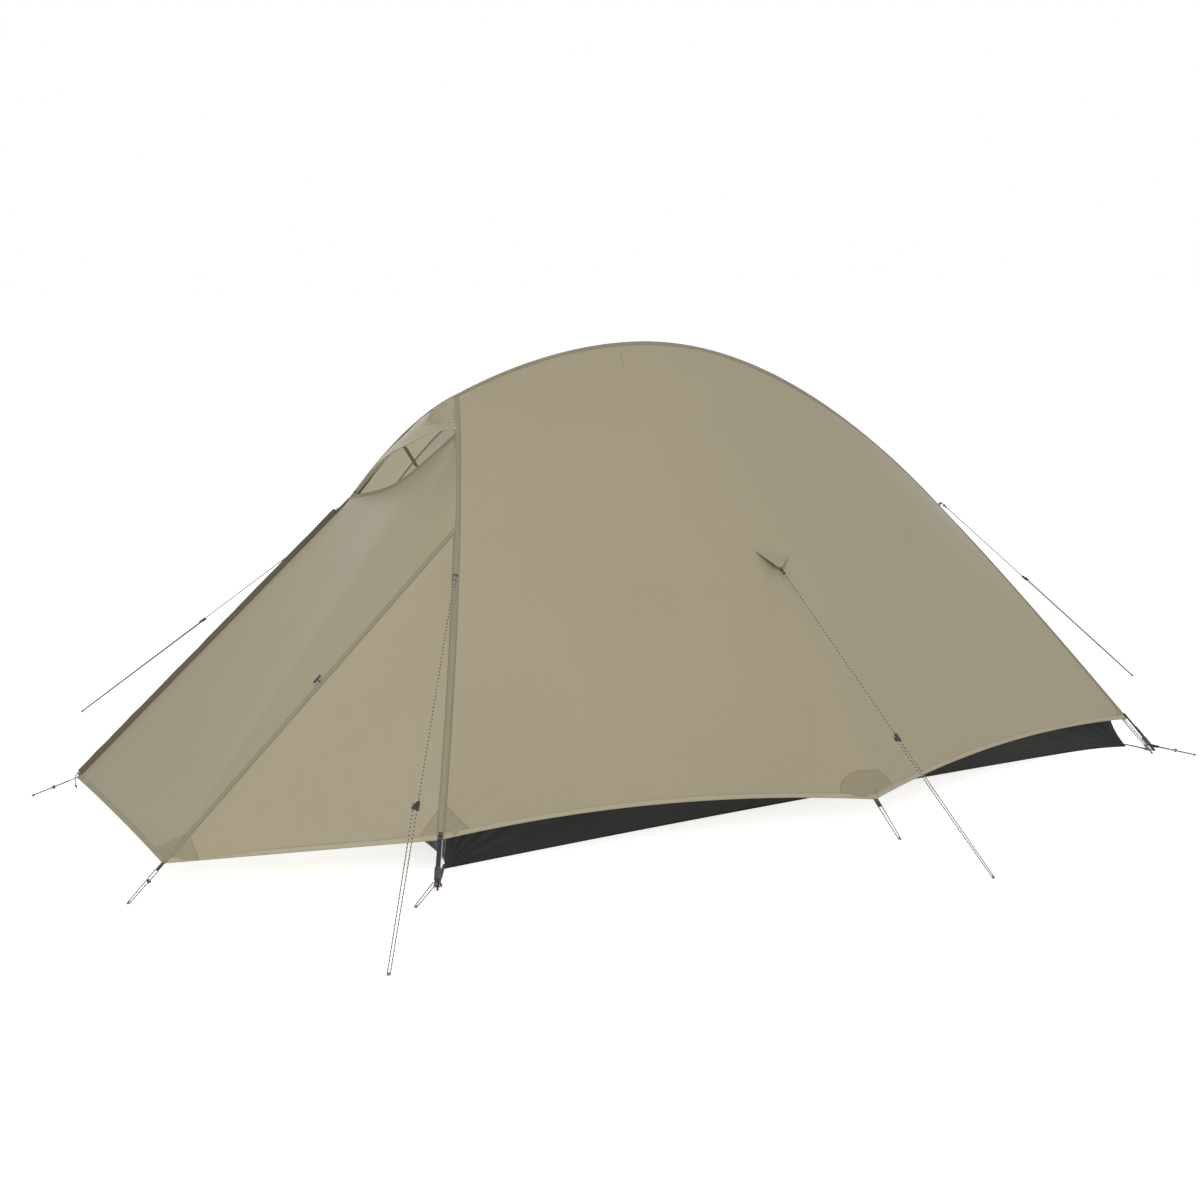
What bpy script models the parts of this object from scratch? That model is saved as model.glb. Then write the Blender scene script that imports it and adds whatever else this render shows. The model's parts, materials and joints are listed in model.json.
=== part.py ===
"""Ultralight two-person backpacking tent, pitched, with its rainfly, inner tent, poles and guylines.

X runs from the door end (-X) to the foot end (+X), Y runs across and Z is up, in metres.
The origin is the middle of the floor, on the ground. The near side is -Y and the far side is +Y.
"""

import math

import bmesh
import bpy
import numpy as np
from mathutils import Matrix, Vector

NEAR = -1
FAR = 1
SIDES = {"near": NEAR, "far": FAR}

# Clearances
GAP = 0.0003
BORE_GAP = 0.0005

# Pole frame: four legs, two hubs and a spine over the ridge
FOOT_X = 1.125
FOOT_Y = 0.725
POLE_D = 0.0085
FRONT_HUB = np.array([-0.716, 0.0, 1.038])
RIDGE_TOP = np.array([-0.165, 0.0, 1.160])
REAR_HUB = np.array([0.917, 0.0, 0.640])
FRONT_HUB_SLOPE = 0.42
REAR_HUB_SLOPE = -0.85
# Steering points of a leg, as shares of its run and rise from the foot
FRONT_LEG_STEER = ((0.179, 0.383), (0.641, 0.883))
REAR_LEG_STEER = ((0.300, 0.315), (0.650, 0.680))
FRONT_LEG_BOW = 0.0247
# Way that the fly's seam stands off a rear leg, between its two panels
REAR_LEG_OUT = (0.75, 0.31, 0.58)
HUB_BALL_D = 0.015
HUB_ARM_D = 0.013
HUB_ARM_LENGTH = 0.045
HUB_SOCKET_DEPTH = 0.030
TIP_NOSE_R = 0.003
TIP_LENGTH = 0.030

# Rainfly
CLOTH = 0.0010
SEAM_D = 0.0030
FLY_LIFT = HUB_BALL_D / 2 + GAP + SEAM_D / 2
FLY_RIDGE_LIFT = 0.0118
SEAM_PAST = {"near": 0.0006, "far": 0.0012}
PATCH_CUT = 0.030
FRONT_CORNER_HEIGHT = 0.108
REAR_CORNER_HEIGHT = 0.088
SIDE_STAKE_X = 0.020
SIDE_HEM_Y = 0.850
SIDE_HEM_Z = 0.070
HEM_SCALLOP = 0.025
SIDE_HEM_ARCH = 0.030
REAR_HEM_ARCH = 0.030
VESTIBULE_X = 1.650
VESTIBULE_Y = 0.390
VESTIBULE_Z = 0.055
DOOR_HEM_ARCH = 0.006
SEAM_TOP_HEIGHT = 0.757
VENT_NEAR_DROP = 0.072
HOOD_STEP = 0.009
TAUTNESS = 2.0
PULL_OUT = 0.020
PULL_OUT_REACH = 0.22
TAB_PLACE = (0.4375, 0.510)
TAB_STANDOFF = 0.0010
TAB_WIDTH = 0.100
TAB_DROP = 0.055
TAB_REACH = 0.022
# Free edges of the vent, between the near leg and the far leg
VENT_SILL = ((-0.800, -0.060, 0.915), (-0.830, 0.000, 0.866), (-0.852, 0.075, 0.822), (-0.864, 0.175, 0.790))
HOOD_LIP = ((-0.830, -0.085, 0.962), (-0.876, -0.022, 0.926), (-0.893, 0.060, 0.890), (-0.892, 0.170, 0.838))

# Door zip, rain flap and vent strut
ZIP_D = 0.0040
ZIP_SLIDER = (0.012, 0.009, 0.003)
ZIP_PULL = (0.034, 0.006, 0.0012)
ZIP_PULL_LAP = 0.002
ZIP_TOP_CLEAR = 0.006
ZIP_END_CLEAR = 0.055
FLAP_PROFILE = ((0.013, 0.0013), (0.009, 0.0045), (0.003, 0.0085), (-0.004, 0.0095), (-0.010, 0.0080))
STRUT_WIDTH = 0.010
STRUT_THICKNESS = 0.002
STRUT_CORNER = 0.0045
STRUT_FOOT_CLEAR = 0.0012
STRUT_HEAD_CLEAR = 0.0020
FLAP_TOP_CUT = 0.060
FLAP_LOW_CUT = 0.015
DOOR_FOLD_CLEAR = 0.0008
DOOR_CORNER_CLEAR = 0.004

# Inner tent
INNER_DROP = 0.045
TUB_FRONT_X = 1.050
TUB_REAR_X = 1.095
TUB_Y = 0.600
TUB_HEIGHT = 0.120
TUB_LEAN = 0.012
TUB_SCALLOP = 0.022
INNER_HUB_DROP = 0.052
INNER_TOP_HALF = 0.004
INNER_DOOR_SILL = 0.030
INNER_DOOR_SILL_GAP = 0.002
INNER_DOOR_HEIGHT = 0.600
INNER_DOOR_FOOT = 0.400
INNER_DOOR_HEAD = 0.215
INNER_DOOR_CORNER = 0.160
INNER_ZIP_D = 0.0024
INNER_SLIDER = (0.011, 0.008, 0.0025)
CLIP_WALL = 0.0015
CLIP_LENGTH = 0.010
CLIP_STEM = 0.0030
INNER_SEAM_D = 0.0024

# Corner hardware
CORNER_TAB_HEIGHT = 0.0062
CORNER_TAB_WIDTH = 0.020
CORNER_TAB_THICKNESS = 0.0015
CORNER_TAB_NOSE = 0.020
CORNER_TAB_CUT = 0.004
GROMMET_HOLE_D = 0.0120
BUCKLE_FOOT = 0.020
SOCKET_SIZE = (0.015, 0.006, 0.022)
SOCKET_WALL = 0.0012
PLUG_DEPTH = 0.012
PLUG_HEAD = 0.008
WEBBING_WIDTH = 0.010
WEBBING_THICKNESS = 0.0012
WEBBING_LAP = 0.018
STRAP_STANDOFF = FLY_LIFT + SEAM_D / 2 + GAP + WEBBING_THICKNESS / 2
ANCHOR_LAP = 0.002
LINK_WIDTH = 0.012
LINK_THICKNESS = 0.002
PRONG_WIDTH = 0.003
STAKE_WEB_LENGTH = 0.024

# Cords
CORD_D = 0.0025
STRAND_SPACING = 0.010
CORD_STEP = 0.110
TENSIONER_SIZE = (0.018, 0.006, 0.024)
TENSIONER_HOLE_D = 0.0042
TENSIONER_CORNER = 0.002
CORD_TAIL = 0.018
GUY_LOOP = (0.012, 0.0020, 0.014)
GUY_HEIGHT = 0.655
REAR_LOOP_BACK = 0.002
TOGGLE_D = 0.005
TOGGLE_LENGTH = 0.024
TOGGLE_REACH = 0.012
TOGGLE_LOOP = (0.006, 0.0014)
TOGGLE_PLACE = 0.48

# Stake points on the ground, one for each cord, chosen by hand
GUY_PEGS = {
    "near_front": (-1.409, -1.120, 0.0018),
    "far_front": (-1.420, 1.290, 0.0018),
    "near_side": (0.018, -1.290, 0.0018),
    "rear": (1.805, 0.000, 0.0018),
}
TENSIONER_PLACE = {"near_front": 0.62, "far_front": 0.47, "near_side": 0.575, "rear": 0.41}
LOOP_PEGS = {
    "near_front_corner": (-1.214, -0.800, 0.0018),
    "near_rear_corner": (1.222, -0.800, 0.0018),
    "near_vestibule": (-1.752, -0.4625, 0.0018),
    "far_vestibule": (-1.752, 0.4625, 0.0018),
    "near_hem": (0.004, -0.967, 0.0018),
}

# Stations: how many straight runs each line is divided into, shared by the pieces that meet on it
SPINE_RUNS = 32
LEG_RUNS = 20
RIDGE_RUNS = 20
HOOD_RUNS = 2
VENT_RUNS = 3
VESTIBULE_RUNS = 7
REAR_RUNS = 12
INNER_RIDGE_RUNS = 14
INNER_LEG_RUNS = 8
TUB_RUNS = 14
EDGE_STATIONS = 801
# Runs of the poles that carry a clip
SPINE_CLIPS = (5, 12, 19, 26)
FRONT_CLIPS = (7, 11, 15)
REAR_CLIPS = (6, 12)

KHAKI = "#A39B82"
DARK_KHAKI = "#6E6552"
BLACK_NYLON = "#24252A"
MESH_BLACK = "#34363B"
WEB_BLACK = "#1B1C1F"
ALLOY = "#B9BDC2"
HUB_GREY = "#3B3D41"
TIP_RED = "#B3242B"
CORD_GREY = "#6D7074"
BUCKLE_BLACK = "#17181A"

UP = np.array([0.0, 0.0, 1.0])
ACROSS = np.array([0.0, 1.0, 0.0])


def unit(vector):
    vector = np.asarray(vector, dtype=float)
    return vector / np.linalg.norm(vector)


def mirrored(points, side):
    """Points given for the near side, put on the given side."""
    return np.asarray(points, dtype=float) * np.array([1.0, -side, 1.0])


def bezier(points, count):
    """Cubic curve of four control points, read at evenly spaced values of its parameter."""
    t = np.linspace(0.0, 1.0, count)[:, None]
    weights = ((1 - t) ** 3, 3 * (1 - t) ** 2 * t, 3 * (1 - t) * t ** 2, t ** 3)
    return sum(weight * np.asarray(point, dtype=float) for weight, point in zip(weights, points))


def smooth_through(points, count):
    """Smooth curve through the given points, with the tangent of each taken from its neighbours."""
    points = np.asarray(points, dtype=float)
    tangents = np.gradient(points, axis=0)
    place = np.linspace(0.0, len(points) - 1.0, count)
    first = np.minimum(place.astype(int), len(points) - 2)
    t = (place - first)[:, None]
    start, end = points[first], points[first + 1]
    leave, arrive = tangents[first], tangents[first + 1]
    return ((2 * t ** 3 - 3 * t ** 2 + 1) * start + (t ** 3 - 2 * t ** 2 + t) * leave
            + (3 * t ** 2 - 2 * t ** 3) * end + (t ** 3 - t ** 2) * arrive)


def arc_lengths(path):
    return np.concatenate(([0.0], np.cumsum(np.linalg.norm(np.diff(path, axis=0), axis=1))))


def at(path, share):
    """Point of a path at a share of its length, for one share or an array of them."""
    path = np.asarray(path, dtype=float)
    run = arc_lengths(path)
    if run[-1] > 0:
        run = run / run[-1]
    share = np.asarray(share, dtype=float)
    return np.stack([np.interp(share, run, path[:, axis]) for axis in range(3)], axis=-1)


def by_run(path, share):
    """Point of a path where each of its straight runs takes an equal share."""
    path = np.asarray(path, dtype=float)
    places = np.linspace(0, 1, len(path))
    share = np.asarray(share, dtype=float)
    return np.stack([np.interp(share, places, path[:, axis]) for axis in range(3)], axis=-1)


def share_at_height(path, height):
    """Share of a path's length at which it passes the given height; the path falls all the way."""
    run = arc_lengths(path)
    return float(np.interp(-height, -path[:, 2], run / run[-1]))


def part_of(path, start, end, count):
    return at(path, np.linspace(start, end, count))


def trimmed(path, start_cut, end_cut):
    """The path with a length taken off its first run and off its last."""
    path = np.array(path, dtype=float)
    path[0] = path[0] + start_cut * unit(path[1] - path[0])
    path[-1] = path[-1] + end_cut * unit(path[-2] - path[-1])
    return path


def tangents_of(path):
    slopes = np.gradient(path, axis=0)
    return slopes / np.linalg.norm(slopes, axis=1)[:, None]


def pull_ends(path, start, end, reach):
    """The path with its two ends moved to the given points, the move fading out over a length."""
    run = arc_lengths(path)
    near_start = np.clip(1 - run / reach, 0, 1)[:, None] ** 2
    near_end = np.clip(1 - (run[-1] - run) / reach, 0, 1)[:, None] ** 2
    return path + near_start * (start - path[0]) + near_end * (end - path[-1])


# Lines of the pole frame

def spine_line():
    """Centre line of the spine pole, from the front hub over the ridge to the rear hub."""
    front_run = (RIDGE_TOP[0] - FRONT_HUB[0]) / 3
    rear_run = (REAR_HUB[0] - RIDGE_TOP[0]) / 3
    front = bezier((FRONT_HUB, FRONT_HUB + front_run * np.array([1, 0, FRONT_HUB_SLOPE]),
                    RIDGE_TOP - front_run * np.array([1, 0, 0]), RIDGE_TOP), 31)
    rear = bezier((RIDGE_TOP, RIDGE_TOP + rear_run * np.array([1, 0, 0]),
                   REAR_HUB - rear_run * np.array([1, 0, REAR_HUB_SLOPE]), REAR_HUB), 41)
    return np.concatenate((front, rear[1:]))


def leg_line(end, side):
    """Centre line of a leg pole, from its hub down to the nose of its tip on the ground."""
    hub = FRONT_HUB if end == "front" else REAR_HUB
    steer = FRONT_LEG_STEER if end == "front" else REAR_LEG_STEER
    bow = FRONT_LEG_BOW if end == "front" else 0.0
    foot = np.array([-FOOT_X if end == "front" else FOOT_X, side * FOOT_Y, TIP_NOSE_R])
    run = (hub - foot) * np.array([1, 1, 0])
    rise = (hub - foot) * UP
    controls = [foot] + [foot + share * run + lift * rise for share, lift in steer] + [hub]
    line = bezier(controls, 41)
    sideways = unit(np.cross(UP, run))
    sideways = sideways * (1 if sideways[1] * side > 0 else -1)
    return (line + bow * np.sin(np.linspace(0, math.pi, 41))[:, None] * sideways)[::-1]


def outward(path):
    """Unit vectors square to a pole line, in its vertical plane, pointing out of the tent."""
    along = tangents_of(path)
    out = UP - along * along[:, 2:3]
    return out / np.linalg.norm(out, axis=1)[:, None]


SPINE_CURVE = spine_line()
LEG_CURVES = {(end, name): leg_line(end, side) for end in ("front", "rear") for name, side in SIDES.items()}
SPINE = part_of(SPINE_CURVE, 0, 1, SPINE_RUNS + 1)
LEGS = {key: part_of(curve, 0, 1, LEG_RUNS + 1) for key, curve in LEG_CURVES.items()}

HUBS = {"front": FRONT_HUB, "rear": REAR_HUB}
HUB_OUT = {"front": unit([-0.35, 0, 1.0]), "rear": unit([1.0, 0, 1.0])}
FLY_HUB = {end: hub + FLY_LIFT * HUB_OUT[end] for end, hub in HUBS.items()}
LIFT_REACH = 0.25

FLY_RIDGE = part_of(pull_ends(SPINE_CURVE + FLY_RIDGE_LIFT * outward(SPINE_CURVE), FLY_HUB["front"],
                              FLY_HUB["rear"], LIFT_REACH), 0, 1, RIDGE_RUNS + 1)


def fly_leg_line(end, name):
    """Seam line of the fly over a leg, from above the hub down to the fly's corner."""
    pole = LEG_CURVES[end, name]
    out = unit(np.array(REAR_LEG_OUT) * [1, SIDES[name], 1]) if end == "rear" else outward(pole)
    line = pole + FLY_LIFT * out
    line = pull_ends(line, FLY_HUB[end], line[-1], LIFT_REACH)
    if end == "rear":
        return part_of(line, 0.0, share_at_height(line, REAR_CORNER_HEIGHT), REAR_RUNS + 1)
    breaks = [0.0] + [share_at_height(line, height)
                      for height in (FRONT_HUB[2] - VENT_NEAR_DROP, SEAM_TOP_HEIGHT, FRONT_CORNER_HEIGHT)]
    runs = (HOOD_RUNS, VENT_RUNS, VESTIBULE_RUNS)
    pieces = [part_of(line, start, stop, count + 1) for start, stop, count in zip(breaks, breaks[1:], runs)]
    return np.concatenate([pieces[0]] + [piece[1:] for piece in pieces[1:]])


FLY_LEGS = {key: fly_leg_line(*key) for key in LEGS}


def vestibule_corner(side):
    return np.array([-VESTIBULE_X, side * VESTIBULE_Y, VESTIBULE_Z])


def seam_top(name):
    """Top of the vestibule's seam or zip, on the seam of a front leg."""
    return FLY_LEGS["front", name][HOOD_RUNS + VENT_RUNS]


def vent_corner():
    """Near end of the vent, on the seam of the near front leg."""
    return FLY_LEGS["front", "near"][HOOD_RUNS]


def hood_end(name):
    """Leg seam from the hub down to an end of the hood's lip, just above the vent's corner."""
    line = FLY_LEGS["front", name]
    runs = HOOD_RUNS if name == "near" else HOOD_RUNS + VENT_RUNS
    end = at(line, share_at_height(line, line[runs][2] + HOOD_STEP))
    return np.concatenate((line[:runs], [end]))


def arched(start, end, rise, inward, count):
    """Hem edge between two corners: a parabola that rises and draws inwards in its middle."""
    share = np.linspace(0, 1, count)[:, None]
    bulge = 4 * share * (1 - share)
    return start + share * (end - start) + bulge * (rise * UP + np.asarray(inward, dtype=float))


def side_hem(name):
    side = SIDES[name]
    stake_corner = np.array([SIDE_STAKE_X, side * SIDE_HEM_Y, SIDE_HEM_Z])
    inward = -side * HEM_SCALLOP * ACROSS
    count = RIDGE_RUNS // 2 + 1
    front = arched(FLY_LEGS["front", name][-1], stake_corner, SIDE_HEM_ARCH, inward, count)
    rear = arched(stake_corner, FLY_LEGS["rear", name][-1], SIDE_HEM_ARCH, inward, count)
    return np.concatenate((front, rear[1:]))


# Surfaces

def taut_patch(top, bottom, left, right):
    """Cloth between four edges: a sheet ruled from top to bottom and drawn out to the side edges."""
    def surface(u, v):
        u = np.asarray(u, dtype=float)[..., None]
        v = np.asarray(v, dtype=float)[..., None]
        ruled = (1 - v) * by_run(top, u[..., 0]) + v * by_run(bottom, u[..., 0])
        left_draw = by_run(left, v[..., 0]) - ((1 - v) * top[0] + v * bottom[0])
        right_draw = by_run(right, v[..., 0]) - ((1 - v) * top[-1] + v * bottom[-1])
        return ruled + (1 - u) ** TAUTNESS * left_draw + u ** TAUTNESS * right_draw
    return surface


def inset(surface, left=0.0, right=0.0, top=0.0, bottom=0.0):
    """The same surface kept the given distances back from its four edges, square to each edge."""
    step = 1e-3

    def rate(u, v, along_u):
        """Distance from an edge gained for each unit of u, or of v."""
        here = surface(u, v)
        by_u = (surface(u + step, v) - here) / step
        by_v = (surface(u, v + step) - here) / step
        area = np.linalg.norm(np.cross(by_u, by_v), axis=-1)
        edge = np.linalg.norm(by_v if along_u else by_u, axis=-1)
        plain = np.linalg.norm(by_u if along_u else by_v, axis=-1)
        return np.where(edge > 1e-4, area / np.maximum(edge, 1e-4), plain)

    def narrowed(u, v):
        u = np.asarray(u, dtype=float)
        v = np.asarray(v, dtype=float)
        first = top / rate(u * (1 - step), np.zeros_like(v), False) if top else 0.0
        last = 1 - (bottom / rate(u * (1 - step), np.full_like(v, 1 - step), False) if bottom else 0.0)
        row = first + (last - first) * v
        low_row = np.minimum(row, 1 - step)
        start = left / rate(np.zeros_like(u), low_row, True) if left else 0.0
        stop = 1 - (right / rate(np.full_like(u, 1 - step), low_row, True) if right else 0.0)
        return surface(start + (stop - start) * u, row)
    return narrowed


def side_panel_surface(name):
    """One side of the fly, with the cone that the side guyline pulls out of it."""
    side = SIDES[name]
    base = taut_patch(FLY_RIDGE, side_hem(name), FLY_LEGS["front", name], FLY_LEGS["rear", name])
    middle = base(*np.array(TAB_PLACE))

    def surface(u, v):
        points = base(u, v)
        away = np.hypot(points[..., 0] - middle[0], points[..., 2] - middle[2])
        pull = PULL_OUT * np.exp(-(away / PULL_OUT_REACH) ** 2)
        return points + pull[..., None] * np.array([0, side * 0.8, 0.6])
    return surface


SIDE_PANELS = {name: side_panel_surface(name) for name in SIDES}


def vent_sill():
    """Top edge of the front panel, from the far seam down and up again to the near leg."""
    points = [vent_corner()] + [np.array(point) for point in VENT_SILL] + [seam_top("far")]
    return smooth_through(points, 13)[::-1]


def hood_lip():
    """Front edge of the vent hood, from the near leg to the far leg, propped out by the strut."""
    points = [hood_end("near")[-1]] + [np.array(point) for point in HOOD_LIP] + [hood_end("far")[-1]]
    return smooth_through(points, 11)


# Building blocks

PARTS = bpy.data.collections.new("backpacking_tent")
CUTTERS = bpy.data.collections.new("cutters")


def srgb(hex_colour):
    """Linear RGBA of an sRGB hex colour."""
    channels = [int(hex_colour[place:place + 2], 16) / 255 for place in (1, 3, 5)]
    linear = [c / 12.92 if c <= 0.04045 else ((c + 0.055) / 1.055) ** 2.4 for c in channels]
    return (*linear, 1.0)


def finish(obj, colour, roughness=0.7, metallic=0.0):
    """Gives a node its own material and puts it in the collection of the parts."""
    material = bpy.data.materials.new(obj.name)
    material.use_nodes = True
    shader = material.node_tree.nodes["Principled BSDF"]
    shader.inputs["Base Color"].default_value = srgb(colour)
    shader.inputs["Roughness"].default_value = roughness
    shader.inputs["Metallic"].default_value = metallic
    obj.data.materials.clear()
    obj.data.materials.append(material)
    PARTS.objects.link(obj)
    return obj


def cloth_object(name, surface, columns, rows, thickness):
    """A grid laid on a surface and given a thickness."""
    grid = bmesh.new()
    bmesh.ops.create_grid(grid, x_segments=columns, y_segments=rows, size=0.5)
    corners = np.array([vertex.co for vertex in grid.verts]) + 0.5
    points = surface(corners[:, 0], corners[:, 1])
    for vertex, point in zip(grid.verts, points):
        vertex.co = point
    bmesh.ops.remove_doubles(grid, verts=grid.verts, dist=0.00005)
    mesh = bpy.data.meshes.new(name)
    grid.to_mesh(mesh)
    grid.free()
    mesh.shade_smooth()
    obj = bpy.data.objects.new(name, mesh)
    wall = obj.modifiers.new("wall", "SOLIDIFY")
    wall.thickness = thickness
    wall.offset = 0
    return obj


def cloth(name, surface, columns, rows, colour, thickness=CLOTH):
    return finish(cloth_object(name, surface, columns, rows, thickness), colour, 0.75)


def tube_object(name, paths, radius, sides=2):
    """Round tubes with closed ends along one or more paths."""
    curve = bpy.data.curves.new(name, "CURVE")
    curve.dimensions = "3D"
    curve.bevel_depth = radius
    curve.bevel_resolution = sides
    curve.use_fill_caps = True
    for path in paths:
        spline = curve.splines.new("POLY")
        spline.points.add(len(path) - 1)
        for point, place in zip(spline.points, path):
            point.co = (*place, 1.0)
    return bpy.data.objects.new(name, curve)


def plate_object(name, outlines, thickness, matrix):
    """Flat plate from one outline and any holes, drawn in X and Y and placed by a matrix."""
    curve = bpy.data.curves.new(name, "CURVE")
    curve.dimensions = "2D"
    curve.fill_mode = "BOTH"
    curve.extrude = thickness / 2
    for outline in outlines:
        spline = curve.splines.new("POLY")
        spline.points.add(len(outline) - 1)
        for point, place in zip(spline.points, outline):
            point.co = (place[0], place[1], 0.0, 1.0)
        spline.use_cyclic_u = True
    obj = bpy.data.objects.new(name, curve)
    obj.matrix_world = matrix
    return obj


def box_object(name, size, matrix):
    block = bmesh.new()
    bmesh.ops.create_cube(block, size=1.0)
    bmesh.ops.scale(block, verts=block.verts, vec=size)
    mesh = bpy.data.meshes.new(name)
    block.to_mesh(mesh)
    block.free()
    obj = bpy.data.objects.new(name, mesh)
    obj.matrix_world = matrix
    return obj


def rod_object(name, start, end, radius, segments=16):
    """Straight round rod between two points."""
    start, end = np.asarray(start, dtype=float), np.asarray(end, dtype=float)
    rod = bmesh.new()
    bmesh.ops.create_cone(rod, cap_ends=True, segments=segments, radius1=radius, radius2=radius,
                          depth=float(np.linalg.norm(end - start)))
    mesh = bpy.data.meshes.new(name)
    rod.to_mesh(mesh)
    rod.free()
    obj = bpy.data.objects.new(name, mesh)
    obj.matrix_world = frame_matrix((start + end) / 2, end - start)
    return obj


def frame_matrix(origin, up_axis, side_axis=None):
    """Placing matrix whose Z runs along up_axis, with X as near to side_axis as it can be."""
    z_axis = unit(up_axis)
    guess = np.asarray(side_axis, dtype=float) if side_axis is not None else np.array([0.31, 0.77, 0.55])
    x_axis = unit(guess - z_axis * np.dot(guess, z_axis))
    y_axis = np.cross(z_axis, x_axis)
    matrix = Matrix.Identity(4)
    for column, axis in enumerate((x_axis, y_axis, z_axis, np.asarray(origin, dtype=float))):
        for row in range(3):
            matrix[row][column] = axis[row]
    return matrix


def as_mesh(obj):
    """A mesh copy of an object as its modifiers or its curve make it, in world coordinates."""
    linked = obj.users_collection
    if not linked:
        bpy.context.scene.collection.objects.link(obj)
    bpy.context.view_layer.update()
    evaluated = obj.evaluated_get(bpy.context.evaluated_depsgraph_get())
    mesh = bpy.data.meshes.new_from_object(evaluated)
    mesh.transform(obj.matrix_world)
    welded = bmesh.new()
    welded.from_mesh(mesh)
    bmesh.ops.remove_doubles(welded, verts=welded.verts, dist=0.00002)
    welded.to_mesh(mesh)
    welded.free()
    if not linked:
        bpy.data.objects.remove(obj)
    return mesh


def fused(name, objects, colour, roughness=0.7, metallic=0.0):
    """One node joined from several shapes that overlap."""
    shapes = [bpy.data.objects.new(f"{name}_{count}", as_mesh(obj)) for count, obj in enumerate(objects)]
    base = bpy.data.objects.new(name, shapes[0].data)
    bpy.data.objects.remove(shapes[0])
    carve(base, shapes[1:], "UNION")
    return finish(base, colour, roughness, metallic)


def carve(base, cutters, operation="DIFFERENCE"):
    """Joins solids to a base or cuts them out of it, with live Boolean modifiers."""
    for count, cutter in enumerate(cutters):
        if cutter.name not in CUTTERS.objects:
            CUTTERS.objects.link(cutter)
        cutter.hide_render = True
        cutter.display_type = "WIRE"
        step = base.modifiers.new(f"{operation.lower()}_{count}", "BOOLEAN")
        step.operation = operation
        step.object = cutter
    return base


def pivot(name, place, objects):
    """Hangs moving pieces on an empty that stands on their joint's axis."""
    empty = bpy.data.objects.new(name, None)
    empty.empty_display_size = 0.02
    empty.location = place
    PARTS.objects.link(empty)
    bpy.context.view_layer.update()
    for obj in objects:
        obj.parent = empty
        obj.matrix_parent_inverse = empty.matrix_world.inverted()


def circle(radius, segments, centre=(0.0, 0.0)):
    turn = np.linspace(0, 2 * math.pi, segments, endpoint=False)
    return np.stack((centre[0] + radius * np.cos(turn), centre[1] + radius * np.sin(turn)), axis=1)


def rounded_box(width, height, corner, steps=3):
    """Outline of a rectangle with round corners, centred on the origin."""
    points = []
    for quarter, (sign_x, sign_y) in enumerate(((1, 1), (-1, 1), (-1, -1), (1, -1))):
        for turn in np.linspace(0, math.pi / 2, steps):
            angle = turn + quarter * math.pi / 2
            points.append((sign_x * (width / 2 - corner) + corner * math.cos(angle),
                           sign_y * (height / 2 - corner) + corner * math.sin(angle)))
    return np.array(points)


# Pole frame

def pole(name, path, start_cut, end_cut):
    """A pole along a path, cut short at each end by a length."""
    obj = tube_object(name, [trimmed(path, start_cut, end_cut)], POLE_D / 2, 3)
    finish(obj, ALLOY, 0.3, 1.0)


def build_poles():
    seat = HUB_ARM_LENGTH - HUB_SOCKET_DEPTH + GAP
    pole("pole_spine", SPINE, seat, seat)
    for (end, name), line in LEGS.items():
        pole(f"pole_leg_{end}_{name}", line, seat, TIP_LENGTH + GAP)


def build_hub(name, centre, arm_directions):
    """Moulded hub: a core with one socket for each pole that meets in it."""
    arms = [rod_object(f"{name}_arm_{count}", centre, centre + HUB_ARM_LENGTH * direction, HUB_ARM_D / 2)
            for count, direction in enumerate(arm_directions)]
    core = bmesh.new()
    bmesh.ops.create_uvsphere(core, u_segments=16, v_segments=8, radius=HUB_BALL_D / 2)
    mesh = bpy.data.meshes.new(name)
    core.to_mesh(mesh)
    core.free()
    hub = bpy.data.objects.new(name, mesh)
    hub.location = centre
    bottom = HUB_ARM_LENGTH - HUB_SOCKET_DEPTH
    bores = [rod_object(f"{name}_bore_{count}", centre + bottom * direction,
                        centre + 1.2 * HUB_ARM_LENGTH * direction, POLE_D / 2 + BORE_GAP)
             for count, direction in enumerate(arm_directions)]
    carve(hub, arms, "UNION")
    carve(hub, bores)
    finish(hub, HUB_GREY, 0.5)


def build_hubs():
    for end, centre in HUBS.items():
        spine = SPINE if end == "front" else SPINE[::-1]
        lines = (spine, LEGS[end, "near"], LEGS[end, "far"])
        build_hub(f"hub_{end}", centre, [unit(line[1] - line[0]) for line in lines])


def tip_direction(end, name):
    """Unit vector up a leg from the nose of its tip."""
    line = LEGS[end, name]
    return unit(line[-2] - line[-1])


def tip_object(name, nose, direction):
    """Turned pole tip: a round nose, a pin that goes through the grommet, and a shoulder."""
    pin_r = TIP_NOSE_R
    shoulder = 0.45 * TIP_LENGTH
    profile = [(0, TIP_LENGTH), (POLE_D / 2, TIP_LENGTH), (POLE_D / 2, shoulder + 0.001), (pin_r, shoulder)]
    profile += [(pin_r * math.cos(turn), pin_r * math.sin(turn))
                for turn in np.linspace(0, -math.pi / 2, 4)]
    mesh = bpy.data.meshes.new(name)
    mesh.from_pydata([(x, 0, z) for x, z in profile], [(i, i + 1) for i in range(len(profile) - 1)], [])
    obj = bpy.data.objects.new(name, mesh)
    turn = obj.modifiers.new("turn", "SCREW")
    turn.steps = 12
    turn.render_steps = 12
    turn.use_merge_vertices = True
    turn.merge_threshold = 0.00001
    obj.matrix_world = frame_matrix(nose, direction)
    return obj


def build_tips():
    for end, name in LEGS:
        tip = tip_object(f"pole_tip_{end}_{name}", LEGS[end, name][-1], tip_direction(end, name))
        finish(tip, TIP_RED, 0.35, 0.6)


# Rainfly

PANEL_EDGE = SEAM_D / 2 + GAP + CLOTH / 2
ZIP_EDGE = ZIP_D / 2 + GAP + CLOTH / 2


def point_path(point):
    return np.array([point, point])


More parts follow.
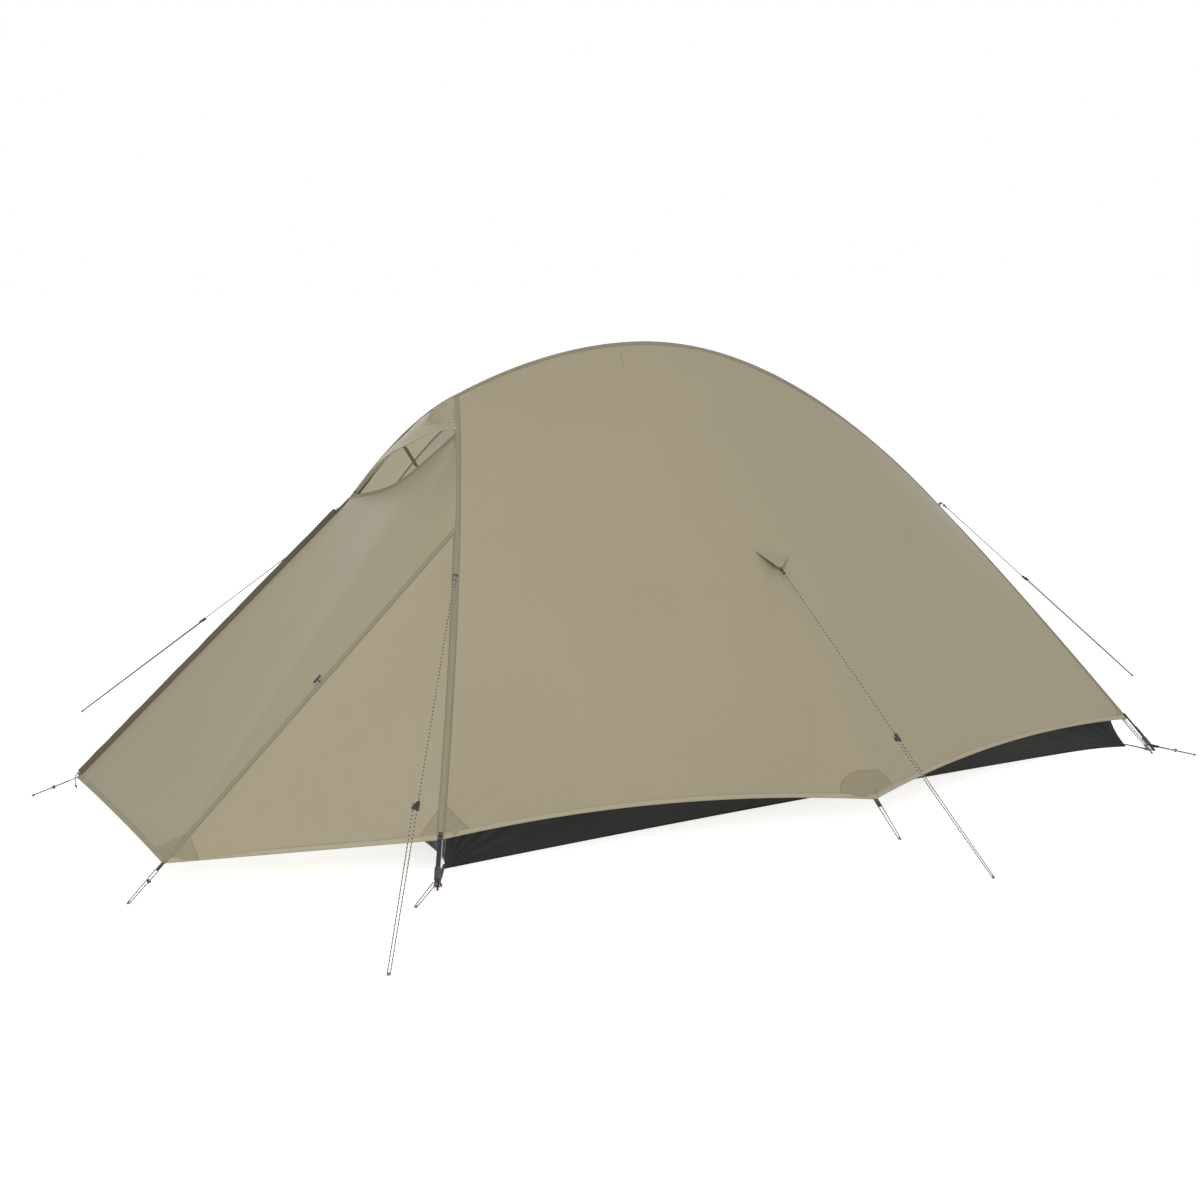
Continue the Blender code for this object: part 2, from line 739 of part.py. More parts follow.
def build_side_panels():
    for name, surface in SIDE_PANELS.items():
        surface = inset(surface, PANEL_EDGE, PANEL_EDGE, PANEL_EDGE)
        cloth(f"fly_side_{name}", surface, RIDGE_RUNS, REAR_RUNS, KHAKI)


def build_rear_panel():
    near, far = FLY_LEGS["rear", "near"], FLY_LEGS["rear", "far"]
    hem = arched(near[-1], far[-1], REAR_HEM_ARCH, (0, 0, 0), 13)
    surface = taut_patch(point_path(FLY_HUB["rear"]), hem, near, far)
    cloth("fly_rear", inset(surface, PANEL_EDGE, PANEL_EDGE, PATCH_CUT), 8, 8, KHAKI)


def vestibule_side_surface(name):
    corner = vestibule_corner(SIDES[name])
    leg = FLY_LEGS["front", name]
    top = seam_top(name)
    leg_part = leg[HOOD_RUNS + VENT_RUNS:]
    hem = arched(corner, leg[-1], 0.0, (0, 0, 0), 9)
    return taut_patch(point_path(top), hem, np.array([top, corner]), leg_part)


def build_vestibule_sides():
    for name in SIDES:
        edge = PANEL_EDGE if name == "near" else ZIP_EDGE
        surface = inset(vestibule_side_surface(name), edge, PANEL_EDGE, PATCH_CUT)
        cloth(f"vestibule_side_{name}", surface, 6, VESTIBULE_RUNS, KHAKI)


def front_panel_top():
    """Top edge of the fixed front panel: along the vent sill, then down the near leg to the seam."""
    leg = FLY_LEGS["front", "near"]
    return np.concatenate((vent_sill(), leg[HOOD_RUNS + 1:HOOD_RUNS + VENT_RUNS + 1]))


def front_panel_surface():
    """Fixed part of the front: a fan of straight lines from the near vestibule corner."""
    corner = vestibule_corner(NEAR)
    top = front_panel_top()
    return taut_patch(top, point_path(corner), np.array([top[0], corner]), np.array([top[-1], corner]))


def build_front_panel():
    surface = inset(front_panel_surface(), DOOR_FOLD_CLEAR, PANEL_EDGE, PANEL_EDGE, PATCH_CUT)
    cloth("front_panel_fixed", surface, len(front_panel_top()) - 1, 9, KHAKI)


def door_axes():
    """Direction up the door's fold line, into the door from the fold, and out of the tent."""
    low, top, far_low = vestibule_corner(NEAR), seam_top("far"), vestibule_corner(FAR)
    along = unit(top - low)
    across = far_low - low
    across = unit(across - along * np.dot(across, along))
    return along, across, np.cross(along, across)


def build_door():
    """The door that opens: a triangle from the fold line to the zip, with its rain flap."""
    low, top, far_low = vestibule_corner(NEAR), seam_top("far"), vestibule_corner(FAR)
    out = door_axes()[2]
    fold_low = low + DOOR_CORNER_CLEAR * unit(far_low - low)
    hem = arched(fold_low, far_low, DOOR_HEM_ARCH, (0, 0, 0), 9)
    surface = taut_patch(point_path(top), hem, np.array([top, fold_low]), np.array([top, far_low]))
    door = cloth("outer_door", inset(surface, DOOR_FOLD_CLEAR, ZIP_EDGE, PATCH_CUT), 8, 10, KHAKI)
    seam = unit(far_low - top)
    into_door = unit(np.cross(out, seam))
    into_door = into_door * (1 if np.dot(into_door, low - far_low) > 0 else -1)
    length = np.linalg.norm(far_low - top)
    profile = np.array([inwards * into_door + height * out for inwards, height in FLAP_PROFILE])

    def flap_surface(u, v):
        run = FLAP_TOP_CUT + np.asarray(v)[:, None] * (length - FLAP_TOP_CUT - FLAP_LOW_CUT)
        return top + run * seam + at(profile, u)
    flap = cloth("rain_flap", flap_surface, 4, 6, DARK_KHAKI, 0.0008)
    pivot("door_fold", low + out * CLOTH * 0.8, [door, flap])


def build_hood():
    surface = taut_patch(point_path(FLY_HUB["front"]), hood_lip(), hood_end("near"), hood_end("far"))
    cloth("vent_hood", inset(surface, PANEL_EDGE, PANEL_EDGE, PATCH_CUT), 10, 10, KHAKI)


def run_past(lines):
    """Leg lines carried a little past their hub, the far ones further, so that they cross there."""
    return [trimmed(line, -SEAM_PAST[name], 0) for (_, name), line in lines.items()]


def build_seams():
    """Sewn seams over the poles and down the near edge of the vestibule, with what is sewn into them."""
    lines = [FLY_RIDGE] + run_past(FLY_LEGS) + [np.array([seam_top("near"), vestibule_corner(NEAR)])]
    shapes = [tube_object(f"seam_{count}", [line], SEAM_D / 2) for count, line in enumerate(lines)]
    for name in ("near", "far", "rear"):
        place, out = guy_loop_place(name)
        centre = place + out * (GUY_LOOP[2] / 2 - SEAM_D / 4)
        shapes.append(box_object(f"guy_loop_{name}", GUY_LOOP, frame_matrix(centre, out, UP)))
    shapes.append(stake_web("near_vestibule"))
    fused("fly_seams", shapes, DARK_KHAKI, 0.8)


def zip_line():
    top, low = seam_top("far"), vestibule_corner(FAR)
    return top, low, unit(low - top)


def zip_slider(name, place, along, out, size, pull):
    """Slider body over the coil and the pull tab that lies along the zip."""
    body = box_object(name + "_body", size, frame_matrix(place, out, along))
    tab_centre = place + along * (size[0] / 2 + pull[0] / 2 - ZIP_PULL_LAP)
    tab = box_object(name + "_pull", pull, frame_matrix(tab_centre, out, along))
    return fused(name, [body, tab], ALLOY, 0.35, 1.0)


def build_door_zip():
    """Zip along the edge of the door, with the stake webbing sewn to its low end."""
    top, low, along = zip_line()
    out = door_axes()[2]
    coil = tube_object("zip_coil", [np.array([top + along * ZIP_TOP_CLEAR, low])], ZIP_D / 2)
    fused("door_zip", [coil, stake_web("far_vestibule")], WEB_BLACK, 0.6)
    rise = out * (ZIP_D / 2 + GAP + ZIP_SLIDER[2] / 2)
    for name, place, pull_along in (("top", top + along * ZIP_END_CLEAR, along),
                                    ("bottom", low - along * ZIP_END_CLEAR, along)):
        slider = zip_slider(f"door_zip_slider_{name}", place + rise, pull_along, out, ZIP_SLIDER, ZIP_PULL)
        pivot(f"door_zip_track_{name}", place + rise, [slider])


def build_strut():
    """Stiff stay that props the hood's lip off the vent sill."""
    foot = np.array(VENT_SILL[1])
    head = np.array(HOOD_LIP[1])
    along = unit(head - foot)
    start = foot + along * (PANEL_EDGE + STRUT_FOOT_CLEAR)
    end = head - along * STRUT_HEAD_CLEAR
    length = np.linalg.norm(end - start)
    outline = rounded_box(STRUT_WIDTH, length, STRUT_CORNER)
    across = unit(np.cross(along, [1, 0, 0]))
    matrix = frame_matrix((start + end) / 2, np.cross(across, along), across)
    strut = plate_object("vent_strut", [outline], STRUT_THICKNESS, matrix)
    finish(strut, WEB_BLACK, 0.6)
    pivot("vent_strut_seat", end - along * STRUT_THICKNESS / 2, [strut])


def tab_line(name):
    """Straight run of a side panel that the pull-out tab is sewn along, and the panel's way out there."""
    surface = inset(SIDE_PANELS[name], PANEL_EDGE, PANEL_EDGE, PANEL_EDGE)
    place = REAR_RUNS * TAB_PLACE[1]
    row = math.floor(place)
    u = TAB_PLACE[0] + np.array([-0.5, 0.5]) / RIDGE_RUNS
    above = surface(u, np.full(2, row) / REAR_RUNS)
    below = surface(u, np.full(2, row + 1) / REAR_RUNS)
    ends = above + (place - row) * (below - above)
    out = unit(np.cross(ends[1] - ends[0], below[0] - ends[0]))
    out = out * (1 if out[1] * SIDES[name] > 0 else -1)
    return ends, unit(below[0] - ends[0]), out


def tab_corners(name):
    """Two top corners and the tip of a pull-out tab."""
    ends, down, out = tab_line(name)
    centre = ends.mean(axis=0) + out * (CLOTH + TAB_STANDOFF)
    along = unit(ends[1] - ends[0]) * TAB_WIDTH / 2
    return centre - along, centre + along, centre + down * TAB_DROP + out * TAB_REACH


def build_guy_tabs():
    """Triangular tabs sewn to the side panels along their top edge."""
    for name in SIDES:
        left, right, tip = tab_corners(name)
        edges = taut_patch(np.array([left, right]), point_path(tip), np.array([left, tip]),
                           np.array([right, tip]))
        cloth(f"side_guy_tab_{name}", edges, 4, 4, KHAKI)


def guy_loop_place(name):
    """Point on a seam where a guy loop is sewn, and the direction out of the tent there."""
    if name == "rear":
        return trimmed(FLY_RIDGE, 0, REAR_LOOP_BACK)[-1], unit([1.0, 0, 0.6])
    line = FLY_LEGS["front", name]
    place = at(line, share_at_height(line, GUY_HEIGHT))
    return place, unit([-0.45, SIDES[name] * 0.75, 0.25])


def guy_loop_end(name):
    """Middle of a guy loop's outer face, and the way that face looks."""
    place, out = guy_loop_place(name)
    return place + out * (GUY_LOOP[2] - SEAM_D / 4), out


def cord_start(face, face_out, along):
    """First point of a cord that leaves a face in a direction, its end clear of the face by a gap."""
    cosine = float(np.dot(face_out, along))
    sine = math.sqrt(max(0.0, 1 - cosine ** 2))
    return face + along * (GAP + CORD_D / 2 * sine) / cosine


def build_toggle():
    """Bar toggle on an elastic loop, which holds the rolled door."""
    top, low = seam_top("near"), vestibule_corner(NEAR)
    place = top + TOGGLE_PLACE * (low - top)
    along = unit(low - top)
    out = door_axes()[2]
    root = place + out * (SEAM_D / 2 + GAP)
    loop_size = (TOGGLE_LOOP[0], TOGGLE_LOOP[1], TOGGLE_REACH)
    loop = box_object("toggle_loop", loop_size, frame_matrix(root + out * TOGGLE_REACH / 2, out, along))
    bar_centre = root + out * TOGGLE_REACH
    bar = rod_object("toggle_bar", bar_centre - along * TOGGLE_LENGTH / 2,
                     bar_centre + along * TOGGLE_LENGTH / 2, TOGGLE_D / 2, 12)
    toggle = fused("door_toggle", [loop, bar], WEB_BLACK, 0.5)
    pivot("toggle_seat", root, [toggle])


# Inner tent

def inner_hub(end):
    hub = FRONT_HUB if end == "front" else REAR_HUB
    return hub - UP * INNER_HUB_DROP


def tub_corner(end, side, height):
    """Corner of the tub floor's wall at a height above the ground."""
    x = -TUB_FRONT_X if end == "front" else TUB_REAR_X
    lean = TUB_LEAN * height / TUB_HEIGHT
    return np.array([x - math.copysign(lean, x), side * (TUB_Y - lean), height])


def inner_leg_line(end, side):
    """Edge of the inner tent below a leg: in the plane of the end wall, from the hub to the tub."""
    name = "near" if side == NEAR else "far"
    leg = LEG_CURVES[end, name]
    line = leg - INNER_DROP * outward(leg)
    top = inner_hub(end)
    bottom = tub_corner(end, side, TUB_HEIGHT + GAP + INNER_SEAM_D / 2)
    line = part_of(line, 0.0, share_at_height(line, bottom[2]), 25)
    line = pull_ends(line, top, bottom, 0.5)
    share = (line[:, 2] - bottom[2]) / (top[2] - bottom[2])
    line[:, 0] = bottom[0] + share * (top[0] - bottom[0])
    return part_of(line, 0, 1, INNER_LEG_RUNS + 1)


INNER_LEGS = {(end, name): inner_leg_line(end, side)
              for end in ("front", "rear") for name, side in SIDES.items()}
INNER_RIDGE = part_of(pull_ends(SPINE_CURVE - INNER_DROP * outward(SPINE_CURVE), inner_hub("front"),
                                inner_hub("rear"), 0.3), 0, 1, INNER_RIDGE_RUNS + 1)
INNER_EDGE = INNER_SEAM_D / 2 + GAP + CLOTH / 2


def tub_outline(height):
    """Outline of the tub floor at a height, its long sides drawn in between the corners."""
    front, rear = tub_corner("front", NEAR, height), tub_corner("rear", NEAR, height)
    share = np.linspace(0, 1, TUB_RUNS + 1)
    draw = TUB_SCALLOP * 4 * share * (1 - share)
    near = [(front[0] + s * (rear[0] - front[0]), front[1] + d) for s, d in zip(share, draw)]
    far = [(x, -y) for x, y in near[::-1]]
    return np.array([(x, y, height) for x, y in near + far])


def build_tub():
    """Bathtub floor: a sheet on the ground whose edge turns up into a low wall."""
    low = tub_outline(CLOTH / 2)
    high = tub_outline(TUB_HEIGHT)
    tub = bmesh.new()
    floor = tub.faces.new([tub.verts.new(point) for point in low])
    raised = bmesh.ops.extrude_edge_only(tub, edges=list(floor.edges))
    rim = [item for item in raised["geom"] if isinstance(item, bmesh.types.BMVert)]
    targets = {tuple(np.round(start[:2], 5)): end for start, end in zip(low, high)}
    for vertex in rim:
        vertex.co = targets[tuple(np.round((vertex.co.x, vertex.co.y), 5))]
    bmesh.ops.recalc_face_normals(tub, faces=tub.faces)
    mesh = bpy.data.meshes.new("tub_floor")
    tub.to_mesh(mesh)
    tub.free()
    obj = bpy.data.objects.new("tub_floor", mesh)
    wall = obj.modifiers.new("wall", "SOLIDIFY")
    wall.thickness = CLOTH
    wall.offset = 0
    wall.use_even_offset = True
    finish(obj, BLACK_NYLON, 0.6)


def build_inner_sides():
    for name, side in SIDES.items():
        rim = mirrored(tub_outline(TUB_HEIGHT + GAP + INNER_SEAM_D / 2)[:TUB_RUNS + 1], side)
        surface = taut_patch(INNER_RIDGE, rim, INNER_LEGS["front", name], INNER_LEGS["rear", name])
        surface = inset(surface, INNER_EDGE, INNER_EDGE, INNER_EDGE, 0.0)
        cloth(f"inner_wall_{name}", surface, INNER_RIDGE_RUNS, INNER_LEG_RUNS, MESH_BLACK)


def end_wall_frame(end):
    """Placing matrix of an end wall: X across, Y up the wall, origin at the tub's rim."""
    base = tub_corner(end, NEAR, TUB_HEIGHT + GAP + CLOTH) * np.array([1, 0, 1])
    up_wall = unit(inner_hub(end) - base)
    normal = np.cross(ACROSS, up_wall)
    return base, up_wall, frame_matrix(base, normal, ACROSS)


def end_wall_outline(end):
    """Outline of an end wall in its own plane, down one leg edge, over the rim and up the other."""
    base, up_wall, _ = end_wall_frame(end)
    line = INNER_LEGS[end, "near"]
    flat = np.stack((line[:, 1], (line - base) @ up_wall), axis=1)
    along = np.gradient(flat, axis=0)
    along = along / np.linalg.norm(along, axis=1)[:, None]
    inward = np.stack((-along[:, 1], along[:, 0]), axis=1)
    near = flat + INNER_EDGE * inward
    to_peak = max(0.0, (-INNER_TOP_HALF - near[0, 0]) / (near[1, 0] - near[0, 0]))
    near[0] = near[0] + (near[1] - near[0]) * to_peak
    near[-1] = near[-1] - along[-1] * near[-1, 1] / along[-1, 1]
    far = near[::-1] * np.array([-1, 1])
    return np.concatenate((near, far))


def inner_door_outline(grow, drop=0.0):
    """Arched door outline in the front wall's plane, grown by a distance, its sill dropped by another."""
    sill, height, corner = INNER_DOOR_SILL, INNER_DOOR_HEIGHT, INNER_DOOR_CORNER
    lean = math.atan2(INNER_DOOR_FOOT - INNER_DOOR_HEAD, height)
    centre_x, centre_y = INNER_DOOR_HEAD - corner, sill + height - corner
    turn = np.linspace(math.pi / 2, lean, 7)
    reach = corner + grow
    arc = np.stack((centre_x + reach * np.cos(turn), centre_y + reach * np.sin(turn)), axis=1)
    slope = (INNER_DOOR_FOOT - arc[-1, 0] + grow) / (arc[-1, 1] - sill)
    foot = (INNER_DOOR_FOOT + grow * math.hypot(1, slope) + drop * slope, sill - drop)
    right = np.concatenate((arc, [foot]))
    return np.concatenate((right, right[::-1] * np.array([-1, 1])))


def build_inner_front():
    """Front wall of the inner tent, the arched door in it and the zip between them."""
    base, up_wall, matrix = end_wall_frame("front")
    zip_gap = INNER_ZIP_D / 2 + GAP
    hole = inner_door_outline(zip_gap, INNER_DOOR_SILL_GAP)
    wall = plate_object("inner_wall_front", [end_wall_outline("front"), hole], CLOTH, matrix)
    finish(wall, MESH_BLACK, 0.8)
    door = plate_object("inner_door", [inner_door_outline(-zip_gap)], CLOTH, matrix)
    finish(door, MESH_BLACK, 0.8)
    hinge = base + up_wall * INNER_DOOR_SILL
    pivot("inner_door_sill", hinge, [door])
    normal = np.array(matrix.col[2][:3])
    arch = inner_door_outline(0.0)
    arch = np.concatenate((arch[len(arch) // 2:], arch[:len(arch) // 2]))
    line = np.array([base + ACROSS * x + up_wall * y for x, y in arch])
    finish(tube_object("inner_door_zip", [line], INNER_ZIP_D / 2), WEB_BLACK, 0.6)
    out = normal * (1 if normal[0] < 0 else -1)
    foot, head = line[0], line[1]
    along = unit(head - foot)
    place = foot + along * 0.030 + out * (INNER_ZIP_D / 2 + GAP + INNER_SLIDER[2] / 2)
    slider = box_object("inner_zip_slider", INNER_SLIDER, frame_matrix(place, out, along))
    finish(slider, ALLOY, 0.35, 1.0)
    pivot("inner_zip_track", place, [slider])


def build_inner_rear():
    wall = plate_object("inner_wall_rear", [end_wall_outline("rear")], CLOTH, end_wall_frame("rear")[2])
    finish(wall, MESH_BLACK, 0.8)


def clip_outline(stem):
    """C-shaped hook with a stem: drawn round the origin, the stem running down to -stem."""
    inner, outer = POLE_D / 2 + GAP, POLE_D / 2 + GAP + CLIP_WALL
    half_stem = CLIP_STEM / 2
    mouth = math.radians(40)
    root = math.asin(half_stem / outer)
    down = -math.pi / 2
    outside = [(outer * math.cos(turn), outer * math.sin(turn))
               for turn in np.linspace(down + root, down + 2 * math.pi - mouth - root, 9)]
    inside = [(inner * math.cos(turn), inner * math.sin(turn))
              for turn in np.linspace(down + 2 * math.pi - mouth - root, down - root, 9)]
    return np.array([(half_stem, -stem)] + outside + inside + [(-half_stem, -stem)])


def clip_object(name, place, along, seat):
    """Clip round a pole at a place, with its stem running into the inner tent's seam."""
    to_seat = seat - place
    down = unit(to_seat - along * np.dot(to_seat, along))
    stem = float(np.dot(to_seat, down)) + INNER_SEAM_D / 5
    side_axis = np.cross(along, -down)
    matrix = frame_matrix(place, along, side_axis)
    if np.dot(np.array(matrix.col[1][:3]), down) > 0:
        matrix = frame_matrix(place, -along, side_axis)
    return plate_object(name, [clip_outline(stem)], CLIP_LENGTH, matrix)


def build_inner_seams():
    """Bound seams of the inner tent, with the clips that hang them from the poles."""
    inner = [INNER_RIDGE] + run_past(INNER_LEGS)
    shapes = [tube_object(f"inner_seam_{count}", [line], INNER_SEAM_D / 2)
              for count, line in enumerate(inner)]
    carried = [(SPINE, INNER_RIDGE, SPINE_CLIPS)]
    carried += [(LEGS["front", name], INNER_LEGS["front", name], FRONT_CLIPS) for name in SIDES]
    carried += [(LEGS["rear", name], INNER_LEGS["rear", name], REAR_CLIPS) for name in SIDES]
    for pole_path, edge_path, runs in carried:
        for run in runs:
            place = (pole_path[run] + pole_path[run + 1]) / 2
            along = unit(pole_path[run + 1] - pole_path[run])
            fine = at(edge_path, np.linspace(0, 1, EDGE_STATIONS))
            seat = fine[np.argmin(np.abs((fine - place) @ along))]
            shapes.append(clip_object(f"clip_{len(shapes)}", place, along, seat))
    fused("inner_seams", shapes, BUCKLE_BLACK, 0.5)


# Corner hardware

def corner_frame(end, name):
    """Up the pole, out of the tent and across, at the foot of a leg, with the nose of its tip."""
    up_pole = tip_direction(end, name)
    out = unit(UP - up_pole * up_pole[2])
    return LEGS[end, name][-1], up_pole, out, np.cross(up_pole, out)


def corner_level(end, name):
    """Level direction from the tub's corner out through the foot, and the grommet's centre."""
    nose, up_pole, _, _ = corner_frame(end, name)
    hole = nose + up_pole * (CORNER_TAB_HEIGHT - nose[2]) / up_pole[2]
    corner = tub_corner(end, SIDES[name], CORNER_TAB_HEIGHT)
    level = unit((hole - corner) * np.array([1, 1, 0]))
    return level, hole, corner


def corner_tab(end, name):
    """Webbing tab from the tub's corner, with the grommet hole that a pole tip stands in."""
    level, hole, corner = corner_level(end, name)
    run = np.linalg.norm((hole - corner)[:2]) - CLOTH - GAP
    half = CORNER_TAB_WIDTH / 2
    cut = CORNER_TAB_CUT
    nose = CORNER_TAB_NOSE
    outline = [(-run, -cut), (-run + half, -half), (nose - cut, -half), (nose, -half + cut),
               (nose, half - cut), (nose - cut, half), (-run + half, half), (-run, cut)]
    grommet = circle(GROMMET_HOLE_D / 2, 12)
    return plate_object(f"tab_{end}_{name}", [np.array(outline), grommet], CORNER_TAB_THICKNESS,
                        frame_matrix(hole, UP, level))


def buckle_frame(end, name):
    """Foot of a corner's buckle, the way up its strap to the fly's corner, out of the tent, and across."""
    nose, up_pole, out, _ = corner_frame(end, name)
    base = nose + out * STRAP_STANDOFF + up_pole * BUCKLE_FOOT
    line = FLY_LEGS[end, name]
    up_fly = unit(line[-2] - line[-1])
    fly_out = unit(UP - up_fly * up_fly[2])
    corner = line[-1] + fly_out * (SEAM_D / 2 + 2 * GAP + WEBBING_THICKNESS / 2)
    up_strap = unit(corner - base)
    strap_out = unit(UP - up_strap * up_strap[2])
    return base, up_strap, strap_out, np.cross(up_strap, strap_out), float(np.linalg.norm(corner - base))


def build_corner_anchors():
    """Corner tabs, each with the socket of the side-release buckle that is sewn to it."""
    for end, name in LEGS:
        base, up_strap, out, across, _ = buckle_frame(end, name)
        width, depth, length = SOCKET_SIZE
        tab_top = base - up_strap * (base[2] - CORNER_TAB_HEIGHT) / up_strap[2]
        link_ends = (tab_top - up_strap * CORNER_TAB_THICKNESS / 4, base + up_strap * ANCHOR_LAP)
        link_length = float(np.linalg.norm(link_ends[1] - link_ends[0]))
        link = box_object("anchor_link", (LINK_WIDTH, LINK_THICKNESS, link_length),
                          frame_matrix((link_ends[0] + link_ends[1]) / 2, up_strap, across))
        body = box_object("anchor_body", (width, depth, length),
                          frame_matrix(base + up_strap * length / 2, up_strap, across))
        bore_size = (width - 2 * SOCKET_WALL, depth - 2 * SOCKET_WALL, 2 * PLUG_DEPTH)
        bore = box_object(f"socket_bore_{end}_{name}", bore_size,
                          frame_matrix(base + up_strap * length, up_strap, across))
        anchor = fused(f"corner_anchor_{end}_{name}", [corner_tab(end, name), link, body], WEB_BLACK, 0.7)
        carve(anchor, [bore])


def build_buckle_plugs():
    """Plugs of the corner buckles, each with the webbing strap to the fly's corner."""
    for end, name in LEGS:
        base, up_strap, out, across, reach = buckle_frame(end, name)
        width, depth, length = SOCKET_SIZE
        prong = width / 2 - SOCKET_WALL - GAP
        bottom = length - PLUG_DEPTH + GAP
        low, high = length + GAP, length + GAP + PLUG_HEAD
        head = box_object("plug_head", (width, depth, PLUG_HEAD),
                          frame_matrix(base + up_strap * (low + high) / 2, up_strap, across))
        shapes = [head]
        prong_size = (PRONG_WIDTH, depth - 2 * SOCKET_WALL - 2 * GAP, low + ANCHOR_LAP - bottom)
        for side in (-1, 1):
            centre = base + up_strap * (low + ANCHOR_LAP + bottom) / 2
            centre = centre + side * across * (prong - PRONG_WIDTH / 2)
            shapes.append(box_object("plug_prong", prong_size, frame_matrix(centre, up_strap, across)))
        strap_ends = (high - ANCHOR_LAP, reach + WEBBING_LAP)
        shapes.append(box_object("strap", (WEBBING_WIDTH, WEBBING_THICKNESS, strap_ends[1] - strap_ends[0]),
                                 frame_matrix(base + up_strap * sum(strap_ends) / 2, up_strap, across)))
        node = fused(f"buckle_plug_{end}_{name}", shapes, BUCKLE_BLACK, 0.5)
        pivot(f"buckle_track_{end}_{name}", base, [node])


# Stake webbing, loops and guylines

def stake_web_ends(name):
    """Start and end of the short webbing at a staked corner of the hem."""
    side_name, kind = name.split("_")
    side = SIDES[side_name]
    if kind == "vestibule":
        corner, clear = vestibule_corner(side), 0.0
    else:
        corner, clear = np.array([SIDE_STAKE_X, side * SIDE_HEM_Y, SIDE_HEM_Z]), CLOTH / 2 + 2 * GAP
    along = unit(mirrored(LOOP_PEGS[f"near_{kind}"], side) - corner)
    return corner + along * clear, corner + along * (clear + STAKE_WEB_LENGTH)


def stake_web(name):
    """Short strip of webbing at a staked corner, flat towards the ground."""
    start, end = stake_web_ends(name)
    size = (WEBBING_WIDTH, WEBBING_THICKNESS, float(np.linalg.norm(end - start)))
    return box_object(f"stake_web_{name}", size,
                      frame_matrix((start + end) / 2, end - start, np.cross(end - start, UP)))


def build_hem_tabs():
    for name in SIDES:
        tab = stake_web(f"{name}_hem")
        tab.name = f"hem_stake_tab_{name}"
        finish(tab, WEB_BLACK, 0.8)


def round_peg(peg, along, across, count):
    """Half turn of cord that ends at a peg, from one strand over to the other."""
    turn = np.linspace(math.pi / 2, -math.pi / 2, count)
    radius = STRAND_SPACING / 2
    middle = peg - along * radius
    return np.array([middle + across * radius * math.sin(a) + along * radius * math.cos(a) for a in turn])


def build_stake_loops():
    """Short loops of cord, each from its webbing round a peg and back."""
    for name, peg in LOOP_PEGS.items():
        parts = name.split("_")
        if parts[-1] == "corner":
            face_out, hole, _ = corner_level(parts[1], parts[0])
            start = hole + face_out * CORNER_TAB_NOSE
        else:
            start = stake_web_ends(name)[1]
            face_out = unit(np.array(peg) - start)
        edge = unit(np.cross(face_out, UP))
        along = unit(np.array(peg) - start)
        first = cord_start(start, face_out, along)
        spread = edge * STRAND_SPACING / 2
        bend = round_peg(np.array(peg), along, unit(np.cross(along, UP)), 7)
        path = [first + spread] + list(bend) + [first - spread]
        finish(tube_object(f"stake_loop_{name}", [np.array(path)], CORD_D / 2), CORD_GREY, 0.8)


def straight(start, end):
    """Points along a straight run of cord, close to one cord step apart."""
    count = max(2, int(round(np.linalg.norm(end - start) / CORD_STEP)) + 1)
    return part_of(np.array([start, end]), 0, 1, count)


def guyline_layout(name, start):
    """Directions of a guyline and its tensioner's centre between its two strands."""
    peg = np.array(GUY_PEGS[name])
    along = unit(peg - start)
    across = unit(np.cross(along, UP))
    centre = start + (peg - start) * TENSIONER_PLACE[name] + across * STRAND_SPACING / 2
    return peg, along, across, centre


def guyline_path(name, start):
    """Down one strand to the peg, round it, and back up to just above the tensioner."""
    peg, along, across, centre = guyline_layout(name, start)
    bend = round_peg(peg + across * STRAND_SPACING / 2, along, -across, 7)
    top = centre + across * STRAND_SPACING / 2 - along * (TENSIONER_SIZE[2] / 2 + CORD_TAIL)
    down = straight(start, bend[0])
    back = straight(bend[-1], top)
    return np.concatenate((down[:-1], bend, back[1:]))


def guyline_starts():
    """Point where each guyline leaves its loop or tab."""
    tip = tab_corners("near")[2]
    starts = {"near_front": guy_loop_end("near"), "far_front": guy_loop_end("far")}
    starts["rear"] = guy_loop_end("rear")
    starts["near_side"] = tip, unit(np.array(GUY_PEGS["near_side"]) - tip)
    return starts


def build_guylines():
    """Guylines round their pegs, each with the tensioner that both strands run through."""
    for name, (face, face_out) in guyline_starts().items():
        start = cord_start(face, face_out, unit(np.array(GUY_PEGS[name]) - face))
        _, along, across, centre = guyline_layout(name, start)
        path = guyline_path(name, start)
        finish(tube_object(f"guyline_{name}", [path], CORD_D / 2), CORD_GREY, 0.8)
        width, depth, length = TENSIONER_SIZE
        holes = [circle(TENSIONER_HOLE_D / 2, 10, (side * STRAND_SPACING / 2, 0)) for side in (-1, 1)]
        outline = rounded_box(width, depth, TENSIONER_CORNER)
        plate = plate_object(f"guyline_tensioner_{name}", [outline] + holes, length,
                             frame_matrix(centre, along, across))
        finish(plate, BUCKLE_BLACK, 0.45)
        pivot(f"tensioner_track_{name}", centre, [plate])


def main():
    for obj in list(bpy.data.objects):
        bpy.data.objects.remove(obj)
    bpy.context.scene.collection.children.link(PARTS)
    bpy.context.scene.collection.children.link(CUTTERS)
    build_poles()
    build_hubs()
    build_tips()
    build_side_panels()
    build_rear_panel()
    build_vestibule_sides()
    build_front_panel()
    build_door()
    build_hood()
    build_seams()
    build_door_zip()
    build_strut()
    build_guy_tabs()
    build_toggle()
    build_tub()
    build_inner_sides()
    build_inner_front()
    build_inner_rear()
    build_inner_seams()
    build_corner_anchors()
    build_buckle_plugs()
    build_hem_tabs()
    build_stake_loops()
    build_guylines()


main()
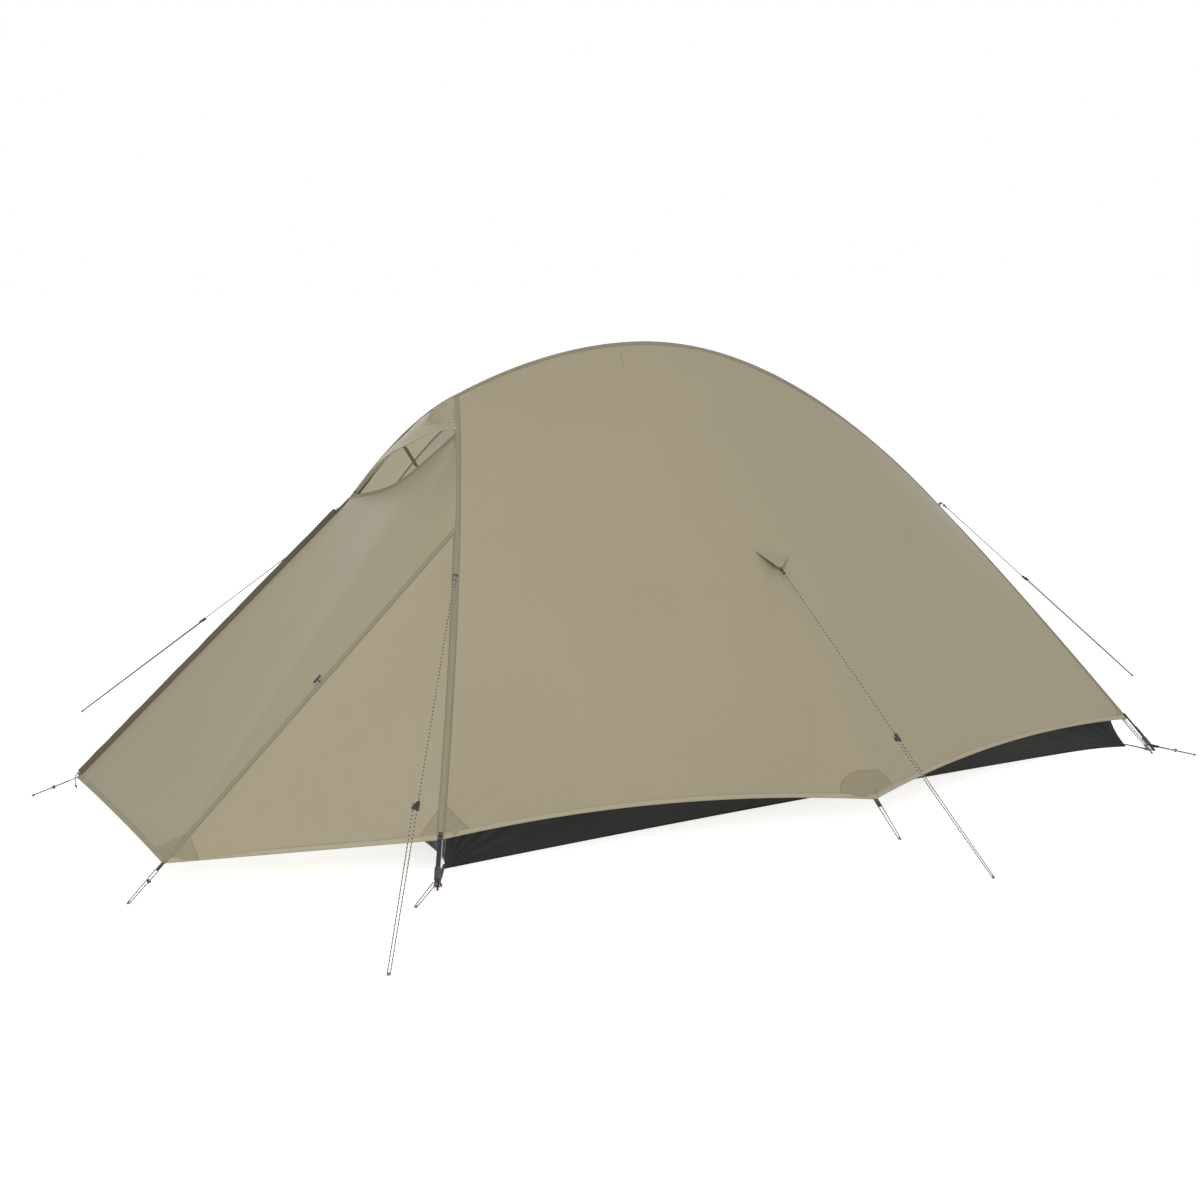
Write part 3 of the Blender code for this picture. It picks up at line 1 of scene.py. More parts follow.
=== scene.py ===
"""Looks of a two-person ultralight backpacking tent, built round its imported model.

Laid out as an add-on, and run as a script: each operator makes one group of pieces, and main() calls
them in order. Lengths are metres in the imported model's frame: X from the door end to the foot end,
Y across the tent, Z up, with the ground at zero.
"""

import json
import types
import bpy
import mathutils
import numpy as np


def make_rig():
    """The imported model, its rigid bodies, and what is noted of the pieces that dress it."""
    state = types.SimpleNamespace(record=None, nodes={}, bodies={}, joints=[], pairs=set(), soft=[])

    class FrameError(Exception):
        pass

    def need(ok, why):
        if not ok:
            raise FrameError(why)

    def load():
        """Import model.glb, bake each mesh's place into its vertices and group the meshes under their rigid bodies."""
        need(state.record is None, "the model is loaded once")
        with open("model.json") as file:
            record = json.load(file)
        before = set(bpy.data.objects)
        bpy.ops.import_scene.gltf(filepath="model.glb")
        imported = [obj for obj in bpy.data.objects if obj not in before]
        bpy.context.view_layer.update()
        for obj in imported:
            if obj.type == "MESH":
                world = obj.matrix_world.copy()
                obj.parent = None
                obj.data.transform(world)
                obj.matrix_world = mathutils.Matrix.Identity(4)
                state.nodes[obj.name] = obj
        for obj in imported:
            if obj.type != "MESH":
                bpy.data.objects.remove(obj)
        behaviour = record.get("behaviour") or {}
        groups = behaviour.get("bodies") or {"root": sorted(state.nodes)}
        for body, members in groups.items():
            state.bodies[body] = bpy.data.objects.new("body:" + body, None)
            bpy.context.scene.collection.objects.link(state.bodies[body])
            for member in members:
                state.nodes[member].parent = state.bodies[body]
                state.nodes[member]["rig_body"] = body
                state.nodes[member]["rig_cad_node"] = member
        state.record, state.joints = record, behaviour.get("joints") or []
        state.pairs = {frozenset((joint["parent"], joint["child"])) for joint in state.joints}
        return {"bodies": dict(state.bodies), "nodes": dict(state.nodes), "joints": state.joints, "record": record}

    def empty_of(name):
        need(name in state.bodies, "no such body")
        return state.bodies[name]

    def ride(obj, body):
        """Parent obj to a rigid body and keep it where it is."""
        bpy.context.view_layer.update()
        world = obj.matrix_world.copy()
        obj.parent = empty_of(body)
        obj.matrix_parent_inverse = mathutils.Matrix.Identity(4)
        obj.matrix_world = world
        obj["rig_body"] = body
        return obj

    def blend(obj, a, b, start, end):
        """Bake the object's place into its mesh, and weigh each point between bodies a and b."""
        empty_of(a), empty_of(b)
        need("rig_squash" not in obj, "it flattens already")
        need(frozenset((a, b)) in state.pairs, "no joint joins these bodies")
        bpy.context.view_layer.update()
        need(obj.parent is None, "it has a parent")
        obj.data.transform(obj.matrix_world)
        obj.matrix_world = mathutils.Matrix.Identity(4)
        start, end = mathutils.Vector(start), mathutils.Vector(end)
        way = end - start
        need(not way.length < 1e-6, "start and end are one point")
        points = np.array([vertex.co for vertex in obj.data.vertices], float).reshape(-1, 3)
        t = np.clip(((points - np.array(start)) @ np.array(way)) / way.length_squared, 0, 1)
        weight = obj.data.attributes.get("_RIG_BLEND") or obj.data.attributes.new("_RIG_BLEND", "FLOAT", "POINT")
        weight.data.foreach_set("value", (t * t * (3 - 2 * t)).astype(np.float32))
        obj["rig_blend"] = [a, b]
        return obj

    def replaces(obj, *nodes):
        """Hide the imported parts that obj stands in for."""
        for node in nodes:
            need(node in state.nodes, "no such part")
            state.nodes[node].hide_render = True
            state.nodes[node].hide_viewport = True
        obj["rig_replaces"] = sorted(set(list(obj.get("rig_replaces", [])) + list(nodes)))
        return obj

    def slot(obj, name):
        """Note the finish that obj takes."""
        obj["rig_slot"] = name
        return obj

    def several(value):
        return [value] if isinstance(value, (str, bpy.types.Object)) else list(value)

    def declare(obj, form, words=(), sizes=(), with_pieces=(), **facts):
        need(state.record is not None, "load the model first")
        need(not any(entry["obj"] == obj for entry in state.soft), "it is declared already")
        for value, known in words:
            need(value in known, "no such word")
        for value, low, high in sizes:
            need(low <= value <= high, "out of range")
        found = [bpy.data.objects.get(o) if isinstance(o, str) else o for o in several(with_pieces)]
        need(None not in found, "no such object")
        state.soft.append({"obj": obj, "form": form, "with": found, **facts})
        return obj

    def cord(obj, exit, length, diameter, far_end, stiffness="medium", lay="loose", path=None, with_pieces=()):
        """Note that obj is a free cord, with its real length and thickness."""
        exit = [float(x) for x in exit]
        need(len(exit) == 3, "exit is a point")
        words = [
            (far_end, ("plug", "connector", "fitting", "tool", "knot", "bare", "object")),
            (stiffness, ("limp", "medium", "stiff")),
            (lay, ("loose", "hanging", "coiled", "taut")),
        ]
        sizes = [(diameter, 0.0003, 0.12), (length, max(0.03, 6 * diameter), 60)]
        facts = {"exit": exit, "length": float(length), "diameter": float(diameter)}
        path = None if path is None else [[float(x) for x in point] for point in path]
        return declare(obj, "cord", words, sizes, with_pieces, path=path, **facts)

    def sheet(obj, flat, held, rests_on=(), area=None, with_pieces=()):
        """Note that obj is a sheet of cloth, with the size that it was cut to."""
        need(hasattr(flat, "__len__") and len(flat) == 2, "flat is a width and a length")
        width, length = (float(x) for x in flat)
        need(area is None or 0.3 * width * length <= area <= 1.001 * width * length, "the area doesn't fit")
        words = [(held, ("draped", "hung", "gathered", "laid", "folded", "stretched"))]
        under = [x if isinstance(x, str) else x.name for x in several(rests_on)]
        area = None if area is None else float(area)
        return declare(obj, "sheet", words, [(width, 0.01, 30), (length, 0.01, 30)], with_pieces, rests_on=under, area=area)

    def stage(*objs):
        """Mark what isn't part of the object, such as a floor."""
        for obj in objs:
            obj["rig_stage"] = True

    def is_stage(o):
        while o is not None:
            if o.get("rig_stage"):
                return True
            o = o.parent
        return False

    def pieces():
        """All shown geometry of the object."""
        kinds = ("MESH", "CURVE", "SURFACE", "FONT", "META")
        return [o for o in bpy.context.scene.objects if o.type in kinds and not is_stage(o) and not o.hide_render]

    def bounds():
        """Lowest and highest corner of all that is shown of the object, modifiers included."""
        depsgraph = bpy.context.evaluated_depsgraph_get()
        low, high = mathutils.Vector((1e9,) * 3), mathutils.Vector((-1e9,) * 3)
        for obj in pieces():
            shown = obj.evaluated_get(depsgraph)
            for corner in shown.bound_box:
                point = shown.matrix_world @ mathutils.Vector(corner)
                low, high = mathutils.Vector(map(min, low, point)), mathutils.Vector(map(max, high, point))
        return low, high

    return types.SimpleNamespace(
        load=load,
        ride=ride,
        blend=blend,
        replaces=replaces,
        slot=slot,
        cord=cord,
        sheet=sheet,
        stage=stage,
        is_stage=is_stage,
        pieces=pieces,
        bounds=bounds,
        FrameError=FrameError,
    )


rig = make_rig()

bl_info = {
    "name": "Backpacking Tent Looks",
    "version": (1, 0, 0),
    "blender": (4, 5, 0),
    "location": "View3D > Sidebar > Tent",
    "description": "Cloth, seams, hardware, cords and stage for a pitched two-person tent",
    "category": "Object",
}

import json
import math
from typing import NamedTuple

import bmesh
import bpy
import numpy as np
from bpy.props import FloatProperty, FloatVectorProperty, PointerProperty
from bpy.types import Operator, Panel, PropertyGroup
from mathutils import Matrix, Vector

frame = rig.load()
CAD_BOX = [list(corner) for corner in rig.bounds()]
SIDES = {"near": -1, "far": 1}
NEAR, FAR = -1, 1
UP = np.array([0.0, 0.0, 1.0])
ACROSS = np.array([0.0, 1.0, 0.0])


# Lines of the pitched tent, worked out as the solids' source works them out

GAP = 0.0003
FOOT_X, FOOT_Y = 1.125, 0.725
FRONT_HUB = np.array([-0.716, 0.0, 1.038])
RIDGE_TOP = np.array([-0.165, 0.0, 1.160])
REAR_HUB = np.array([0.917, 0.0, 0.640])
FRONT_HUB_SLOPE, REAR_HUB_SLOPE = 0.42, -0.85
FRONT_LEG_STEER = ((0.179, 0.383), (0.641, 0.883))
REAR_LEG_STEER = ((0.300, 0.315), (0.650, 0.680))
FRONT_LEG_BOW = 0.0247
REAR_LEG_OUT = (0.75, 0.31, 0.58)
TIP_NOSE_R = 0.003
POLE_D = 0.0085
SEAM_D = 0.0030
CLOTH = 0.0010
FLY_LIFT = 0.0075 + GAP + SEAM_D / 2
FLY_RIDGE_LIFT = 0.0118
LIFT_REACH = 0.25
FRONT_CORNER_HEIGHT, REAR_CORNER_HEIGHT = 0.108, 0.088
SIDE_STAKE = np.array([0.020, 0.850, 0.070])
HEM_SCALLOP, SIDE_HEM_ARCH, REAR_HEM_ARCH, DOOR_HEM_ARCH = 0.025, 0.030, 0.030, 0.006
VESTIBULE = np.array([-1.650, 0.390, 0.055])
SEAM_TOP_HEIGHT, VENT_NEAR_HEIGHT, HOOD_STEP = 0.757, 0.966, 0.009
PULL_OUT, PULL_OUT_REACH = 0.020, 0.22
TAB_PLACE = (0.4410, 0.518)
TUB_FRONT_X, TUB_REAR_X, TUB_Y, TUB_HEIGHT, TUB_LEAN, TUB_SCALLOP = 1.050, 1.095, 0.600, 0.120, 0.012, 0.022
FLOOR_DROP = 0.0002
VENT_SILL = ((-0.800, -0.060, 0.915), (-0.830, 0.000, 0.866), (-0.852, 0.075, 0.822), (-0.864, 0.175, 0.790))
HOOD_LIP = ((-0.830, -0.085, 0.962), (-0.876, -0.022, 0.926), (-0.893, 0.060, 0.890), (-0.892, 0.170, 0.838))
# Shares of the fly's seams that the solids give to each stretch; here each run is cut finer
FINE = 8
HOOD_RUNS, VENT_RUNS, VESTIBULE_RUNS, REAR_RUNS, RIDGE_RUNS = 2, 3, 7, 12, 20


def unit(vector):
    vector = np.asarray(vector, dtype=float)
    return vector / np.maximum(np.linalg.norm(vector, axis=-1, keepdims=True), 1e-12)


def bezier(points, count):
    """Cubic curve of four control points: each weighed by its Bernstein polynomial of the parameter."""
    t = np.linspace(0.0, 1.0, count)[:, None]
    weights = ((1 - t) ** 3, 3 * (1 - t) ** 2 * t, 3 * (1 - t) * t ** 2, t ** 3)
    return sum(weight * np.asarray(point, dtype=float) for weight, point in zip(weights, points))


def smooth_through(points, count):
    """Hermite cubic through points, the slope at each taken from its two neighbours."""
    points = np.asarray(points, dtype=float)
    slopes = np.gradient(points, axis=0)
    place = np.linspace(0.0, len(points) - 1.0, count)
    first = np.minimum(place.astype(int), len(points) - 2)
    t = (place - first)[:, None]
    return ((2 * t ** 3 - 3 * t ** 2 + 1) * points[first] + (t ** 3 - 2 * t ** 2 + t) * slopes[first]
            + (3 * t ** 2 - 2 * t ** 3) * points[first + 1] + (t ** 3 - t ** 2) * slopes[first + 1])


def arc_lengths(path):
    return np.concatenate(([0.0], np.cumsum(np.linalg.norm(np.diff(path, axis=0), axis=1))))


def at(path, share):
    """Points of a path at shares of its length."""
    run = arc_lengths(path)
    run = run / max(run[-1], 1e-12)
    return np.stack([np.interp(share, run, path[:, axis]) for axis in range(3)], axis=-1)


def by_run(path, share):
    """Points of a path where each of its straight runs takes an equal share."""
    places = np.linspace(0, 1, len(path))
    return np.stack([np.interp(share, places, path[:, axis]) for axis in range(3)], axis=-1)


def share_at_height(path, height):
    """Share of a falling path's length at which it passes a height."""
    run = arc_lengths(path)
    return float(np.interp(-height, -path[:, 2], run / run[-1]))


def part_of(path, start, end, count):
    return at(path, np.linspace(start, end, count))


def between(start, end, count):
    """Evenly spaced points of a straight line."""
    return part_of(np.array([start, end]), 0, 1, count)


def length_of(vector):
    return float(np.linalg.norm(vector))


def pull_ends(path, start, end, reach):
    """The path with its ends moved to two points, the move fading out as a square over a length."""
    run = arc_lengths(path)
    near_start = np.clip(1 - run / reach, 0, 1)[:, None] ** 2
    near_end = np.clip(1 - (run[-1] - run) / reach, 0, 1)[:, None] ** 2
    return path + near_start * (start - path[0]) + near_end * (end - path[-1])


def spine_line():
    """Centre line of the spine pole: two cubics that meet level at the ridge's top."""
    front_run = (RIDGE_TOP[0] - FRONT_HUB[0]) / 3
    rear_run = (REAR_HUB[0] - RIDGE_TOP[0]) / 3
    front = bezier((FRONT_HUB, FRONT_HUB + front_run * np.array([1, 0, FRONT_HUB_SLOPE]),
                    RIDGE_TOP - front_run * np.array([1, 0, 0]), RIDGE_TOP), 31)
    rear = bezier((RIDGE_TOP, RIDGE_TOP + rear_run * np.array([1, 0, 0]),
                   REAR_HUB - rear_run * np.array([1, 0, REAR_HUB_SLOPE]), REAR_HUB), 41)
    return np.concatenate((front, rear[1:]))


def leg_line(end, side):
    """Centre line of a leg: a cubic from hub to foot, with half a sine wave of bow sideways at the front."""
    hub = FRONT_HUB if end == "front" else REAR_HUB
    steer = FRONT_LEG_STEER if end == "front" else REAR_LEG_STEER
    bow = FRONT_LEG_BOW if end == "front" else 0.0
    foot = np.array([-FOOT_X if end == "front" else FOOT_X, side * FOOT_Y, TIP_NOSE_R])
    run = (hub - foot) * np.array([1, 1, 0])
    rise = (hub - foot) * UP
    line = bezier([foot] + [foot + share * run + lift * rise for share, lift in steer] + [hub], 41)
    sideways = unit(np.cross(UP, run))
    sideways = sideways * (1 if sideways[1] * side > 0 else -1)
    return (line + bow * np.sin(np.linspace(0, math.pi, 41))[:, None] * sideways)[::-1]


def outward(path):
    """Unit vectors square to a pole line, in its vertical plane, pointing out of the tent."""
    along = unit(np.gradient(path, axis=0))
    return unit(UP - along * along[:, 2:3])


SPINE = spine_line()
LEGS = {(end, name): leg_line(end, side) for end in ("front", "rear") for name, side in SIDES.items()}
FLY_HUB = {"front": FRONT_HUB + FLY_LIFT * unit([-0.35, 0, 1.0]),
           "rear": REAR_HUB + FLY_LIFT * unit([1.0, 0, 1.0])}
FLY_RIDGE = part_of(pull_ends(SPINE + FLY_RIDGE_LIFT * outward(SPINE), FLY_HUB["front"], FLY_HUB["rear"],
                              LIFT_REACH), 0, 1, RIDGE_RUNS * FINE + 1)


def fly_leg_line(end, name):
    """Seam of the fly over a leg, from the hub down to the fly's corner, in the solids' stretches."""
    pole = LEGS[end, name]
    out = unit(np.array(REAR_LEG_OUT) * [1, SIDES[name], 1]) if end == "rear" else outward(pole)
    line = pole + FLY_LIFT * out
    line = pull_ends(line, FLY_HUB[end], line[-1], LIFT_REACH)
    if end == "rear":
        return part_of(line, 0.0, share_at_height(line, REAR_CORNER_HEIGHT), REAR_RUNS * FINE + 1)
    breaks = [0.0] + [share_at_height(line, height)
                      for height in (VENT_NEAR_HEIGHT, SEAM_TOP_HEIGHT, FRONT_CORNER_HEIGHT)]
    parts = [part_of(line, start, stop, count * FINE + 1)
             for start, stop, count in zip(breaks, breaks[1:], (HOOD_RUNS, VENT_RUNS, VESTIBULE_RUNS))]
    return np.concatenate([parts[0]] + [part[1:] for part in parts[1:]])


FLY_LEGS = {key: fly_leg_line(*key) for key in LEGS}


def vestibule_corner(side):
    return VESTIBULE * np.array([1, side, 1])


def seam_top(name):
    return FLY_LEGS["front", name][(HOOD_RUNS + VENT_RUNS) * FINE]


def hood_end(name):
    """Leg seam from the hub down to an end of the hood's lip, a step above the vent's corner."""
    line = FLY_LEGS["front", name]
    runs = (HOOD_RUNS if name == "near" else HOOD_RUNS + VENT_RUNS) * FINE
    end = at(line, share_at_height(line, line[runs][2] + HOOD_STEP))
    return np.concatenate((line[:runs], [end]))


def arched(start, end, rise, inward, count):
    """Hem between two corners: a parabola that rises and draws inwards towards its middle."""
    share = np.linspace(0, 1, count)[:, None]
    inward = np.asarray(inward, dtype=float)
    return start + share * (end - start) + 4 * share * (1 - share) * (rise * UP + inward)


def side_hem(name):
    side = SIDES[name]
    stake = SIDE_STAKE * np.array([1, side, 1])
    inward = -side * HEM_SCALLOP * ACROSS
    count = RIDGE_RUNS * FINE // 2 + 1
    front = arched(FLY_LEGS["front", name][-1], stake, SIDE_HEM_ARCH, inward, count)
    rear = arched(stake, FLY_LEGS["rear", name][-1], SIDE_HEM_ARCH, inward, count)
    return np.concatenate((front, rear[1:]))


# Surfaces: each is a function of two shares, u along its top and v down its sides

def taut_patch(top, bottom, left, right):
    """Cloth between four edges: straight lines from top to bottom, plus each side edge's offset from its
    own straight line, faded inwards as a square."""
    def surface(u, v):
        u, v = np.broadcast_arrays(np.asarray(u, dtype=float), np.asarray(v, dtype=float))
        across, down = u[..., None], v[..., None]
        ruled = (1 - down) * by_run(top, u) + down * by_run(bottom, u)
        left_draw = by_run(left, v) - ((1 - down) * top[0] + down * bottom[0])
        right_draw = by_run(right, v) - ((1 - down) * top[-1] + down * bottom[-1])
        return ruled + (1 - across) ** 2 * left_draw + across ** 2 * right_draw
    return surface


def point_path(point):
    return np.array([point, point])


STEP = 1e-3


def slopes_of(surface, u, v):
    """The surface's point and its change for each unit of u and of v, looking inwards at the far edges."""
    u, v = np.broadcast_arrays(np.asarray(u, dtype=float), np.asarray(v, dtype=float))
    u0, v0 = np.minimum(u, 1 - STEP), np.minimum(v, 1 - STEP)
    here = surface(u0, v0)
    return surface(u, v), (surface(u0 + STEP, v0) - here) / STEP, (surface(u0, v0 + STEP) - here) / STEP


def normals_of(surface, u, v, out):
    """Unit normals from the cross product of the two slopes, turned to the side that out points to."""
    shrunk = (0.5 + (np.asarray(share, dtype=float) - 0.5) * (1 - 2 * STEP) for share in (u, v))
    _, by_u, by_v = slopes_of(surface, *shrunk)
    normal = unit(np.cross(by_u, by_v))
    return normal * np.sign(np.sum(normal * np.asarray(out, dtype=float), axis=-1, keepdims=True) + 1e-9)


def side_panel(name):
    """One side of the fly: the taut patch between ridge, hem and legs, drawn out round the guy tab by a
    bell curve of the distance from it."""
    base = taut_patch(FLY_RIDGE, side_hem(name), FLY_LEGS["front", name], FLY_LEGS["rear", name])
    middle = base(*TAB_PLACE)
    pull = np.array([0, SIDES[name] * 0.8, 0.6])

    def surface(u, v):
        points = base(u, v)
        away = np.hypot(points[..., 0] - middle[0], points[..., 2] - middle[2])
        return points + PULL_OUT * np.exp(-(away / PULL_OUT_REACH) ** 2)[..., None] * pull
    return surface


# Meshes from arrays

class Shape(NamedTuple):
    """Points, with blocks of faces of one corner count each and the matching corners' UVs in metres."""
    points: np.ndarray
    faces: list
    uvs: list


def grid_shape(points, uv, wrap=False):
    """Quads between neighbouring rows and columns of points; wrap joins the last column to the first, and
    then uv has one column more than points."""
    rows, columns = points.shape[:2]
    index = np.arange(rows * columns).reshape(rows, columns)
    if wrap:
        index = np.concatenate((index, index[:, :1]), axis=1)

    def corners(grid):
        return np.stack((grid[:-1, :-1], grid[:-1, 1:], grid[1:, 1:], grid[1:, :-1]), axis=2)
    quads = corners(index).reshape(-1, 4)
    return Shape(points.reshape(-1, 3), [quads], [corners(uv).reshape(-1, 4, 2)])


def uv_of(along, across):
    """UV of a grid, from its places along and across."""
    return np.stack(np.broadcast_arrays(np.asarray(along)[:, None], across), axis=-1)


def joined(shapes):
    """Several shapes as one: each block of faces moved up by the count of the points before it."""
    starts = np.cumsum([0] + [len(shape.points) for shape in shapes])
    faces = [block + start for shape, start in zip(shapes, starts) for block in shape.faces]
    uvs = [block for shape in shapes for block in shape.uvs]
    return Shape(np.concatenate([shape.points for shape in shapes]), faces, uvs)


def loft(rings, along=None):
    """Closed skin over rings (count, sides, 3), each end closed by a fan to the middle of its ring. U runs
    along the rings in metres and V once round."""
    count, sides = rings.shape[:2]
    centres = rings.mean(axis=1)
    along = arc_lengths(centres) if along is None else along
    girth = float(np.linalg.norm(rings - np.roll(rings, 1, axis=1), axis=2).sum(axis=1).max())
    round_share = np.linspace(0, girth, sides + 1)
    skin = grid_shape(rings, uv_of(along, round_share), wrap=True)
    points = np.concatenate((skin.points, centres[[0, -1]]))
    first = np.arange(sides)
    last = first + (count - 1) * sides
    start_fan = np.stack((np.roll(first, -1), first, np.full(sides, count * sides)), axis=1)
    end_fan = np.stack((last, np.roll(last, -1), np.full(sides, count * sides + 1)), axis=1)
    fans = np.concatenate((start_fan, end_fan))
    fan_uv = np.stack((np.repeat(along[[0, -1]], sides)[:, None].repeat(3, 1),
                       np.tile(round_share[:-1], 2)[:, None].repeat(3, 1)), axis=-1)
    return Shape(points, skin.faces + [fans], skin.uvs + [fan_uv])


def across_path(path, ref):
    """Unit vectors along a path, and two square to it: the first also square to ref, by cross products."""
    along = unit(np.gradient(path, axis=0))
    side = unit(np.cross(along, ref))
    return along, side, np.cross(side, along)


def circle(side, rise, sides):
    """Points of a unit circle on two ways, or on two for each station of a path."""
    turn = np.linspace(0, 2 * math.pi, sides, endpoint=False)[:, None]
    return np.cos(turn) * side[..., None, :] + np.sin(turn) * rise[..., None, :]


def tube(path, radius, ref=UP, sides=12):
    """Circle of a radius, or of one for each point, carried square to a path."""
    _, side, rise = across_path(path, ref)
    radii = np.broadcast_to(np.asarray(radius, dtype=float), (len(path),))[:, None, None]
    return loft(path[:, None] + radii * circle(side, rise, sides))


def ring_tube(path, radius, ref, sides=8):
    """Tube along a closed loop of points."""
    _, side, rise = across_path(np.concatenate((path[-1:], path, path[:1])), ref)
    rings = path[:, None] + radius * circle(side[1:-1], rise[1:-1], sides)
    along = arc_lengths(np.concatenate((path, path[:1])))
    uv = uv_of(along, np.linspace(0, 2 * math.pi * radius, sides + 1))
    return grid_shape(np.concatenate((rings, rings[:1])), uv, wrap=True)


def turned(profile, origin, axis, sides=28, ring=False):
    """Profile of radius and height turned round an axis: its ends closed in the middle, or for a ring, such
    as a grommet, joined to each other."""
    profile = np.asarray(profile, dtype=float)
    if ring:
        profile = np.concatenate((profile, profile[:1]))
    axis = unit(axis)
    side = unit(np.cross(axis, [0.31, 0.77, 0.55]))
    rings = (np.asarray(origin) + profile[:, 1, None, None] * axis
             + profile[:, 0, None, None] * circle(side, np.cross(axis, side), sides))
    if ring:
        uv = uv_of(np.linspace(0, 0.01, len(profile)), np.linspace(0, 0.02, sides + 1))
        return grid_shape(rings, uv, wrap=True)
    return loft(rings, along=arc_lengths(np.insert(profile, 2, 0.0, axis=1)))


def rounded_outline(width, height, corner, steps=5):
    """Rectangle with round corners: four quarter circles, anticlockwise, about the origin."""
    quarter = np.repeat(np.arange(4), steps)
    angle = np.tile(np.linspace(0, math.pi / 2, steps), 4) + quarter * math.pi / 2
    sign_x = np.array([1, -1, -1, 1])[quarter]
    sign_y = np.array([1, 1, -1, -1])[quarter]
    return np.stack((sign_x * (width / 2 - corner) + corner * np.cos(angle),
                     sign_y * (height / 2 - corner) + corner * np.sin(angle)), axis=1)


def block(width, depth, length, corner, edge, frame_axes, stretch=None):
    """Bar with a round-cornered section: the section is carried along the length and shrunk to a round
    edge, a quarter circle, at both ends. stretch widens it by a share of the length at each station."""
    origin, side, rise, along = (np.asarray(value, dtype=float) for value in frame_axes)
    bend = np.linspace(0, math.pi / 2, 4)
    start = edge * (1 - np.cos(bend))
    inset = np.concatenate((edge * (1 - np.sin(bend)), [0.0, 0.0, 0.0], (edge * (1 - np.sin(bend)))[::-1]))
    place = np.concatenate((start, length * np.array([0.25, 0.5, 0.75]), (length - start)[::-1]))
    widths = width - 2 * inset
    if stretch is not None:
        widths = widths * np.interp(place / length, np.linspace(0, 1, len(stretch)), stretch)
    unit_outline = rounded_outline(width, depth, corner) / np.array([width, depth])
    section_x = unit_outline[None, :, 0] * widths[:, None]
    section_y = unit_outline[None, :, 1] * (depth - 2 * inset)[:, None]
    return loft(origin + place[:, None, None] * along + section_x[..., None] * side
                + section_y[..., None] * rise, along=place)


def ribbon(path, wide, width, thickness):
    """Flat strip with rounded edges carried along a path, its width along one fixed way."""
    rise = unit(np.cross(unit(np.gradient(path, axis=0)), wide))
    outline = rounded_outline(width, thickness, thickness * 0.45, steps=3)
    return loft(path[:, None] + outline[None, :, :1] * unit(wide) + outline[None, :, 1:] * rise[:, None])


def strap(path, side_ref, width, thickness):
    """Flat strap: a thin rectangle with round edges carried along a path, its width square to side_ref."""
    _, side, rise = across_path(path, side_ref)
    outline = rounded_outline(width, thickness, thickness * 0.45, steps=3)
    return loft(path[:, None] + outline[None, :, :1] * side[:, None] + outline[None, :, 1:] * rise[:, None])


def smooth_step(low, high, value):
    """Zero below low and one above high, with the cubic 3t squared less 2t cubed between them."""
    share = np.clip((value - low) / (high - low), 0, 1)
    return share * share * (3 - 2 * share)


def soft_noise(points, size, seed):
    """Mean of sixteen sine waves with lengths near a size, in directions drawn with a fixed seed."""
    draw = np.random.default_rng(seed)
    ways = unit(draw.normal(size=(16, 3))) * (2 * math.pi / size) * draw.uniform(0.6, 1.7, (16, 1))
    return np.sin(points @ ways.T + draw.uniform(0, 2 * math.pi, 16)).mean(axis=-1) * 2.4


def put_mesh(name, shape, out=None, weld=0.00002):
    """The shape as a mesh object. Doubled points are merged. A closed shape gets its normals recalculated;
    an open sheet is turned so that most of its area faces the side that out points to."""
    mesh = bpy.data.meshes.new(name)
    mesh.from_pydata(shape.points.tolist(), [], [face for rows in shape.faces for face in rows.tolist()])
    corners = np.concatenate([rows.reshape(-1, 2) for rows in shape.uvs]).astype(np.float32)
    mesh.uv_layers.new(name="cut").data.foreach_set("uv", corners.ravel())
    work = bmesh.new()
    work.from_mesh(mesh)
    bmesh.ops.remove_doubles(work, verts=work.verts, dist=weld)
    if out is None:
        bmesh.ops.recalc_face_normals(work, faces=work.faces)
    work.to_mesh(mesh)
    work.free()
    if out is not None:
        normals = np.empty(len(mesh.polygons) * 3)
        areas = np.empty(len(mesh.polygons))
        mesh.polygons.foreach_get("normal", normals)
        mesh.polygons.foreach_get("area", areas)
        if (normals.reshape(-1, 3) @ np.asarray(out, dtype=float) * areas).sum() < 0:
            mesh.flip_normals()
    mesh.shade_smooth()
    piece = bpy.data.objects.new(name, mesh)
    bpy.context.scene.collection.objects.link(piece)
    return piece


# Finishes

def srgb(hex_colour):
    """Linear red, green and blue of an sRGB hex colour."""
    channels = np.array([int(hex_colour[place:place + 2], 16) / 255 for place in (1, 3, 5)])
    return tuple(np.where(channels <= 0.04045, channels / 12.92, ((channels + 0.055) / 1.055) ** 2.4))


def add(tree, kind, inputs=None, output=0, **settings):
    """Adds a shader node with its settings, its inputs as values or as sockets to link from, and gives back
    one of its outputs."""
    node = tree.nodes.new("ShaderNode" + kind)
    for key, value in settings.items():
        setattr(node, key, value)
    for key, value in (inputs or {}).items():
        if isinstance(value, bpy.types.NodeSocket):
            tree.links.new(value, node.inputs[key])
        else:
            node.inputs[key].default_value = value
    return node.outputs[output]


def blank(name, **shader_inputs):
    """A new material and its tree, with its Principled shader's inputs."""
    material = bpy.data.materials.new(name)
    material.use_nodes = True
    for key, value in shader_inputs.items():
        material.node_tree.nodes["Principled BSDF"].inputs[key.replace("_", " ")].default_value = value
    return material, material.node_tree


def dressed(material, face, height, strength, distance, rough=None):
    """Links a material's colour, its relief, and its roughness as a factor with the values at its ends."""
    tree = material.node_tree
    links = {"Base Color": face,
             "Normal": add(tree, "Bump", {"Strength": strength, "Distance": distance, "Height": height})}
    if rough is not None:
        links["Roughness"] = add(tree, "MapRange", dict(zip(("Value", "To Min", "To Max"), rough)))
    for key, socket in links.items():
        tree.links.new(socket, tree.nodes["Principled BSDF"].inputs[key])
    return material


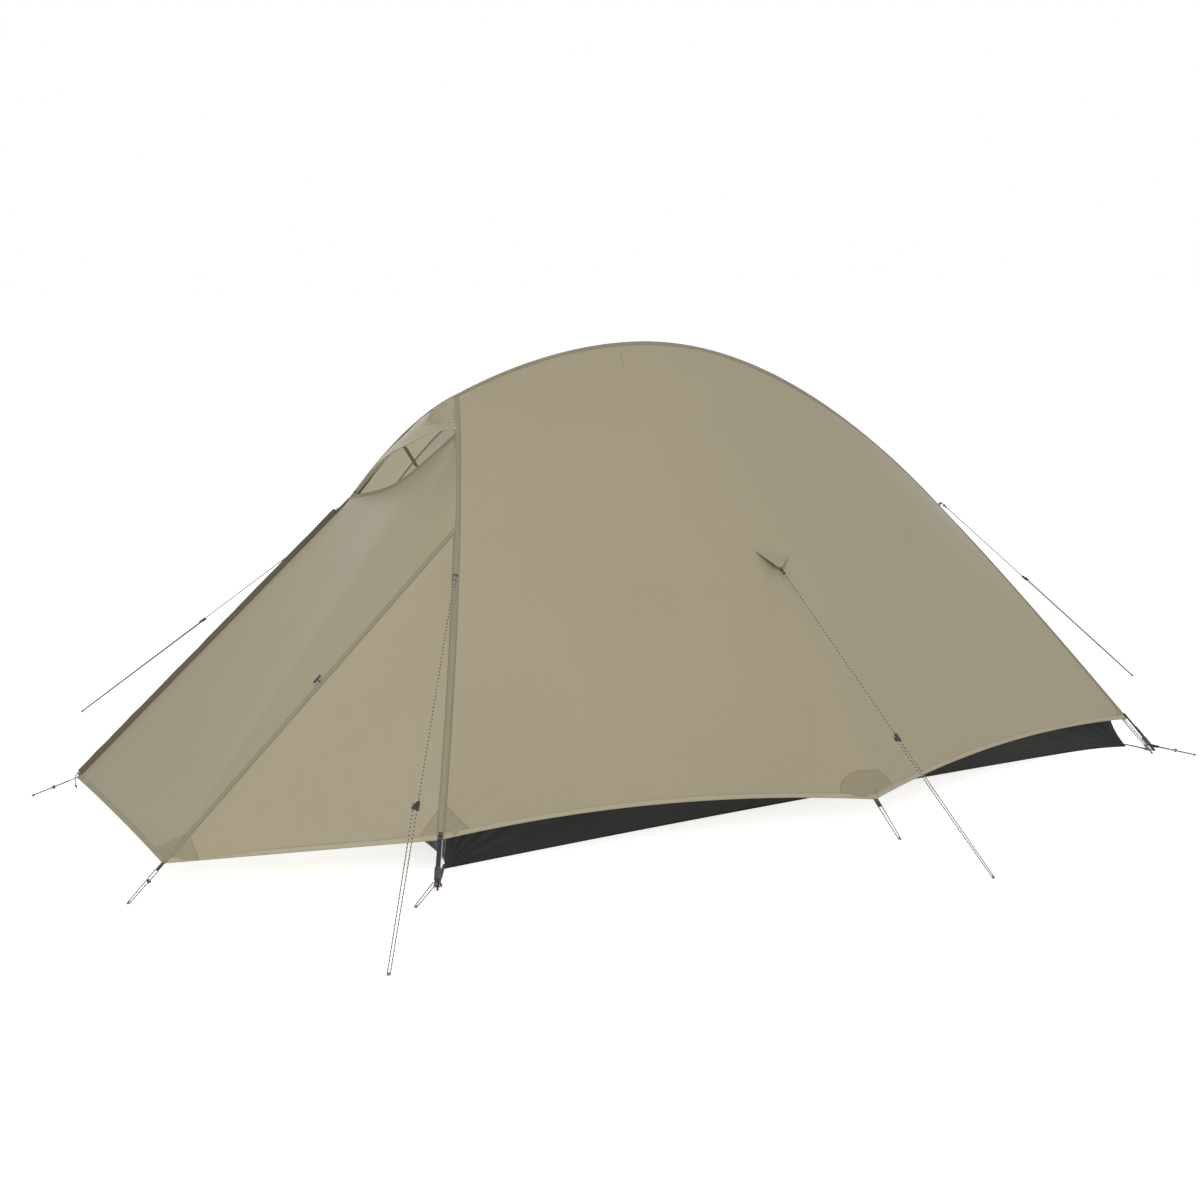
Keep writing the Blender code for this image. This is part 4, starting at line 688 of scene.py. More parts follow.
def shade(colour, factor):
    return tuple(min(1.0, channel * factor) for channel in colour)


def tinted(tree, factor, colour, low, high, places=(0.3, 0.7)):
    """Ramp from a darker to a lighter shade of a colour, between two places of a factor."""
    ramp = add(tree, "ValToRGB", {"Fac": factor})
    for element, place, share in zip(ramp.node.color_ramp.elements, places, (low, high)):
        element.position = place
        element.color = (*shade(colour, share), 1.0)
    return ramp


def painted(tree, where, under, colour):
    """A colour over another face where a factor is one."""
    return add(tree, "Mix", {0: where, 6: under, 7: (*colour, 1.0)}, 2, data_type="RGBA")


def uv_scaled(tree, spacing_u, spacing_v=None):
    """The piece's own UV, one unit for each spacing."""
    scale = (1 / spacing_u, 1 / (spacing_v or spacing_u), 1.0)
    return add(tree, "Mapping", {"Vector": add(tree, "UVMap", uv_map="cut"), "Scale": scale})


def line_grid(tree, vector, width):
    """One along the lines of a square grid with a spacing of one unit, zero elsewhere."""
    fraction = add(tree, "VectorMath", {0: vector}, operation="FRACTION")
    parts = add(tree, "SeparateXYZ", {0: fraction}).node.outputs
    lines = [add(tree, "Math", {0: parts[axis], 1: width}, operation="LESS_THAN") for axis in (0, 1)]
    return add(tree, "Math", {0: lines[0], 1: lines[1]}, operation="MAXIMUM")


RIPSTOP_PITCH, THREAD_PITCH, STITCH_PITCH = 0.0060, 0.0009, 0.0060
MESH_PITCH, BRAID_PITCH, BRAID_GIRTH = 0.0030, 0.0090, 0.0078
STITCH_WIDTH, FLAP_WIDTH = 0.0014, 0.026


def ripstop_cloth(name, colour, roughness=0.58, tone=0.045, glow=0.0):
    """Ripstop polyester, woven and silicone coated: a fine square rib, faint streaks of the weave, and a
    low satin sheen. The real rib is 3 mm; it is drawn at 6 mm so that it holds in the render. glow stands
    for the daylight that the thin cloth lets through to its inner face."""
    material, tree = blank(name, Roughness=roughness, Sheen_Weight=0.12, Sheen_Roughness=0.4,
                           Specular_IOR_Level=0.35, Emission_Color=(*colour, 1.0), Emission_Strength=glow)
    place = add(tree, "TexCoord", output="Object")
    broad = add(tree, "TexNoise", {"Vector": place, "Scale": 2.2, "Detail": 2.0})
    streaks = add(tree, "TexNoise", {"Vector": uv_scaled(tree, 0.004, 0.09), "Scale": 1.0})
    mixed = add(tree, "Mix", {0: 0.35, 2: broad, 3: streaks})
    ribs = line_grid(tree, uv_scaled(tree, RIPSTOP_PITCH), 0.14)
    face = painted(tree, ribs, tinted(tree, mixed, colour, 1 - tone, 1 + tone), shade(colour, 0.93))
    weave = add(tree, "TexNoise", {"Vector": uv_scaled(tree, THREAD_PITCH), "Scale": 1.0})
    height = add(tree, "Math", {0: ribs, 1: weave}, operation="ADD")
    return dressed(material, face, height, 0.10, 0.0004, (broad, roughness - 0.05, roughness + 0.06))


def stitched_tape(name, colour, width, rows=2, thread=None, fades_to=None):
    """Folded strip of the fly's cloth, lock-stitched near both its edges: dashes of a darker thread that
    sink a little. The real stitch is 3 mm; it is drawn at 6 mm so that it holds in the render."""
    material, tree = blank(name, Roughness=0.62, Sheen_Weight=0.1, Sheen_Roughness=0.4)
    along, across, _ = add(tree, "SeparateXYZ", {0: add(tree, "UVMap", uv_map="cut")}).node.outputs
    phase = add(tree, "Math", {0: along, 1: STITCH_PITCH}, operation="DIVIDE")
    phase = add(tree, "Math", {0: phase}, operation="FRACT")
    stitch = add(tree, "Math", {0: phase, 1: 0.62}, operation="LESS_THAN")
    margin = 0.14 * width
    hits = []
    for line in np.linspace(margin, width - margin, rows) - width / 2:
        off = add(tree, "Math", {0: across, 1: float(line)}, operation="SUBTRACT")
        off = add(tree, "Math", {0: off}, operation="ABSOLUTE")
        hits.append(add(tree, "Math", {0: off, 1: STITCH_WIDTH / 2}, operation="LESS_THAN"))
    on_line = hits[0] if rows == 1 else add(tree, "Math", {0: hits[0], 1: hits[1]}, operation="MAXIMUM")
    stitch = add(tree, "Math", {0: stitch, 1: on_line}, operation="MULTIPLY")
    streak = add(tree, "TexNoise", {"Vector": uv_scaled(tree, 0.05, 0.004), "Scale": 1.0})
    face = tinted(tree, streak, colour, 0.95, 1.05)
    # fades_to paints a lighter colour from 8 to 55 cm along the tape. On the rain flap, the dark of its upper part is
    # partly the lining's colour and partly painted shade.
    if fades_to is not None:
        down = add(tree, "MapRange", {"Value": along, "From Min": 0.08, "From Max": 0.55})
        face = painted(tree, down, face, fades_to)
    face = painted(tree, stitch, face, thread or linear("thread"))
    pucker = add(tree, "TexNoise", {"Vector": uv_scaled(tree, 0.012), "Scale": 1.0})
    height = add(tree, "Math", {0: pucker, 1: stitch}, operation="SUBTRACT")
    return dressed(material, face, height, 0.35, 0.0006)


def coated_taffeta(name, colour):
    """Nylon taffeta coated with polyurethane, calendered: nearly black, with a tight satin gloss that
    catches on every fold."""
    material, tree = blank(name, Roughness=0.46, Sheen_Weight=0.04, Specular_IOR_Level=0.30)
    place = add(tree, "TexCoord", output="Object")
    cloudy = add(tree, "TexNoise", {"Vector": place, "Scale": 5.0, "Detail": 3.0})
    weave = add(tree, "TexNoise", {"Vector": uv_scaled(tree, THREAD_PITCH), "Scale": 1.0})
    crumple = add(tree, "TexNoise", {"Vector": place, "Scale": 26.0, "Detail": 2.0})
    height = add(tree, "Math", {0: crumple, 1: weave}, operation="MULTIPLY_ADD")
    return dressed(material, tinted(tree, cloudy, colour, 0.85, 1.2), height, 0.25, 0.002)


def insect_mesh(name, colour):
    """Knitted polyester insect mesh: yarn round open cells, so what is behind shows through. The real
    cells are 0.8 mm; they are drawn at 3 mm so that they hold in the render. The faint glow stands for the
    daylight that comes through the fly behind it."""
    material, tree = blank(name, Roughness=0.8, Base_Color=(*colour, 1.0), Emission_Color=(*colour, 1.0),
                           Emission_Strength=0.42)
    cells = add(tree, "TexVoronoi", {"Vector": uv_scaled(tree, MESH_PITCH), "Scale": 1.0, "Randomness": 0.25},
                "Distance", feature="DISTANCE_TO_EDGE")
    yarn = add(tree, "MapRange", {"Value": cells, "From Min": 0.10, "From Max": 0.22, "To Min": 0.8,
                                  "To Max": 0.10})
    tree.links.new(yarn, tree.nodes["Principled BSDF"].inputs["Alpha"])
    return material


def anodised_tube(name, colour, roughness=0.34):
    """Drawn and anodised aluminium tube: a dull metal gloss with fine streaks along the draw."""
    material, tree = blank(name, Metallic=1.0, Roughness=roughness)
    streak = add(tree, "TexNoise", {"Vector": uv_scaled(tree, 0.20, 0.0012), "Scale": 1.0, "Detail": 3.0})
    return dressed(material, tinted(tree, streak, colour, 0.86, 1.06), streak, 0.08, 0.0002,
                   (streak, roughness - 0.08, roughness + 0.1))


def moulded_plastic(name, colour, roughness, grain=0.0016):
    """Injection-moulded nylon or acetal: an even colour, a fine spark-eroded grain and worn, lighter rubs."""
    material, tree = blank(name, Roughness=roughness)
    place = add(tree, "TexCoord", output="Object")
    rub = add(tree, "TexNoise", {"Vector": place, "Scale": 45.0, "Detail": 4.0})
    pits = add(tree, "TexNoise", {"Vector": place, "Scale": 1 / grain, "Detail": 1.0})
    return dressed(material, tinted(tree, rub, colour, 1.0, 1.5, (0.35, 0.75)), pits, 0.12, 0.0002,
                   (rub, roughness - 0.06, roughness + 0.12))


def woven_webbing(name, colour, rib=0.0016):
    """Polyester webbing, woven: ribs across the strap, dull, with the edges a little paler from wear."""
    material, tree = blank(name, Roughness=0.78, Sheen_Weight=0.15, Sheen_Roughness=0.5)
    ribs = add(tree, "TexWave", {"Vector": uv_scaled(tree, rib), "Scale": 0.5, "Distortion": 0.6}, "Fac",
               bands_direction="X")
    return dressed(material, tinted(tree, ribs, colour, 0.7, 1.5, (0.2, 0.8)), ribs, 0.5, 0.0004)


def braided_cord(name, colour, fleck):
    """Braided polyester cord with two reflective tracers: short pale flecks that wind round a darker braid.
    The flecks repeat every 9 mm, as in the photograph."""
    material, tree = blank(name, Roughness=0.7, Sheen_Weight=0.1)
    wound = add(tree, "Mapping", {"Vector": add(tree, "UVMap", uv_map="cut"), "Rotation": (0, 0, 0.5),
                                  "Scale": (1 / BRAID_PITCH, 1 / BRAID_GIRTH, 1)})
    phase = add(tree, "SeparateXYZ", {0: wound})
    phase = add(tree, "Math", {0: phase}, operation="FRACT")
    flecks = add(tree, "Math", {0: phase, 1: 0.52}, operation="LESS_THAN")
    strands = add(tree, "TexWave", {"Vector": wound, "Scale": 1.5}, "Fac", bands_direction="DIAGONAL")
    face = painted(tree, flecks, tinted(tree, strands, colour, 0.7, 1.25, (0.2, 0.8)), fleck)
    return dressed(material, face, strands, 0.5, 0.0003)


def plated_zinc(name, colour):
    """Die-cast zinc, plated: a bright metal with soft highlights and darker rubs in its hollows."""
    material, tree = blank(name, Metallic=1.0, Roughness=0.32)
    place = add(tree, "TexCoord", output="Object")
    rub = add(tree, "TexNoise", {"Vector": place, "Scale": 160.0, "Detail": 2.0})
    return dressed(material, tinted(tree, rub, colour, 0.7, 1.0, (0.3, 0.6)), rub, 0.1, 0.0002)


# Each with its label, what it colours, and the sRGB colour in daylight
COLOURS = {
    "fly": ("Fly cloth", "Ripstop of the rainfly", "#A49B80"),
    "band": ("Seam tape", "Folded tape over the poles", "#8C846D"),
    "hem": ("Hem tape", "Folded hem round the rainfly", "#A9A187"),
    "patch": ("Corner patch", "Second layer of cloth where the fly is staked", "#968D73"),
    "inside": ("Fly inside", "Inner face of the rainfly, with light coming through", "#ADA998"),
    # This dark colour is partly painted shade: on the rain flap it also stands for the shade between the flap and the
    # door, and it paints the shadow in the gap under the hood's lip.
    "lining": ("Flap lining", "Dark lining of the rain flap and of the zip tape", "#4A4330"),
    "thread": ("Thread", "Sewing thread of the fly", "#7D755E"),
    "tub": ("Tub floor", "Coated nylon of the bathtub floor", "#1F1F1C"),
    "mesh": ("Insect mesh", "Mesh of the inner tent", "#B3AFA0"),
    "pole": ("Poles", "Anodised pole tube", "#B4B7BA"),
    "tip": ("Front tips", "Red anodised tips of the front legs", "#B2222A"),
    "rear_tip": ("Rear tips", "Grey anodised tips of the rear legs", "#7C7E80"),
    "plastic": ("Hubs and buckles", "Moulded plastic", "#1D1C1A"),
    "webbing": ("Webbing", "Straps and tabs", "#242321"),
    "cord": ("Guyline", "Braid of the guylines", "#35332E"),
    "fleck": ("Guyline fleck", "Reflective tracer of the guylines", "#ADA898"),
    "binding": ("Seam binding", "Tape and clips of the inner tent's seams", "#8F8873"),
    "stay": ("Stay", "Stiffened webbing of the hood's stay", "#6E624B"),
    "coil": ("Zip coil", "Nylon coil and tape of the zips", "#2E2A20"),
    "zinc": ("Sliders", "Plated zip sliders", "#B9BABC"),
}
SIZES = {
    "cloth_wall": ("Cloth", "Thickness that the thin fly is drawn with", 0.0006),
    "leg_band": ("Leg tape", "Width of the tape over a leg pole", 0.019),
    "ridge_band": ("Ridge tape", "Width of the tape over the spine pole", 0.024),
    "seam_band": ("Seam tape", "Width of the tape down the vestibule's near seam", 0.0165),
    "hem_width": ("Hem", "Width of the folded hem", 0.013),
    "patch_reach": ("Patch", "Reach of a corner patch along its seam", 0.080),
    "fan_reach": ("Fan patch", "Radius of the half-round patch at the side stake", 0.089),
    "fold_height": ("Folds", "Height of the folds that run out from the stakes", 0.0026),
    "knot_size": ("Knot", "Radius of the knots in the cords", 0.0034),
}
STAGE = {
    "key_power": ("Key", "Power of the large lamp over the near side", 140.0),
    "fill_power": ("Fill", "Power of the lamp on the foot end", 25.0),
    "back_power": ("Back", "Power of the lamp behind the far side", 60.0),
    "sky": ("Sky", "Strength of the even light from all round", 0.46),
    "floor_glow": ("Floor", "How white the floor shows to the camera", 0.72),
}


def colour_property(label, text, hex_colour):
    return FloatVectorProperty(name=label, description=text, subtype="COLOR", size=3, min=0.0, max=1.0,
                               default=srgb(hex_colour))


def float_property(label, text, default, **settings):
    return FloatProperty(name=label, description=text, default=default, min=0.0, **settings)


class TentColours(PropertyGroup):
    """Linear colours of the tent's cloth, metal, plastic and cords."""
    __annotations__ = {key: colour_property(*values) for key, values in COLOURS.items()}


class TentSizes(PropertyGroup):
    """Sizes of the sewn and turned details."""
    __annotations__ = {key: float_property(*values, max=0.2, unit="LENGTH", precision=4)
                       for key, values in SIZES.items()}


class TentStage(PropertyGroup):
    """Light and floor of the stage."""
    __annotations__ = {key: float_property(*values) for key, values in STAGE.items()}


def linear(key):
    return tuple(getattr(bpy.context.scene.tent_colours, key))


def size(key):
    return getattr(bpy.context.scene.tent_sizes, key)


# Each finish with the slot that its pieces ride in
FINISHES = {
    "fly": ("fly_fabric", lambda: ripstop_cloth("silicone_coated_ripstop", linear("fly"))),
    # The inner face is drawn lighter than the fly and glows: painted light for the daylight that comes through the
    # thin cloth.
    "inside": ("fly_fabric", lambda: ripstop_cloth("ripstop_inner_face", linear("inside"), glow=0.58)),
    "tab": ("fly_fabric", lambda: ripstop_cloth("ripstop_pull_out_tab", shade(linear("fly"), 0.93),
                                                tone=0.02)),
    "hem": ("fly_fabric", lambda: stitched_tape("folded_hem_tape", linear("hem"), size("hem_width"), 1)),
    "door_hem": ("fly_fabric", lambda: stitched_tape("folded_hem_tape_of_door", shade(linear("band"), 1.12),
                                                     size("hem_width"), 1)),
    "patch": ("dark_trim_fabric", lambda: ripstop_cloth("ripstop_second_layer", linear("patch"), tone=0.03)),
    # The pleats are the patch's cloth darkened to 0.78: painted shade in the folds.
    "pleat": ("dark_trim_fabric", lambda: ripstop_cloth("ripstop_pleats", shade(linear("patch"), 0.78),
                                                        tone=0.02)),
    "lining": ("dark_trim_fabric", lambda: ripstop_cloth("dark_ripstop_lining", linear("lining"), 0.66,
                                                         0.12)),
    "flap": ("dark_trim_fabric", lambda: stitched_tape("folded_rain_flap", linear("lining"), FLAP_WIDTH, 1,
                                                       shade(linear("lining"), 0.6),
                                                       shade(linear("lining"), 1.5))),
    **{f"{part}_band": ("dark_trim_fabric", lambda part=part: stitched_tape(
        f"folded_tape_on_{part}", linear("band"), size(f"{part}_band")))
       for part in ("leg", "ridge", "seam")},
    "tub": ("floor_fabric", lambda: coated_taffeta("polyurethane_coated_taffeta", linear("tub"))),
    "mesh": ("mesh_fabric", lambda: insect_mesh("knitted_insect_mesh", linear("mesh"))),
    "webbing": ("webbing", lambda: woven_webbing("woven_polyester_webbing", linear("webbing"))),
    "binding": ("webbing", lambda: woven_webbing("grosgrain_seam_binding", linear("binding"), 0.0012)),
    "stay": ("webbing", lambda: woven_webbing("stiffened_webbing", linear("stay"), 0.0012)),
    "thread": ("webbing", lambda: woven_webbing("twisted_polyester_thread", linear("thread"), 0.0010)),
    "cord": ("cord", lambda: braided_cord("braided_reflective_cord", linear("cord"), linear("fleck"))),
    "coil": ("zip_coil", lambda: woven_webbing("nylon_zip_tape_and_coil", linear("coil"), 0.0020)),
    "zinc": ("zip_metal", lambda: plated_zinc("plated_die_cast_zinc", linear("zinc"))),
    "plastic": ("buckle_plastic", lambda: moulded_plastic("moulded_acetal", linear("plastic"), 0.38)),
    "clip": ("buckle_plastic", lambda: moulded_plastic("moulded_khaki_acetal", linear("binding"), 0.42)),
    "hub": ("hub_plastic", lambda: moulded_plastic("moulded_glass_filled_nylon",
                                                   shade(linear("plastic"), 1.6), 0.52)),
    "pole": ("pole_aluminium", lambda: anodised_tube("anodised_aluminium_tube", linear("pole"))),
    "tip": ("tip_aluminium", lambda: anodised_tube("red_anodised_aluminium", linear("tip"), 0.30)),
    "rear_tip": ("tip_aluminium", lambda: anodised_tube("grey_anodised_aluminium", linear("rear_tip"))),
}


def finish(key):
    """The named finish, made when it is first asked for."""
    made = bpy.data.materials.get("tent_" + key)
    if made is None:
        made = FINISHES[key][1]()
        made.name = "tent_" + key
    return made


def piece(name, shape, look, body="tent", slot=None, replaces=(), out=None, wall=0.0, sharp=None,
          lining=None):
    """A finished piece: its mesh, a wall for an open sheet, its finish and that of its inner face, its body,
    its slot if it isn't its finish's own, and what it replaces."""
    made = put_mesh(name, shape, out)
    made.data.materials.append(finish(look))
    if sharp:
        made.data.set_sharp_from_angle(angle=math.radians(sharp))
    if wall:
        thickness = made.modifiers.new("wall", "SOLIDIFY")
        thickness.thickness = wall
        thickness.offset = 0.0
        if lining:
            made.data.materials.append(finish(lining))
            thickness.material_offset = 1
    if body:
        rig.ride(made, body)
    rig.slot(made, slot or FINISHES[look][0])
    if replaces:
        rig.replaces(made, *replaces)
    return made


# Cords, by the routes of the solids' source

CORD_D = 0.0025
STRAND_SPACING = 0.010
CORD_STEP = 0.110
TENSIONER_SIZE = (0.018, 0.006, 0.024)
CORD_TAIL = 0.0035
PEG_R = 0.003
GUY_LOOP = (0.012, 0.0020, 0.014)
GUY_HEIGHT = 0.655
REAR_LOOP_BACK = 0.002
STAKE_WEB_LENGTH = 0.024
WEBBING_WIDTH, WEBBING_THICKNESS, WEBBING_LAP = 0.010, 0.0012, 0.018
CORNER_TAB_HEIGHT, CORNER_TAB_WIDTH, CORNER_TAB_CUT = 0.0115, 0.020, 0.004
TAB_WIDTH, TAB_DROP, TAB_REACH, TAB_STANDOFF = 0.100, 0.055, 0.022, 0.0010
PANEL_EDGE = SEAM_D / 2 + GAP + CLOTH / 2
RIDGE_STATIONS, SIDE_STATIONS = 20, 12
LOOP_WEB_LENGTH = {"front": 0.009, "rear": 0.020}
# Stake points on the ground, one for each cord, chosen one by one
GUY_PEGS = {
    "near_front": (-1.409, -1.120, 0.0018),
    "far_front": (-1.420, 1.290, 0.0018),
    "near_side": (0.018, -1.290, 0.0018),
    "rear": (1.805, 0.000, 0.0018),
}
TENSIONER_PLACE = {"near_front": 0.62, "far_front": 0.47, "near_side": 0.575, "rear": 0.41}
LOOP_PEGS = {
    "near_front_corner": (-1.214, -0.800, 0.0018),
    "near_rear_corner": (1.222, -0.800, 0.0018),
    "near_vestibule": (-1.752, -0.4625, 0.0018),
    "far_vestibule": (-1.752, 0.4625, 0.0018),
    "near_hem": (0.004, -0.967, 0.0018),
}
# Share of the way to its peg at which a stake loop has a stopper knot on its second strand
LOOP_BEADS = {"near_vestibule": 0.33, "far_vestibule": 0.40, "near_rear_corner": 0.49}


def mirrored(point, side):
    """A near-side point put on the given side."""
    return np.asarray(point, dtype=float) * np.array([1.0, -side, 1.0])


def cord_start(face, face_out, along):
    """First point of a cord that leaves a face in a direction, its end clear of the face by a gap."""
    cosine = float(np.dot(face_out, along))
    sine = math.sqrt(max(0.0, 1 - cosine ** 2))
    return face + along * (GAP + CORD_D / 2 * sine) / cosine


def guy_loop_place(name):
    """Point on a seam where a guy loop is sewn, and the direction out of the tent there."""
    if name == "rear":
        back = unit(FLY_RIDGE[-1 - FINE] - FLY_RIDGE[-1])
        return FLY_RIDGE[-1] + REAR_LOOP_BACK * back, unit([1.0, 0, 0.6])
    line = FLY_LEGS["front", name]
    return at(line, share_at_height(line, GUY_HEIGHT)), unit([-0.45, SIDES[name] * 0.75, 0.25])


def guy_loop_end(name):
    place, out = guy_loop_place(name)
    return place + out * (GUY_LOOP[2] - SEAM_D / 4), out


def tab_line(name):
    """Ends of the line that a side panel's tab is sewn along, the way down from it and the way out."""
    surface = side_panel(name)
    u = TAB_PLACE[0] + np.array([-0.5, 0.5]) / RIDGE_STATIONS
    row = np.floor(TAB_PLACE[1] * SIDE_STATIONS) / SIDE_STATIONS
    above, below = surface(u, np.full(2, row)), surface(u, np.full(2, row + 1 / SIDE_STATIONS))
    ends = above + (TAB_PLACE[1] - row) * SIDE_STATIONS * (below - above)
    out = unit(np.cross(ends[1] - ends[0], below[0] - ends[0]))
    return ends, unit(below[0] - ends[0]), out * (1 if out[1] * SIDES[name] > 0 else -1)


def tab_corners(name):
    """Two top corners and the tip of a pull-out tab."""
    ends, down, out = tab_line(name)
    centre = ends.mean(axis=0) + out * (CLOTH + TAB_STANDOFF)
    along = unit(ends[1] - ends[0]) * TAB_WIDTH / 2
    return centre - along, centre + along, centre + down * TAB_DROP + out * TAB_REACH


def tub_corner(end, side, height):
    """Corner of the tub floor's wall at a height above the ground."""
    x = -TUB_FRONT_X if end == "front" else TUB_REAR_X
    lean = TUB_LEAN * height / TUB_HEIGHT
    return np.array([x - math.copysign(lean, x), side * (TUB_Y - lean), height])


def tip_axis(end, name):
    """Nose of a leg's tip and the way up the leg from it."""
    line = part_of(LEGS[end, name], 0, 1, 21)
    return line[-1], unit(line[-2] - line[-1])


def corner_level(end, name):
    """Level direction from the tub's corner out through the foot, the grommet's centre and the corner."""
    nose, up_pole = tip_axis(end, name)
    hole = nose + up_pole * (CORNER_TAB_HEIGHT - nose[2]) / up_pole[2]
    corner = tub_corner(end, SIDES[name], CORNER_TAB_HEIGHT)
    return unit((hole - corner) * np.array([1, 1, 0])), hole, corner


def stake_web_ends(name):
    """Start and end of the short webbing at a staked corner of the hem."""
    side_name, kind = name.split("_")
    side = SIDES[side_name]
    corner = vestibule_corner(side) if kind == "vestibule" else SIDE_STAKE * np.array([1, side, 1])
    clear = 0.0 if kind == "vestibule" else CLOTH / 2 + 2 * GAP
    along = unit(mirrored(LOOP_PEGS[f"near_{kind}"], side) - corner)
    return corner + along * clear, corner + along * (clear + STAKE_WEB_LENGTH)


def straight(start, end, step=CORD_STEP):
    return between(start, end, max(2, int(round(length_of(end - start) / step)) + 1))


def round_peg(peg, along, across, count=17):
    """Half circle of cord that ends at a peg, from one strand over to the other."""
    turn = np.linspace(math.pi / 2, -math.pi / 2, count)[:, None]
    return peg - along * PEG_R + PEG_R * (np.sin(turn) * across + np.cos(turn) * along)


def guyline_route(name, face, face_out):
    """Down one strand from the face to the peg, round it, and back up into the tensioner."""
    peg = np.array(GUY_PEGS[name])
    start = cord_start(face, face_out, unit(peg - face))
    along = unit(peg - start)
    across = unit(np.cross(along, UP))
    centre = start + (peg - start) * TENSIONER_PLACE[name] + across * STRAND_SPACING / 2
    bend = round_peg(peg + across * STRAND_SPACING / 2, along, -across)
    top = centre + across * STRAND_SPACING / 2 - along * CORD_TAIL
    path = np.concatenate((straight(start, bend[0])[:-1], bend, straight(bend[-1], top)[1:]))
    return path, along, across, centre


def guyline_starts():
    """Face that each guyline leaves, and the way that face looks."""
    tip = tab_corners("near")[2]
    loops = {"near_front": "near", "far_front": "far", "rear": "rear"}
    return {**{name: guy_loop_end(loop) for name, loop in loops.items()},
            "near_side": (tip, unit(np.array(GUY_PEGS["near_side"]) - tip))}


def loop_root(end, name):
    """Foot of a corner's buckle, where the corner's stake loop is threaded through its webbing."""
    nose, up_pole = tip_axis(end, name)
    out = unit(UP - up_pole * up_pole[2])
    return nose + out * (FLY_LIFT + SEAM_D / 2 + GAP + WEBBING_THICKNESS / 2) + up_pole * 0.020


def stake_loop_route(name):
    """From its webbing to the peg, round it and back, and the way it runs."""
    parts = name.split("_")
    peg = np.array(LOOP_PEGS[name])
    if parts[-1] == "corner":
        root = loop_root(parts[1], parts[0])
        face_out = unit(peg - root)
        start = root + face_out * LOOP_WEB_LENGTH[parts[1]]
    else:
        start = stake_web_ends(name)[1]
        face_out = unit(peg - start)
    along = unit(peg - start)
    first = cord_start(start, face_out, along)
    spread = unit(np.cross(face_out, UP)) * STRAND_SPACING / 2
    bend = round_peg(peg, along, unit(np.cross(along, UP)))
    return np.concatenate(([first + spread], bend, [first - spread])), along


def knot_shape(centre, axis, radius):
    """Overhand knot: a tube along a trefoil, whose three lobes wind twice round the cord's axis."""
    axis = unit(axis)
    side = unit(np.cross(axis, [0.21, 0.35, 0.91]))
    other = np.cross(axis, side)
    t = np.linspace(0, 2 * math.pi, 73)[:, None]
    reach = (2 + np.cos(3 * t)) / 3
    path = reach * np.cos(2 * t) * side + reach * np.sin(2 * t) * other + 0.5 * np.sin(3 * t) * axis
    return tube(centre + radius * path, radius * 0.42, ref=axis, sides=8)


def cord_tube(path):
    """The cord's tube, in the plane of its own bend."""
    ref = unit(np.cross(path[-1] - path[0] + 1e-6, path[len(path) // 2] - path[0]))
    fine = np.concatenate([straight(a, b, 0.02)[:-1] for a, b in zip(path, path[1:])] + [path[-1:]])
    return tube(fine, CORD_D / 2, ref=ref, sides=10)


def tied_cord(name, shape, path, tied, knots, far_end="object", diameter=CORD_D, lay="taut", body="tent",
              replaces=()):
    """A cord and the knots in it, each as its place, the way along and its radius."""
    cord = piece(name, shape, "cord", body, replaces=replaces)
    knot = piece(tied, joined([knot_shape(*knot) for knot in knots]), "cord", body)
    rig.cord(cord, exit=path[0], length=float(arc_lengths(path)[-1]), diameter=diameter, far_end=far_end,
            stiffness="limp", lay=lay, path=path, with_pieces=[knot])


class TENT_OT_cords(Operator):
    """Guylines round their pegs and the short stake loops, with their knots."""
    bl_idname = "tent.cords"
    bl_label = "Cords"

    def execute(self, context):
        knot = size("knot_size")
        for name, (face, face_out) in guyline_starts().items():
            path, along, across, _ = guyline_route(name, face, face_out)
            peg = np.array(GUY_PEGS[name]) + across * STRAND_SPACING / 2
            knots = [(path[0] + along * 0.012, along, knot), (path[0] + along * 0.021, along, knot * 0.8),
                     (path[-1], along, knot * 0.8), (peg - along * 0.004, along, knot * 0.8)]
            tied_cord(f"guyline_{name}_cord", cord_tube(path), path, f"guyline_{name}_knots", knots, "knot",
                      replaces=[f"guyline_{name}"])
        for name in LOOP_PEGS:
            path, along = stake_loop_route(name)
            knots = [(np.array(LOOP_PEGS[name]) - along * 0.004, along, knot * 0.8)]
            if name in LOOP_BEADS:
                knots.append((path[-1] + (path[-2] - path[-1]) * LOOP_BEADS[name], along, knot * 1.25))
            tied_cord(f"stake_loop_{name}_cord", cord_tube(path), path, f"stake_loop_{name}_knot", knots,
                      replaces=[f"stake_loop_{name}"])
        return {"FINISHED"}


# Rainfly

SILL_RUNS, LIP_RUNS = 12, 10
DOOR_COLUMNS, PANEL_COLUMNS, FRONT_ROWS = 64, 90, 120
FOLD_SHARE = DOOR_COLUMNS / (DOOR_COLUMNS + PANEL_COLUMNS)
SILL_SHARE = FOLD_SHARE + (1 - FOLD_SHARE) * SILL_RUNS / (SILL_RUNS + VENT_RUNS)
FOLD_BLEND = 0.030
LEAST_AREA = 0.301
TAPE_CLEAR = 0.0009
OUT_WAYS = {"near": np.array([0.0, -1.0, 0.5]), "far": np.array([0.0, 1.0, 0.5]),
            "rear": np.array([1.0, 0.0, 0.6]), "front": np.array([-0.67, 0.0, 0.74])}


def vent_sill():
    """Top edge of the front panel, from the far seam down and up again to the near leg."""
    points = [FLY_LEGS["front", "near"][HOOD_RUNS * FINE]] + [np.array(point) for point in VENT_SILL]
    return smooth_through(points + [seam_top("far")], SILL_RUNS * FINE + 1)[::-1]


